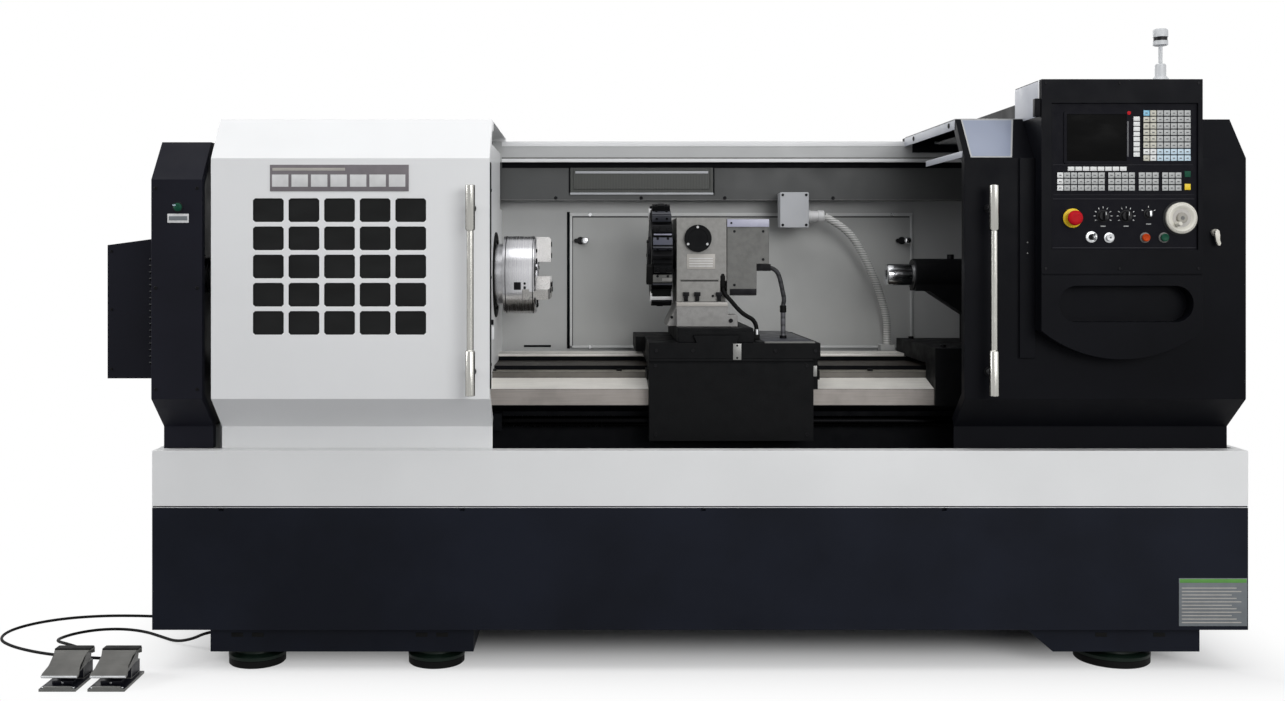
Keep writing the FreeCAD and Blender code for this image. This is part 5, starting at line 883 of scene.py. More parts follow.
@dataclass(frozen=True)
class Zone:
    """Faces of a softened copy with a finish of their own: those in a box that look its way."""

    finish: Finish
    low: Point
    high: Point
    normal: Point = (0, 0, 0)

    def holds(self, face: bmesh.types.BMFace) -> bool:
        """Tell whether a face lies in the zone.

        Args:
            face: Face of the copy.

        Returns:
            True if its middle is in the box and its normal agrees.
        """
        middle = face.calc_center_median() / MM
        inside = all(low <= value <= high for low, value, high in zip(self.low, middle, self.high))
        return inside and face.normal.dot(Vector(self.normal)) > (FACING if any(self.normal) else -1.0)


class Dresser:
    """Gives CAD nodes their finishes, or replaces them by copies with broken edges."""

    def __init__(self, frame: dict) -> None:
        """Keep the nodes, their bodies and their material slots.
        """
        self.nodes = frame["nodes"]
        groups = frame["record"]["behaviour"]["bodies"]
        self.bodies = {node: body for body, nodes in groups.items() for node in nodes}
        self.slots = {entry["node"]: entry["material_slot"] for entry in frame["record"]["subparts"]}

    def paint(self, finish: Finish, *names: str) -> None:
        """Give nodes a finish.

        Args:
            finish: The finish.
            *names: Nodes that take it.
        """
        for name in names:
            materials = self.nodes[name].data.materials
            materials.clear()
            materials.append(finish.build())

    def soften(self, name: str, finish: Finish, width: float, *zones: Zone) -> None:
        """Replace a node by a copy whose sharp edges are rounded.

        Args:
            name: Node to replace.
            finish: Finish of the copy.
            width: Width of the rounding.
            *zones: Parts with a finish of their own; the last that holds a face wins.
        """
        part = bmesh.new()
        part.from_mesh(self.nodes[name].data)
        bmesh.ops.remove_doubles(part, verts=part.verts, dist=WELD_DISTANCE)
        bmesh.ops.dissolve_limit(part, angle_limit=FLAT_ANGLE, verts=part.verts, edges=part.edges)
        sharp = sharp_edges(part, SOFT_BEVEL_ANGLE)
        bmesh.ops.recalc_face_normals(part, faces=part.faces)
        for face, (number, zone) in product(part.faces, enumerate(zones, start=1)):
            if zone.holds(face):
                face.material_index = number
        bmesh.ops.bevel(part, geom=sharp, offset=width * MM, segments=2, profile=0.5, affect="EDGES",
                        clamp_overlap=False, loop_slide=True)
        bmesh.ops.recalc_face_normals(part, faces=part.faces)
        for face in part.faces:
            face.smooth = True
        data = bpy.data.meshes.new(f"{name}_soft")
        part.to_mesh(data)
        part.free()
        for look in (finish, *(zone.finish for zone in zones)):
            data.materials.append(look.build())
        data.set_sharp_from_angle(angle=SOFT_SHADE_ANGLE)
        piece = settle(data.name, data, self.bodies[name], self.slots[name], (name,))
        piece.modifiers.new("flat_faces", "WEIGHTED_NORMAL").keep_sharp = True


# --------------------------------------------------------------------------- studio


@dataclass
class Studio:
    """Camera, lamps, floor and background of the photograph, in metres."""

    image: tuple[int, int] = (1285, 701)
    vanishing_point: Pair = (590.0, 255.0)
    focal_px: float = 1294.0
    sensor_width: float = 36.0
    eye: Point = (-0.190, -4.295, 1.214)
    # Each lamp's name, place, target, width and height, and power in watts.
    lamps: tuple[tuple[str, Point, Point, Pair, float], ...] = (
        ("top_box", (-0.3, -1.6, 4.6), (-0.1, -0.2, 0.9), (5.6, 2.0), 72.0),
        ("front_box", (2.3, -5.3, 2.5), (-0.3, -0.3, 1.0), (3.6, 2.2), 142.0),
        ("right_box", (4.4, -2.8, 2.2), (0.6, -0.3, 1.0), (2.0, 2.4), 16.0),
        ("left_box", (-5.0, -0.9, 2.4), (1.0, -0.4, 1.6), (1.6, 1.6), 110.0),
        ("rear_box", (0.0, 4.4, 3.2), (0.0, 0.4, 0.9), (5.0, 2.2), 80.0))
    floor_half: float = 16.0
    floor_grey: tuple[float, ...] = (0.30, 0.30, 0.31, 1.0)
    # Middle and half width of the machine's footprint along each axis, and the distances outside it
    # between which the floor turns white.
    footprint: tuple[tuple[str, float, float], ...] = (("X", 0.13, 1.6), ("Y", 0.0, 0.56))
    fade: Pair = (-0.42, 0.30)
    ambient_color: tuple[float, ...] = (0.93, 0.95, 1.0, 1.0)
    ambient_strength: float = 0.32
    white: tuple[float, ...] = (1.0, 1.0, 1.0, 1.0)

    def build(self) -> None:
        """Make the camera, the lamps, the floor and the world."""
        self.make_camera()
        for lamp in self.lamps:
            self.make_lamp(*lamp)
        self.make_floor()
        self.make_world()

    def make_camera(self) -> None:
        """Place the camera level, looking along +Y, shifted to the photograph's frame."""
        data = bpy.data.cameras.new("photo_camera")
        width, height = self.image
        data.sensor_width = self.sensor_width
        data.lens = self.focal_px / width * self.sensor_width
        data.shift_x = (width / 2 - self.vanishing_point[0]) / width
        data.shift_y = (self.vanishing_point[1] - height / 2) / width
        data.clip_end = 60.0
        camera = bpy.data.objects.new("photo_camera", data)
        camera.location = self.eye
        camera.rotation_euler = (math.radians(90), 0.0, 0.0)
        bpy.context.scene.collection.objects.link(camera)
        bpy.context.scene.camera = camera

    @staticmethod
    def make_lamp(name: str, place: Point, target: Point, size: Pair, power: float) -> None:
        """Add a rectangular lamp that faces a target.

        Args:
            name: Name of the lamp.
            place: Where it stands.
            target: Point that it faces.
            size: Width and height.
            power: Power in watts.
        """
        data = bpy.data.lights.new(name, "AREA")
        data.shape = "RECTANGLE"
        data.size, data.size_y = size
        data.energy = power
        lamp = bpy.data.objects.new(name, data)
        lamp.location = place
        lamp.rotation_euler = (Vector(target) - Vector(place)).to_track_quat("-Z", "Y").to_euler()
        bpy.context.scene.collection.objects.link(lamp)

    def outside_footprint(self, graph: NodeGraph) -> Socket:
        """Return how far a place on the floor lies outside the machine's footprint.

        Args:
            graph: The floor's material.

        Returns:
            The distance, below zero within the footprint.
        """
        split = graph.add("SeparateXYZ", graph.place()).outputs
        beyond = []
        for axis, middle, half in self.footprint:
            distance = graph.calc("ABSOLUTE", graph.calc("SUBTRACT", split[axis], middle))
            beyond.append(graph.calc("SUBTRACT", distance, half))
        return graph.calc("MAXIMUM", *beyond)

    def make_floor(self) -> None:
        """Add the plain pale floor, which fades into the white backdrop around the machine."""
        floor = bpy.data.meshes.new("floor")
        half = self.floor_half
        corners = [(-half, -half, 0), (half, -half, 0), (half, half, 0), (-half, half, 0)]
        floor.from_pydata(corners, [], [(0, 1, 2, 3)])
        material = bpy.data.materials.new("floor_paper")
        graph = NodeGraph(material)
        seen = graph.seen()
        noise = graph.noise(1.5, 3.0, graph.place())
        paper = graph.ramp(noise, (1.0, 1.0, 1.0), (0.3, 0.84), (0.7, 0.86))
        graph.set(Base_Color=graph.mix(seen, self.floor_grey, paper), Roughness=0.9, Specular_IOR_Level=0.1)
        fade = graph.add("MapRange", interpolation_type="SMOOTHSTEP", Value=self.outside_footprint(graph),
                         From_Min=self.fade[0], From_Max=self.fade[1])
        share = graph.calc("MULTIPLY", fade.outputs["Result"], seen)
        white = graph.add("Emission", self.white, 1.0).outputs[0]
        surface = graph.add("MixShader", share, graph.shader.outputs[0], white).outputs[0]
        graph.feed(graph.tree.nodes["Material Output"].inputs["Surface"], surface)
        floor.materials.append(material)
        piece = bpy.data.objects.new("floor", floor)
        bpy.context.scene.collection.objects.link(piece)

    def make_world(self) -> None:
        """Make the background white where it is seen or mirrored, and pale grey as soft light."""
        world = bpy.data.worlds.new("studio")
        bpy.context.scene.world = world
        graph = NodeGraph(world)
        graph.tree.nodes.clear()
        ambient = graph.add("Background", self.ambient_color, self.ambient_strength).outputs[0]
        backdrop = graph.add("Background", self.white, 1.0).outputs[0]
        graph.add("OutputWorld", graph.add("MixShader", graph.seen(), ambient, backdrop).outputs[0])


# --------------------------------------------------------------------------- assemblies

# Y and Z of the spindle's and the turret disc's axes, and X and Z of the operator panel's corner.
SPINDLE = (-95, 1150)
DISC = (-135, 1213)
PANEL_CORNER = (1109, 1229)
UP = (0, 0, 1)
FRONT = (0, -1, 0)


@dataclass
class Assembly:
    """Base of the assemblies: nodes that are softened or painted, and the pieces added to them.

    Each softened row is a node, its finish, the width of its edges and its zones; each painted row
    is a finish and its nodes.
    """

    dresser: Dresser
    softened: tuple[tuple, ...] = ()
    painted: tuple[tuple, ...] = ()
    details: tuple[Piece | Hose, ...] = ()

    def build(self) -> None:
        """Dress the nodes and add the pieces."""
        for row in self.softened:
            self.dresser.soften(*row)
        for row in self.painted:
            self.dresser.paint(*row)
        for piece in (*self.details, *self.repeated()):
            piece.build()

    def repeated(self) -> Iterable[Piece | Hose]:
        """Return the pieces whose solids repeat."""
        return ()


@dataclass
class Pedals(Assembly):
    """Foot pedals and their cables."""

    softened: tuple[tuple, ...] = (
        ("pedal_bases", Look.PEDAL, 1.2, Zone(Look.PEDAL_DARK, (-1800, -692, 7), (-1400, -480, 100))),
        ("pedal_tread_left", Look.TREAD, 1.0), ("pedal_tread_right", Look.TREAD, 1.0))
    diameter: float = 9
    left_length: float = 1050
    left_route: tuple[Point, ...] = (
        (-1318, -340, 66), (-1362, -337, 60), (-1412, -319, 34), (-1478, -268, 11), (-1546, -196, 4.5),
        (-1618, -138, 4.5), (-1700, -108, 4.5), (-1778, -116, 4.5), (-1836, -158, 4.5), (-1858, -228, 9),
        (-1836, -298, 21), (-1784, -356, 31), (-1724, -404, 33), (-1680, -452, 26), (-1671, -494, 18),
        (-1671, -524, 17))
    right_length: float = 1546
    right_route: tuple[Point, ...] = (
        (-1318, -20, 66), (-1372, -16, 58), (-1436, 0, 32), (-1524, 18, 8), (-1620, 34, 4.5),
        (-1724, 45, 4.5), (-1832, 42, 4.5), (-1938, 12, 4.5), (-2020, -50, 4.5), (-2062, -132, 4.5),
        (-2050, -222, 4.5), (-1985, -290, 4.5), (-1898, -345, 4.5), (-1806, -383, 4.5), (-1712, -405, 4.5),
        (-1628, -418, 4.5), (-1568, -448, 8), (-1535, -486, 14), (-1535, -524, 17))
    centres: tuple[tuple[Body, float], ...] = ((Body.LEFT_PEDAL, -1671), (Body.RIGHT_PEDAL, -1535))

    def repeated(self) -> Iterable[Piece | Hose]:
        """Make the cables, and each pedal's rim, mat and switch.

        Yields:
            The pieces.
        """
        for side, route, length in (("left", self.left_route, self.left_length),
                                    ("right", self.right_route, self.right_length)):
            name = f"pedal_cable_{side}"
            yield PedalCable(f"{name}_line", Body.MACHINE, "rubber", route, self.diameter, Look.RUBBER,
                             (name,), length)
        for body, x in self.centres:
            side = body.value.split("_")[1]
            yield Piece(f"tread_rim_{side}", body, "pedal_grey", (
                rod(X, (-684.5, 36.5), x - 50, x + 50, 3.4, Look.ZINC, 1.0),
                Box((x - 51, x + 51), (-592, -560), (84, 87.5), Look.RUBBER, 1.0),
                Box((x - 47, x + 47), (-561, -557.5), (66, 87), Look.RUBBER, 1.0)))
            yield Piece(f"pedal_switch_{side}", Body.MACHINE, "rubber", (
                Box((x - 30, x + 30), (-662, -640), (8, 18), Look.PEDAL_DARK, 2.0),
                rod(Y, (x, 13), -664.5, -662, 3, Look.ZINC),
                *screws(Z, ((x - 42, -690), (x + 42, -690)), 8, 2.5, 4.5, Look.ZINC)))


@dataclass
class BaseAndTray(Assembly):
    """Base, tray and feet."""

    softened: tuple[tuple, ...] = (("base_frame", Look.BASE, 1.5), ("chip_tray", Look.TRAY, 1.2))
    details: tuple[Piece, ...] = (
        Piece("plinth_slots", Body.MACHINE, "base_black", [
            Box((x, x + 34), (-506, -504.4), (96, 108), Look.RUBBER, 0.4)
            for x in (-1240, -1180, -700, -640, 1290, 1460)]),
        Piece("tray_hem", Body.MACHINE, "white_sheet", (
            Box((-1460, 1720), (-536, -534.8), (481.5, 484.5), Look.IRON_BLACK, 0.3),)))
    # Middle of each plinth's feet, their radius, and how far they stand from that middle.
    feet: tuple[Point, ...] = ((-916.5, 84, 267.9), (1381, 110, 0))
    plate_lines: int = 11

    def repeated(self) -> Iterable[Piece]:
        """Make the feet and the plate with its plain lines.

        Yields:
            The pieces.
        """
        solids = []
        for centre, radius, spread in self.feet:
            neck = 0.8 * radius
            for foot in product(sorted({centre - spread, centre + spread}), (-505 + radius, 535 - radius)):
                solids.append(Turned(Z, foot, (
                    (0, 0), (0, radius - 4), (3, radius - 1), (20, radius - 1), (24, radius - 5)),
                    Look.RUBBER, 64))
                solids.append(Turned(Z, foot, (
                    (22, 0), (22, radius), (31, radius), (34, radius - 3), (38, neck + 2), (41, neck),
                    (52, neck), (52, 0)), Look.FOOT, 64))
        yield Piece("vibration_mounts", Body.MACHINE, "foot_green", solids, ("levelling_feet",))
        yield Piece("base_plate", Body.MACHINE, "white_plastic", (
            Box((1521, 1719), (-536.4, -535), (136, 275), Look.PLATE, 0.4),
            Box((1523, 1717), (-536.9, -536.4), (262, 273), Look.PLATE_GREEN, 0.1),
            *(Box((1529, 1702 - 14 * (line % 3)), (-536.7, -536.4), (145 + 10 * line, 148 + 10 * line),
                  Look.PLATE_DULL, 0.1) for line in range(self.plate_lines))))


@dataclass
class Covers(Assembly):
    """End cover, vent cover, rear wall with its lamp and box, and the cabinet."""

    softened: tuple[tuple, ...] = (
        ("end_cover", Look.END_BLACK, 1.2),
        ("tailstock_guard", Look.WHITE, 0.8,
         # Painted shade: the guard's faces behind the right door are black for the shade there.
         Zone(Look.CAST_BLACK, (900, -412.9, 500), (1699, 300, 1590))),
        ("rear_wall", Look.WALL, 1.0,
         # Painted shade: the upper wall panel under the beam is dark grey.
         Zone(Look.SHADE_AND_HIGHLIGHT_GREY, (-1400, 100, 1398), (1800, 250, 1530)),
         Zone(Look.BEAM, (-1400, 90, 1535), (1800, 250, 1610))),
        ("junction_box", Look.BOX_GREY, 1.2, Zone(Look.ZINC, (544.5, 0, 1300), (620, 130, 1400))),
        ("electrical_cabinet", Look.WHITE, 1.2))
    painted: tuple[tuple, ...] = (
        (Look.END_BLACK, "vent_cover"), (Look.PANEL_WALL, "rear_access_panel"), (Look.LAMP, "work_lamp"),
        (Look.BLACK_PLASTIC, "panel_latch_left", "panel_latch_right"))
    details: tuple[Piece | Hose, ...] = (
        Hose("conduit_hose", Body.MACHINE, "hose_grey", (
            (603, 90, 1345), (681, 94, 1307), (745, 112, 1210), (798, 135, 1100), (831, 158, 1000),
            (835, 172, 953), (835, 172, 905)), 25, Look.HOSE, ("conduit",)),
        Piece("power_lamp", Body.MACHINE, "green_plastic", (
            Turned(Y, (-1368, 1351), (
                (-595, 0), (-595, 12), (-599, 12), (-601, 11), (-603, 7), (-603.5, 0)), Look.GREEN),
            rod(Y, (-1368, 1351), -598, -595, 15, Look.BLACK_PLASTIC),
            # Painted highlight: a pale-blue glint on the green lens.
            Box((-1381, -1372), (-604.5, -602), (1354, 1358), Look.KEY_PALE, 1.0))),
        Piece("lamp_plate", Body.MACHINE, "white_plastic", (
            Box((-1398, -1337), (-596.2, -595), (1306, 1332), Look.PLATE_WHITE, 0.5),
            Box((-1394, -1341), (-596.6, -596.2), (1313, 1325), Look.PLATE, 0.2))),
        Piece("end_cover_screws", Body.MACHINE, "black_sheet",
              screws(Y, product((-1432, -1313), (830, 1120, 1405)), -595, -2, 5)),
        Piece("access_panel_rim", Body.MACHINE, "wall_grey", (
            Box((-260, 930), (199, 202), (1349, 1360), Look.PANEL_RIM),
            Box((-260, -252), (199, 202), (891, 1349), Look.PANEL_RIM),
            Box((922, 930), (199, 202), (891, 1349), Look.PANEL_RIM),
            Box((-260, 930), (199, 202), (891, 899), Look.PANEL_RIM),
            # Painted shadow: dark strips along the panel's inner left edge and under its top rim, and a
            # black strip outside its left rim.
            Box((-252, -249), (200.6, 202), (899, 1349), Look.SHADE_AND_HIGHLIGHT_GREY, 0.3),
            Box((-270, -260.2), (203, 205), (889, 1364), Look.IRON_BLACK, 0.3),
            Box((-250, 920), (200.6, 202), (1344, 1349), Look.SHADE_AND_HIGHLIGHT_GREY, 0.3),
            Box((-420, -326), (203.8, 205), (894, 901), Look.IRON_BLACK, 0.3),
            *screws(Y, product((-190, 860), (1354.5, 895)), 199, -3, 7, Look.ZINC))),
        Piece("beam_highlight_and_shade_lines", Body.MACHINE, "wall_grey", (
            # Painted light: pale highlight strips on the beam's top and lower edges, and a black band under
            # the beam as its painted shadow.
            Box((-490, 1690), (103.6, 105), (1583, 1599), Look.EDGE_HIGHLIGHT, 0.3),
            Box((-490, 1690), (104.2, 105), (1541, 1546), Look.CAST_DARK, 0.3),
            Box((-490, 1690), (103, 105), (1530, 1541), Look.EDGE_HIGHLIGHT, 0.3),
            Box((-490, 1690), (123.6, 125), (1511, 1529), Look.IRON_BLACK, 0.3))),
        Piece("lamp_frame", Body.MACHINE, "wall_grey", (
            Box((-262, 235), (121.5, 125), (1512, 1519), Look.IRON_BLACK),
            Box((-262, -257), (121.5, 125), (1420, 1512), Look.IRON_BLACK),
            Box((230, 235), (121.5, 125), (1420, 1512), Look.IRON_BLACK),
            Box((-262, 235), (121.5, 125), (1420, 1427), Look.BOX_GREY),
            Box((-240, 213), (118, 119), (1492, 1500), Look.BOX_GREY, 0.3),
            *screws(Y, product((-307, -15, 270, 640), (1408.5,)), 125, -2.5, 6))),
        Piece("box_screws", Body.MACHINE, "cast_paint", (
            *screws(Y, product((458, 537), (1315, 1416)), 55, -2.4, 4.6),
            Turned(X, (90, 1345), (
                (546, 0), (546, 21), (556, 21), (557, 18.5), (580, 17.8), (582, 20), (601, 20), (603, 17),
                (603, 0)), Look.PLATE_WHITE, 36))))
    # Number of louvres, height of the top one, and the step down to the next.
    louvres: int = 17
    louvre_top: float = 1199
    louvre_pitch: float = 19.5
    latches: tuple[tuple[str, Body, float], ...] = (
        ("left", Body.LEFT_LATCH, -223), ("right", Body.RIGHT_LATCH, 893))
    cabinet_left: float = -390
    cabinet_door: float = 563.3
    grille_rows: int = 9

    def repeated(self) -> Iterable[Piece]:
        """Make the louvres' blades, the latches' knobs and the cabinet's fittings.

        Yields:
            The pieces.
        """
        blades = []
        for number in range(self.louvres):
            z = self.louvre_top - self.louvre_pitch * number
            # Painted light: a black strip in each slot for its shade, and pale grey blades as a painted
            # highlight on the lit louvres.
            blades.append(Box((-1516.5, -1452.5), (-391.4, -391), (z - 3, z + 3), Look.IRON_BLACK, 0.0))
            blades.append(Prism(X, (
                (-394.6, z + 5), (-397.8, z + 3.2), (-397.8, z + 2), (-394.6, z + 2.6)),
                -1518, -1451, Look.SHADE_AND_HIGHLIGHT_GREY, 0.2))
        blades += screws(Y, product((-1632,), (870, 1050, 1225)), -395, -2, 4)
        yield Piece("louvre_blades", Body.MACHINE, "black_sheet", blades)
        for side, body, x in self.latches:
            yield Piece(f"latch_knob_{side}", body, "black_plastic", (Turned(Y, (x + 16, 1264), (
                (190.5, 0), (190.5, 6), (186, 6), (183, 11), (176, 12), (171, 9), (169, 0)),
                Look.CHROME, 28),))
        fittings = []
        for number in range(3):
            x = self.cabinet_left + self.cabinet_door * number
            fittings += screws(Y, ((x + 510, 1195),), 700, 3, 6, Look.ZINC)
            fittings += [rod(Z, (x + 3, 691), z - 35, z + 35, 6, Look.BOLT) for z in (760, 1420)]
        for x in (-380, 1290):
            fittings.append(Turned(Z, (x, 420), (
                (1560, 0), (1560, 22), (1566, 22), (1568, 10), (1580, 10), (1580, 0)), Look.ZINC, 32))
        for row, x in product(range(self.grille_rows), ((1329.5, 1332), (-422, -419.5))):
            z = 1300 - 14 * row
            fittings.append(Box(x, (330, 520), (z, z + 6), Look.BOLT, 0.3))
        yield Piece("cabinet_fittings", Body.MACHINE, "black_plastic", fittings)


@dataclass
class Headstock(Assembly):
    """Headstock, its guard, spindle, chuck, motor and belt drive."""

    softened: tuple[tuple, ...] = (
        ("headstock_guard", Look.WHITE, 0.8), ("headstock_housing", Look.CAST_GREY, 2.0),
        ("main_motor", Look.CAST_DARK, 1.5), ("jaw_1", Look.STEEL, 1.2), ("jaw_2", Look.STEEL, 1.2),
        ("jaw_3", Look.STEEL, 1.2))
    painted: tuple[tuple, ...] = (
        (Look.CHUCK, "spindle", "chuck_body", "motor_pulley"), (Look.RUBBER, "drive_belt"))
    details: tuple[Piece, ...] = (
        Piece("nose_seal", Body.MACHINE, "rubber", (Turned(X, SPINDLE, (
            (-496, 112), (-496, 138), (-493, 138), (-491.5, 135), (-491.5, 112)), Look.RUBBER, 64),)),
        Piece("jamb_fittings", Body.MACHINE, "white_sheet", (
            Box((-496, -478), (-414, -398), (960, 1000), Look.WHITE, 1.5),
            rod(X, (-406, 1012), -496, -480, 8, Look.BLACK_PLASTIC),
            *screws(X, product((-404,), (1300, 1395, 1480)), -496, 3, 5))))
    # Places of the chuck's rings along the spindle.
    groove_places: Pair = (-458, -372)
    # Angle past each jaw, distance from the axis and head radius of the chuck's face screws.
    face_screws: tuple[Point, ...] = ((60, 88, 9), (42, 104, 6), (78, 104, 6))
    # Distances of a top jaw's screws from the spindle's axis.
    jaw_screws: Pair = (62, 98)

    def repeated(self) -> Iterable[Piece]:
        """Make the chuck's rings, face screws and key sockets, and the top jaws' screws.

        Yields:
            The pieces.
        """
        solids = [Turned(X, SPINDLE, (
            (x - 1.2, 124), (x - 1.2, 125.4), (x + 1.2, 125.4), (x + 1.2, 124)), Look.BOLT, 72)
            for x in self.groove_places]
        for number, (shift, radius, head) in product(range(3), self.face_screws):
            solids += screws(X, (around(SPINDLE, radius, 120 * number + shift),), -362, 4, head)
        yield Piece("chuck_trim", Body.SPINDLE, "bright_steel", (
            *solids,
            Turned(X, SPINDLE, ((-362, 39), (-362, 50), (-359, 50), (-358, 47), (-358, 39)),
                   Look.CHUCK, 48),
            Box((-430, -408), (-221.5, -216), (1104, 1128), Look.BOLT, 2.0),
            *screws(Y, product((-396,), (1110, 1124)), -216.5, -3, 4)))
        for number, body in enumerate((Body.JAW_1, Body.JAW_2, Body.JAW_3)):
            places = [around(SPINDLE, radius, 120 * number) for radius in self.jaw_screws]
            yield Piece(f"jaw_{number + 1}_screws", body, "bright_steel", screws(X, places, -316.2, 3, 8.5))


@dataclass
class BedAndCarriage(Assembly):
    """Bed, ball screw, saddle, apron, cross slide and tailstock."""

    softened: tuple[tuple, ...] = (
        ("bed", Look.IRON_BLACK, 0.8,
         # Painted shade: the trough between the ways is near-black, and the front faces of the strip and
         # the front way are darker copies of their ground metal.
         Zone(Look.TROUGH_SHADE, (-1300, -170, 850), (1700, 50, 870), UP),
         Zone(Look.WAYS_WORN, (-1300, -246, 840), (1700, -160, 852), UP),
         Zone(Look.STRIP_FACE_SHADE, (-1300, -246, 829), (1700, -244, 848.5), FRONT),
         Zone(Look.WAYS, (-1300, -350, 754), (1700, -240, 835), UP),
         Zone(Look.WAY_FACE_SHADE, (-1300, -346, 750), (1700, -344, 830), FRONT),
         Zone(Look.WAYS, (-1300, 30, 880), (1700, 150, 890), UP)),
        ("saddle", Look.CAST_BLACK, 1.5), ("apron", Look.CAST_BLACK, 1.5),
        ("cross_slide", Look.CAST_BLACK, 1.5), ("tailstock", Look.CAST_BLACK, 1.0))
    # The ball screw's near-black finish is painted shade.
    painted: tuple[tuple, ...] = ((Look.SCREW, "ball_screw"), (Look.CHROME, "quill"))
    details: tuple[Piece, ...] = (
        Piece("strip_bolts", Body.MACHINE, "ground_iron", (
            *screws(Z, [(-494.5 + 396.5 * number, -205) for number in range(6)], 848, 6, 9),
            Box((-496, 1600), (34.5, 36), (875, 884.4), Look.WAYS, 0.3))),
        Piece("saddle_trim", Body.CARRIAGE, "cast_black", (
            Box((337, 486), (-384, 158), (951.6, 953), Look.SLIDE_PLATE, 0.5),
            Box((337, 488), (-395.2, -384), (948, 953), Look.CAST_DARK),
            Box((241, 266), (-397, -395), (898, 947), Look.TAG, 0.6),
            *screws(Y, product((253.5,), (904, 941)), -397, -1.4, 3.2),
            Box((-17, -12), (-352, -238), (834, 862), Look.RUBBER, 1.0),
            Box((505, 510), (-352, -238), (834, 862), Look.RUBBER, 1.0),
            Box((483, 494), (-397, -380), (848, 880), Look.TAG, 1.0),
            *screws(Y, product((10, 120, 370, 490), (925,)), -395, -3, 6),
            *screws(Y, product((8, 464), (672, 880)), -395, -3, 6),
            Box((-12, 484), (-396, -395), (888, 889.5), Look.IRON_BLACK, 0.2))),
        Piece("tailstock_trim", Body.TAILSTOCK, "cast_black", (
            Turned(X, SPINDLE, ((854, 36), (854, 50), (858, 52), (858, 36)), Look.BOLT, 48),
            rod(Z, (980, -95), 1201, 1216, 11, Look.BOLT),
            *screws(Z, product((900, 1120, 1240), (-300, 100)), 930, 8, 9))),
        Piece("quill_rim", Body.QUILL, "chrome", (Turned(X, SPINDLE, (
            (771.5, 17), (771.5, 33), (774, 35.2), (790, 35.4), (790, 17)), Look.CHROME, 48),)))


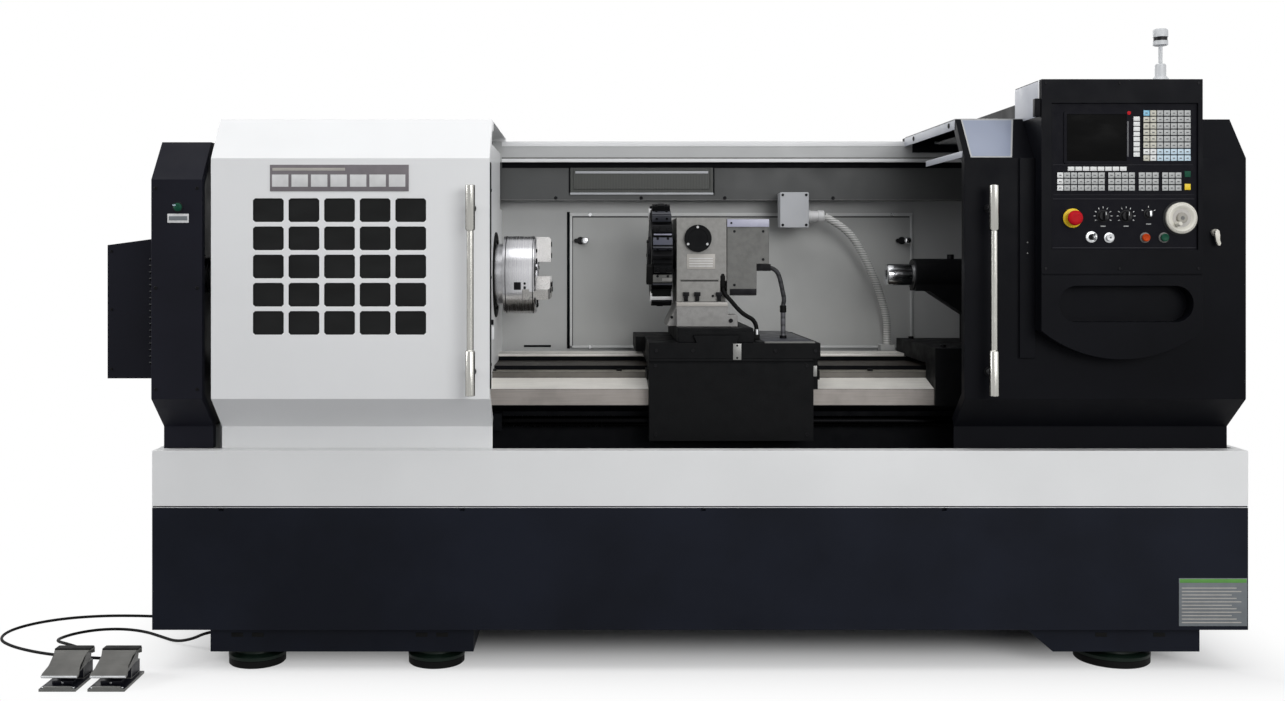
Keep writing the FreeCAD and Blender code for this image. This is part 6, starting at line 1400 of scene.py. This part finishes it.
@dataclass
class Turret(Assembly):
    """Indexing turret, its motor cover, lines and tool holders."""

    softened: tuple[tuple, ...] = (
        ("turret_base", Look.CAST_PALE, 2.0), ("turret_housing", Look.CAST_GREY, 2.0),
        ("turret_motor_cover", Look.CAST_DARK, 2.0), ("turret_disc", Look.BOLT, 1.2),
        ("tool_holders", Look.CAST_BLACK, 1.0))
    details: tuple[Piece | Hose, ...] = (
        Hose("turret_cable", Body.CROSS_SLIDE, "rubber", (
            (225, -236, 1123), (226, -240, 1097), (247, -254, 1075), (267, -272, 1049),
            (287, -284, 1029), (324, -286, 1010), (326, -286, 984)), 13.5, Look.RUBBER),
        Hose("coolant_line", Body.CROSS_SLIDE, "rubber", (
            (373.5, -228.5, 1175), (395.5, -230.5, 1169), (406.5, -234.5, 1139), (413.5, -237.5, 1103),
            (419.5, -237.5, 1073), (415.5, -236.5, 1059), (415.5, -236.5, 1045)), 14, Look.COOLANT),
        Piece("line_fittings", Body.CROSS_SLIDE, "rubber", (
            Turned(Z, (225, -243), (
                (1114, 0), (1114, 8), (1120, 10), (1146, 10.5), (1155, 8), (1158, 0)), Look.RUBBER, 28),
            rod(Z, (326, -286), 953, 984, 8, Look.ZINC),
            Box((306.2, 335), (-295, -277), (952.5, 968), Look.RUBBER, 1.0),
            rod(Z, (415.5, -236.5), 1034, 1056, 10, Look.RUBBER, 1.5),
            rod(Z, (415.5, -236.5), 952.3, 1034, 7.6, Look.STRIPED),
            rod(Z, (415.5, -236.5), 952.3, 962, 11, Look.BOLT)), ("turret_lines",)),
        Piece("turret_trim", Body.CROSS_SLIDE, "cast_paint", (
            Turned(Y, (147, 1266), (
                (-256, 0), (-256, 42.6), (-258, 42.6), (-259.5, 41), (-259.5, 30), (-258.6, 29),
                (-258.6, 0)), Look.CAST_BLACK, 64),
            *screws(Y, ((146, 1301), (116, 1248), (176, 1248)), -259, -2, 4, Look.PLATE_WHITE),
            Box((113, 201), (-251.2, -250), (1170, 1217), Look.PLATE_DULL, 0.4),
            *(Box((120, 194), (-251.5, -251.2), (z, z + 2.5), Look.PLATE_WHITE, 0.1)
              for z in (1178, 1186, 1194, 1202)),
            Box((93, 211), (-250.6, -249.8), (1131.5, 1134.5), Look.IRON_BLACK, 0.2),
            *(Box((x - 9.5, x + 9.5), (-262, -250), (1086, 1098), Look.BOLT, 1.5) for x in (110, 145, 213)),
            *(Box((x - 6, x + 6), (-260, -250), (1070, 1087), Look.BOLT, 1.0) for x in (110, 145, 213)),
            *screws(Y, ((194, 1086),), -250, -3, 4),
            Box((78, 237), (-290.6, -287), (1055, 1067.5), Look.PLATE_DULL, 1.2),
            *screws(Y, ((246, 1011),), -289, -4, 6.5),
            *screws(Y, ((65, 1020),), -259, -3, 4.5),
            # Painted highlight along the motor cover's top.
            Box((239, 370), (-249.4, -248), (1302, 1326), Look.LILAC_HIGHLIGHT, 0.4),
            *screws(Y, ((252, 1314),), -249.4, -1.5, 3.4),
            Box((248, 331), (-247, -245), (1089, 1108), Look.BOLT, 0.6),
            Box((332, 376), (-244, -212), (1164, 1186), Look.BOLT, 1.5),
            *screws(Y, ((262, 1288), (352, 1288), (352, 1200), (262, 1120)), -245, -2, 4))))
    disc_middle: float = 36
    stations: int = 8
    # Stations with a boring sleeve, and what the stations carry, drawn with the flat on top.
    sleeves: tuple[int, ...] = (3, 7)
    boring: tuple[Solid, ...] = (
        Turned(X, (-135, 1358), (
            (0.5, 10.4), (0.5, 18.6), (2.5, 19.6), (69.5, 19.6), (71.5, 18.6), (71.5, 10.4)),
            Look.PLATE_WHITE, 36),
        Box((4, 68), (-152, -118), (1372, 1379.5), Look.CAST_BLACK, 1.0),
        *screws(Z, product((22, 50), (-156,)), 1361.7, 2, 5))
    clamped: tuple[Solid, ...] = (
        Box((5.5, 66.5), (-172.6, -168), (1343, 1364), Look.SLIDE_PLATE),
        Box((8, 64), (-124, -105), (1361.7, 1377), Look.CAST_BLACK, 1.0),
        *screws(Z, product((20, 52), (-142,)), 1365.6, 2, 4),
        *screws(Y, product((20, 52), (1353,)), -172.6, -2, 4),
        *screws(Z, product((20, 52), (-115,)), 1377, 2.5, 5))
    flanged: tuple[Solid, ...] = (
        Box((-14, 5.8), (-172, -112), (1339, 1363), Look.RUBBER, 1.5),
        Box((34, 66), (-158, -148), (1365.6, 1367.6), Look.CAST_GREY, 0.6))
    index_block: Solid = Box((3, 6.2), (-165, -105), (1340, 1350), Look.CAST_BLACK, 0.6)

    def station(self, number: int) -> list[Solid]:
        """Return a station's details, with its flat upwards.

        Args:
            number: Number of the station.

        Returns:
            The solids.
        """
        if number in self.sleeves:
            return [*self.boring, self.index_block]
        wedge = {1: Look.STATION_BLUE, 2: Look.CAST_DARK}.get(number, Look.SLIDE_PLATE)
        # Station 1's strip is a painted highlight along its holder's top edge.
        line = {1: Look.LILAC_HIGHLIGHT, 2: Look.CAST_GREY}.get(number, Look.BOLT)
        return [Box((6, 66), (-163, -138), (1361.7, 1365.6), wedge, 1.0),
                Box((9, 64), (-129.5, -125), (1361.7, 1365), line, 0.5),
                *self.clamped, *(self.flanged if number == 2 else ()), self.index_block]

    def repeated(self) -> Iterable[Piece]:
        """Make the stations' wedges, clamp screws and pale strips, and the disc's hub screws.

        Yields:
            The pieces.
        """
        centre = Vector((self.disc_middle, *DISC)) * MM
        solids = []
        for number in range(self.stations):
            turn = Matrix.Rotation(math.radians((number + 0.5) * 360 / self.stations), 4, "X")
            move = Matrix.Translation(centre) @ turn @ Matrix.Translation(-centre)
            solids += [Moved(solid, move) for solid in self.station(number)]
        solids.append(Turned(X, DISC, ((-6.5, 0), (-6.5, 40), (-3, 42), (-3, 0)), Look.BOLT, 48))
        solids += screws(X, [around(DISC, 51, 60 * number - 90) for number in range(6)], -3, -4, 5.5)
        yield Piece("station_trim", Body.TURRET, "bright_steel", solids)


@dataclass
class Doors(Assembly):
    """Sliding doors with their glazing, handles and fittings."""

    softened: tuple[tuple, ...] = (("left_door", Look.WHITE, 1.0), ("right_door", Look.BLACK, 1.0))
    painted: tuple[tuple, ...] = ((Look.GLAZING, "left_window"),)
    details: tuple[Piece, ...] = (
        Piece("door_plate", Body.LEFT_DOOR, "white_plastic", (
            Box((-1105, -708), (-596.4, -595), (1396, 1472), Look.PLATE_GREY, 0.4),
            *(Box((-1099 + 55.7 * pane, -1052 + 55.7 * pane), (-597, -596.4), (1409, 1444),
                  Look.PLATE_WHITE, 0.3) for pane in range(7)),
            Box((-1098, -890), (-596.8, -596.4), (1455, 1463), Look.PLATE_DULL, 0.2))),
        Piece("left_door_seal", Body.LEFT_DOOR, "rubber", (
            Box((-477, -474), (-588, -566), (830, 1480), Look.RUBBER, 1.0),
            *screws(X, product((-579,), (900, 1150, 1400)), -474.2, 2, 5))),
        Piece("roof_strip", Body.RIGHT_DOOR, "white_sheet", (
            Box((879.4, 881), (-498, 104), (1582, 1610), Look.BOX_SIDE, 0.5),
            *screws(X, product((-440, -20), (1598,)), 879.4, -2.5, 8),
            Box((881, 1080), (-499, 100), (1612, 1614), Look.BEAM, 0.5),
            Box((879.4, 881.4), (-575, -175), (1495, 1513), Look.BOX_SIDE, 0.5))),
        Piece("roof_flange", Body.RIGHT_DOOR, "black_sheet", (
            Box((905, 1650), (98.5, 103), (1562, 1590), Look.BLACK),
            Box((905, 980), (98.5, 103), (1589, 1609.4), Look.BLACK))),
        Piece("column_fittings", Body.RIGHT_DOOR, "black_sheet", (
            *screws(Y, ((1058, 1250), (1058, 1219)), -605, -1.2, 2.2, Look.TAG),
            Box((1063, 1079), (-652, -632), (1604, 1655), Look.BLACK, 2.0))))
    handles: tuple[tuple[Body, str, float], ...] = (
        (Body.LEFT_DOOR, "left_handle", -528), (Body.RIGHT_DOOR, "right_handle", 950))
    handle_profile: tuple[Pair, ...] = (
        (816, 0), (816, 12.4), (817.6, 14), (940, 14), (944, 12.5), (946, 10), (1282, 10), (1284, 12.5),
        (1288, 14), (1410.4, 14), (1412, 12.4), (1412, 0))
    panes: int = 5
    pane_corner: Pair = (-1154, 986)
    pane_pitch: Pair = (101.8, 80.6)
    # Strips of a pane's seal, from the pane's lower left corner.
    seal: tuple[tuple[Pair, Pair], ...] = (
        ((0.4, 2.6), (5, 62.5)), ((85.4, 87.6), (5, 62.5)), ((5, 83), (0.4, 2.6)), ((5, 83), (64.9, 67.1)))
    # Point on the lower edge of the right door's slope, and the slope's depth and height.
    brow: Point = (0, -595, 1491)
    slope: Pair = (95, 121)
    # Painted reflection: a grey rim and a blue-grey face laid on the black slope stand for the light
    # reflected there.
    slope_reflection_panels: tuple[Solid, ...] = (
        Prism(Y, ((899, 1493), (1017, 1493), (1050, 1643), (897, 1643)), -596.6, -594.8, Look.BEAM, 0.4),
        Prism(Y, ((903, 1497), (1013, 1497), (1044, 1639), (901, 1639)), -597.4, -596.4,
              Look.SLOPE_REFLECTION, 0.3))

    def repeated(self) -> Iterable[Piece]:
        """Make the handles, the panes' seals and the painted reflection panels on the right door's slope.

        Yields:
            The pieces.
        """
        for body, name, x in self.handles:
            solids = [Turned(Z, (x, -645), self.handle_profile, Look.STEEL_Z)]
            for z in (881, 1347):
                solids.append(rod(Y, (x, z), -645, -595, 8, Look.ZINC))
                solids.append(rod(Y, (x, z), -599, -595, 13, Look.BOLT))
            yield Piece(f"{name}_bar", body, "chrome", solids, (name,))
        seals = []
        for column, row, (across, up) in product(range(self.panes), range(self.panes), self.seal):
            x = self.pane_corner[0] + self.pane_pitch[0] * column
            z = self.pane_corner[1] + self.pane_pitch[1] * row
            seals.append(Box((x + across[0], x + across[1]), (-594, -592.2), (z + up[0], z + up[1]),
                             Look.RUBBER, 0.3))
        yield Piece("window_seals", Body.LEFT_DOOR, "rubber", seals)
        hinge = Vector(self.brow) * MM
        lean = Matrix.Rotation(-math.atan2(*self.slope), 4, "X")
        move = Matrix.Translation(hinge) @ lean @ Matrix.Translation(-hinge)
        yield Piece("slope_reflection_panel", Body.RIGHT_DOOR, "white_sheet",
                    [Moved(panel, move) for panel in self.slope_reflection_panels])


class Control(Enum):
    """Place of each control, from the panel's left and lower edges."""

    STOP = (61, 89)
    FEED = (147, 95)
    SPINDLE = (212, 95)
    MODE = (275, 101)
    WHEEL = (364, 89)
    KEY = (114, 36)
    WHITE = (164, 34)
    ORANGE = (265, 34)
    GREEN = (318, 34)

    @property
    def centre(self) -> Pair:
        """The control's X and Z in the machine's frame."""
        return spot(*self.value)


def spot(x: float, z: float) -> Pair:
    """Turn a place on the panel into X and Z in the machine's frame."""
    return PANEL_CORNER[0] + x, PANEL_CORNER[1] + z


def knob(control: Control, back: float, finish: Finish, profile: Sequence[Pair]) -> list[Solid]:
    """Return a round control with its stem.

    Args:
        control: The control.
        back: Coordinate of its back.
        finish: Its finish.
        profile: Pairs of (height over its back, radius), which may end off the axis.

    Returns:
        The solids.
    """
    outline = [(back, 0), *((back - high, radius) for high, radius in profile)]
    if outline[-1][1]:
        outline.append((outline[-1][0], 0))
    return [Turned(Y, control.centre, outline, finish), rod(Y, control.centre, back, -627, 5.4, Look.ZINC)]


@dataclass
class ControlBox(Assembly):
    """Control box with its operator panel, keys, knobs and signal lamp."""

    softened: tuple[tuple, ...] = (("control_box", Look.BLACK, 1.2),)
    painted: tuple[tuple, ...] = ((Look.PANEL, "operator_panel"),)
    details: tuple[Piece, ...] = (
        Piece("box_skin", Body.RIGHT_DOOR, "black_sheet", (
            Box((1078.6, 1080), (-634, -432), (1606, 1706), Look.BOX_SIDE, 0.4),
            # Painted highlight: a pale strip along the front edge of the box's side.
            Box((1077.4, 1080), (-640, -634), (1612, 1708), Look.EDGE_HIGHLIGHT, 0.6),
            Box((1084, 1530), (-640, -432), (1709, 1710.4), Look.BOX_GREY, 0.4),
            *screws(Y, product((1092, 1300, 1522), (1698, 1176)), -655, -2, 4))),
        Piece("screen_glass", Body.RIGHT_DOOR, "glazing", (
            Box((1153.5, 1320.5), (-650.4, -648.6), (1479.5, 1610.5), Look.SCREEN),)),
        Piece("lever_arm", Body.LEVER, "cream_plastic", (
            Turned(Y, (1595, 1278), (
                (-595.3, 0), (-595.3, 10), (-604, 10), (-606, 8.5), (-607.4, 8), (-607.4, 0)),
                Look.CREAM, 32),
            Prism(Y, (
                (1588, 1282), (1595, 1288), (1601, 1283), (1603, 1270), (1602.5, 1256), (1606, 1247),
                (1603, 1240), (1597, 1241), (1592, 1252), (1588.5, 1268)), -615, -607, Look.CREAM, 2.2)),
            ("door_lever",)),
        Piece("signal_head", Body.RIGHT_DOOR, "white_plastic", (
            Turned(Z, (1463, -545), (
                (1709, 0), (1709, 26), (1716, 26), (1722, 24), (1731, 17), (1731, 15.5), (1764, 15.5),
                (1767, 13), (1767, 0)), Look.LAMP_BODY),
            rod(Z, (1463, -545), 1767, 1821, 5.6, Look.LAMP_BODY),
            Turned(Z, (1463, -545), (
                (1820, 0), (1820, 17), (1822, 20.6), (1834, 21), (1835, 0)), Look.LAMP_BODY),
            Turned(Z, (1463, -545), ((1835, 0), (1835, 19), (1845, 19), (1845, 0)), Look.BLACK_PLASTIC),
            Turned(Z, (1463, -545), (
                (1845, 0), (1845, 21), (1864, 21), (1868, 18), (1869, 0)), Look.LAMP_BODY)),
            ("signal_lamp",)),
        Piece("stop_head", Body.STOP, "red_plastic", knob(Control.STOP, -654.3, Look.RED, (
            (0, 12), (7, 12.6), (9, 16), (11, 20), (13, 21), (17, 21), (20, 19.5), (22, 16.5), (23, 12),
            (22.6, 7), (22.4, 0))), ("emergency_stop",)))
    panel_y: float = -648
    pad_y: float = -649.2
    key_height: float = 0.9
    # Gaps beside and below a key, and its mark's spans, as shares of its cell.
    key_gaps: Pair = (0.06, 0.08)
    mark_spans: tuple[Pair, Pair] = ((0.32, 0.68), (0.40, 0.56))
    # Each keypad's X and Z spans, columns and rows, then finishes by columns and rows, the last wins.
    keypads: tuple[tuple, ...] = (
        ((231, 251), (261, 376), 1, 8, ((range(1), range(8), Look.KEY_WHITE),)),
        ((259, 394), (249, 394), 7, 8, (
            (range(7), range(8), Look.KEY_GREY), (range(2), range(8), Look.KEY_BEIGE),
            (range(2), range(2), Look.KEY_WHITE), (range(2, 7), range(2), Look.KEY_PALE),
            (range(1), range(1), Look.KEY_BEIGE), (range(1), range(7, 8), Look.KEY_BLUE))),
        ((46, 214), (221, 235), 8, 1, ((range(8), range(1), Look.KEY_WHITE),)),
        ((16, 152), (165, 219), 7, 3, (
            (range(7), range(3), Look.KEY_GREY), (range(1), range(3), Look.KEY_WHITE))),
        ((160, 237), (165, 219), 4, 3, ((range(4), range(3), Look.KEY_GREY),)),
        ((246, 304), (165, 219), 3, 3, ((range(3), range(3), Look.KEY_GREY),)),
        ((312, 368), (165, 219), 3, 3, ((range(3), range(3), Look.KEY_GREY),)))
    lamps: tuple[tuple[float, Finish], ...] = ((213, Look.GREEN), (177, Look.YELLOW))
    borders: tuple[tuple[Pair, Pair], ...] = (
        ((6, 400), (238.5, 240)), ((6, 404), (142, 144)), ((6, 404), (154, 155.2)), ((4, 408), (4, 6.5)))
    ticks: tuple[tuple[Control, float, range], ...] = (
        (Control.FEED, 21.5, range(-120, 121, 30)), (Control.SPINDLE, 21.5, range(-120, 121, 30)),
        (Control.MODE, 17.5, range(-60, 61, 60)))
    tick_length: float = 5
    tick_half: float = 0.7
    collars: tuple[tuple[Control, float, Finish], ...] = (
        (Control.STOP, 27, Look.YELLOW), (Control.WHEEL, 49, Look.BLACK_PLASTIC),
        (Control.KEY, 16, Look.ZINC), (Control.WHITE, 14.5, Look.ZINC),
        (Control.ORANGE, 14.5, Look.CAST_DARK), (Control.GREEN, 14.5, Look.CAST_DARK),
        (Control.FEED, 17.5, Look.BLACK_PLASTIC), (Control.SPINDLE, 17.5, Look.BLACK_PLASTIC),
        (Control.MODE, 14, Look.BLACK_PLASTIC))
    knob_back: float = -650.3
    button_back: float = -654.3
    dials: tuple[tuple, ...] = (
        ("feed_dial", Body.FEED_DIAL, Control.FEED, 15, 9, Look.BLACK_PLASTIC),
        ("spindle_dial", Body.SPINDLE_DIAL, Control.SPINDLE, 15, 9, Look.BLACK_PLASTIC),
        ("mode_selector", Body.MODE, Control.MODE, 11, 7, Look.ZINC))
    buttons: tuple[tuple, ...] = (
        ("white", Body.WHITE_BUTTON, Control.WHITE, Look.WHITE_PLASTIC),
        ("orange", Body.ORANGE_BUTTON, Control.ORANGE, Look.ORANGE),
        ("green", Body.GREEN_BUTTON, Control.GREEN, Look.GREEN))
    wheel_marks: int = 50
    wheel_scale: float = 39.5

    def repeated(self) -> Iterable[Piece]:
        """Make the panel's keys and marks, and the controls.

        Yields:
            The pieces.
        """
        yield Piece("panel_keys", Body.RIGHT_DOOR, "white_plastic", self.make_keys())
        yield Piece("panel_marks", Body.RIGHT_DOOR, "panel_black", self.make_marks())
        yield from self.make_dials()
        yield from self.make_buttons()
        yield Piece("wheel_rim", Body.WHEEL, "cream_plastic", self.make_wheel(), ("handwheel",))
        yield Piece("key_plug", Body.KEY, "bright_steel", self.make_key(), ("key_switch",))

    def make_keys(self) -> list[Solid]:
        """Make the membrane keys with their plain marks, and the two lamps beside them.

        Returns:
            The solids.
        """
        solids = []
        face = self.pad_y - self.key_height
        side, below = self.key_gaps
        across, up = self.mark_spans
        for (left, right), (low, high), columns, rows, finishes in self.keypads:
            width, height = (right - left) / columns, (high - low) / rows
            for column, row in product(range(columns), range(rows)):
                x, z = spot(left + column * width, low + row * height)
                finish = [look for some, levels, look in finishes if column in some and row in levels][-1]
                solids.append(Box((x + side * width, x + (1 - side) * width), (face, self.pad_y),
                                  (z + below * height, z + (1 - below) * height), finish, 0.5))
                if columns > 1 and rows > 1:
                    solids.append(Box((x + across[0] * width, x + across[1] * width), (face - 0.15, face),
                                      (z + up[0] * height, z + up[1] * height), Look.LEGEND, 0.0))
        for rise, finish in self.lamps:
            x, z = spot(385, rise)
            solids.append(Box((x - 8.5, x + 8.5), (self.panel_y - 1.6, self.panel_y), (z - 8.5, z + 8.5),
                              finish, 1.0))
        return solids

    def make_marks(self) -> list[Solid]:
        """Make the panel's borders, the dials' ticks and the controls' collars.

        Returns:
            The solids.
        """
        y = self.panel_y
        x, z = spot(215.5, 262)
        solids = [Turned(Y, spot(219, 385), ((y, 0), (y, 6), (y - 3.6, 5.4), (y - 4.4, 0)), Look.RED, 20),
                  Box((x - 2.2, x + 2.2), (y - 3.8, y - 3), (z, z + 100), Look.LEGEND, 0.3)]
        for (left, right), (low, high) in self.borders:
            (left, low), (right, high) = spot(left, low), spot(right, high)
            solids.append(Box((left, right), (y - 0.7, y), (low, high), Look.PANEL_LINE, 0.2))
        for control, radius, angles in self.ticks:
            x, z = control.centre
            half, end = self.tick_half, radius + self.tick_length
            for angle in angles:
                side, rise = math.sin(math.radians(angle)), math.cos(math.radians(angle))
                outline = [(x + side * reach + rise * width, z + rise * reach - side * width)
                           for reach, width in ((radius, -half), (radius, half), (end, half), (end, -half))]
                solids.append(Prism(Y, outline, y - 0.5, y, Look.KEY_WHITE, 0.0))
            solids.append(Box((x - 7, x + 7), (y - 0.5, y), (z - 30, z - 27.5), Look.KEY_GREY, 0.0))
        for control, radius, finish in self.collars:
            profile = ((y, 6.6), (y, radius), (y - 1.4, radius), (y - 2, radius - 1), (y - 2, 6.6))
            solids.append(Turned(Y, control.centre, profile, finish))
        return solids

    def make_dials(self) -> Iterable[Piece]:
        """Make the two override dials and the mode selector, with their bar grips.

        Yields:
            The pieces.
        """
        for node, body, control, radius, height, grip in self.dials:
            x, z = control.centre
            front = self.knob_back - height
            tip = front - 1.2 * height
            yield Piece(f"{node}_knob", body, "black_plastic", (
                *knob(control, self.knob_back, Look.BLACK_PLASTIC, (
                    (0, radius), (height - 2, radius - 0.6), (height, radius - 2.4))),
                Box((x - 3, x + 3), (tip, front), (z - radius + 3, z + radius - 3), grip, 1.6),
                Box((x - 0.7, x + 0.7), (tip - 0.3, tip + 0.5), (z + 1, z + radius - 4),
                    Look.KEY_WHITE, 0.0)), (node,))

    def make_buttons(self) -> Iterable[Piece]:
        """Make the three push buttons; the white one has a round mark.

        Yields:
            The pieces.
        """
        for name, body, control, finish in self.buttons:
            solids = knob(control, self.button_back, finish, (
                (0, 11), (4, 11), (5.5, 10), (6, 8.6), (5.4, 7.6), (5.2, 0)))
            if control is Control.WHITE:
                solids.append(Turned(Y, control.centre, (
                    (-659.4, 0), (-659.4, 3), (-660.2, 2.6), (-660.2, 0)), Look.LEGEND, 20))
            yield Piece(f"{name}_button_cap", body, f"{name}_plastic", solids, (f"{name}_button",))

    def make_wheel(self) -> list[Solid]:
        """Make the handwheel: dished rim with a scale, crank knob and stepped hub.

        Returns:
            The solids.
        """
        centre = Control.WHEEL.centre
        solids = [
            *knob(Control.WHEEL, self.knob_back, Look.CREAM, (
                (0, 43), (2, 44), (9, 44), (12, 41), (13, 37), (12.4, 32), (9, 28), (8, 22), (8, 13),
                (12, 11), (14, 8), (14.4, 0))),
            Turned(Y, spot(350, 72), (
                (-658, 0), (-658, 7), (-660, 7.5), (-680, 6.4), (-684, 5), (-684.6, 0)), Look.CREAM, 28),
            Turned(Y, centre, ((-658.4, 0), (-658.4, 27), (-659.2, 26), (-659.2, 0)), Look.PLATE_DULL, 36),
            Turned(Y, centre, ((-658, 0), (-658, 16), (-664, 15), (-665.6, 13), (-665.6, 0)),
                   Look.CREAM_DARK, 32),
            Turned(Y, centre, ((-665, 0), (-665, 6), (-667, 5), (-667, 0)), Look.CAST_DARK, 24)]
        for number in range(self.wheel_marks):
            x, z = around(centre, self.wheel_scale, 360 / self.wheel_marks * number - 90)
            solids.append(Box((x - 0.5, x + 0.5), (-663.2, -661), (z - 0.5, z + 0.5), Look.LEGEND, 0.0))
        return solids

    def make_key(self) -> list[Solid]:
        """Make the key in its switch: a collar, the blade and a ringed bow.

        Returns:
            The solids.
        """
        x, z = Control.KEY.centre
        return [
            *knob(Control.KEY, self.knob_back, Look.BLACK_PLASTIC, (
                (0, 9), (4, 9), (5, 8), (5, 6), (4, 5.4), (4, 0))),
            Box((x - 1.2, x + 1.2), (-668, -652), (z - 4, z + 4), Look.ZINC, 0.5),
            Turned(X, (-673, z), (
                (x - 1.4, 3.5), (x - 1.4, 10), (x - 0.9, 10.6), (x + 0.9, 10.6), (x + 1.4, 10),
                (x + 1.4, 3.5)), Look.ZINC, 28)]


def main() -> None:
    """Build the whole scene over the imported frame."""
    logging.basicConfig(level=logging.INFO, format="%(name)s: %(message)s")
    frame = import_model()
    dresser = Dresser(frame)
    Studio().build()
    for kind in (Pedals, BaseAndTray, Covers, Headstock, BedAndCarriage, Turret, Doors, ControlBox):
        kind(dresser).build()
        LOG.info("built %s", kind.__name__)
    bpy.context.scene.view_settings.view_transform = "Standard"


if __name__ == "__main__":
    main()
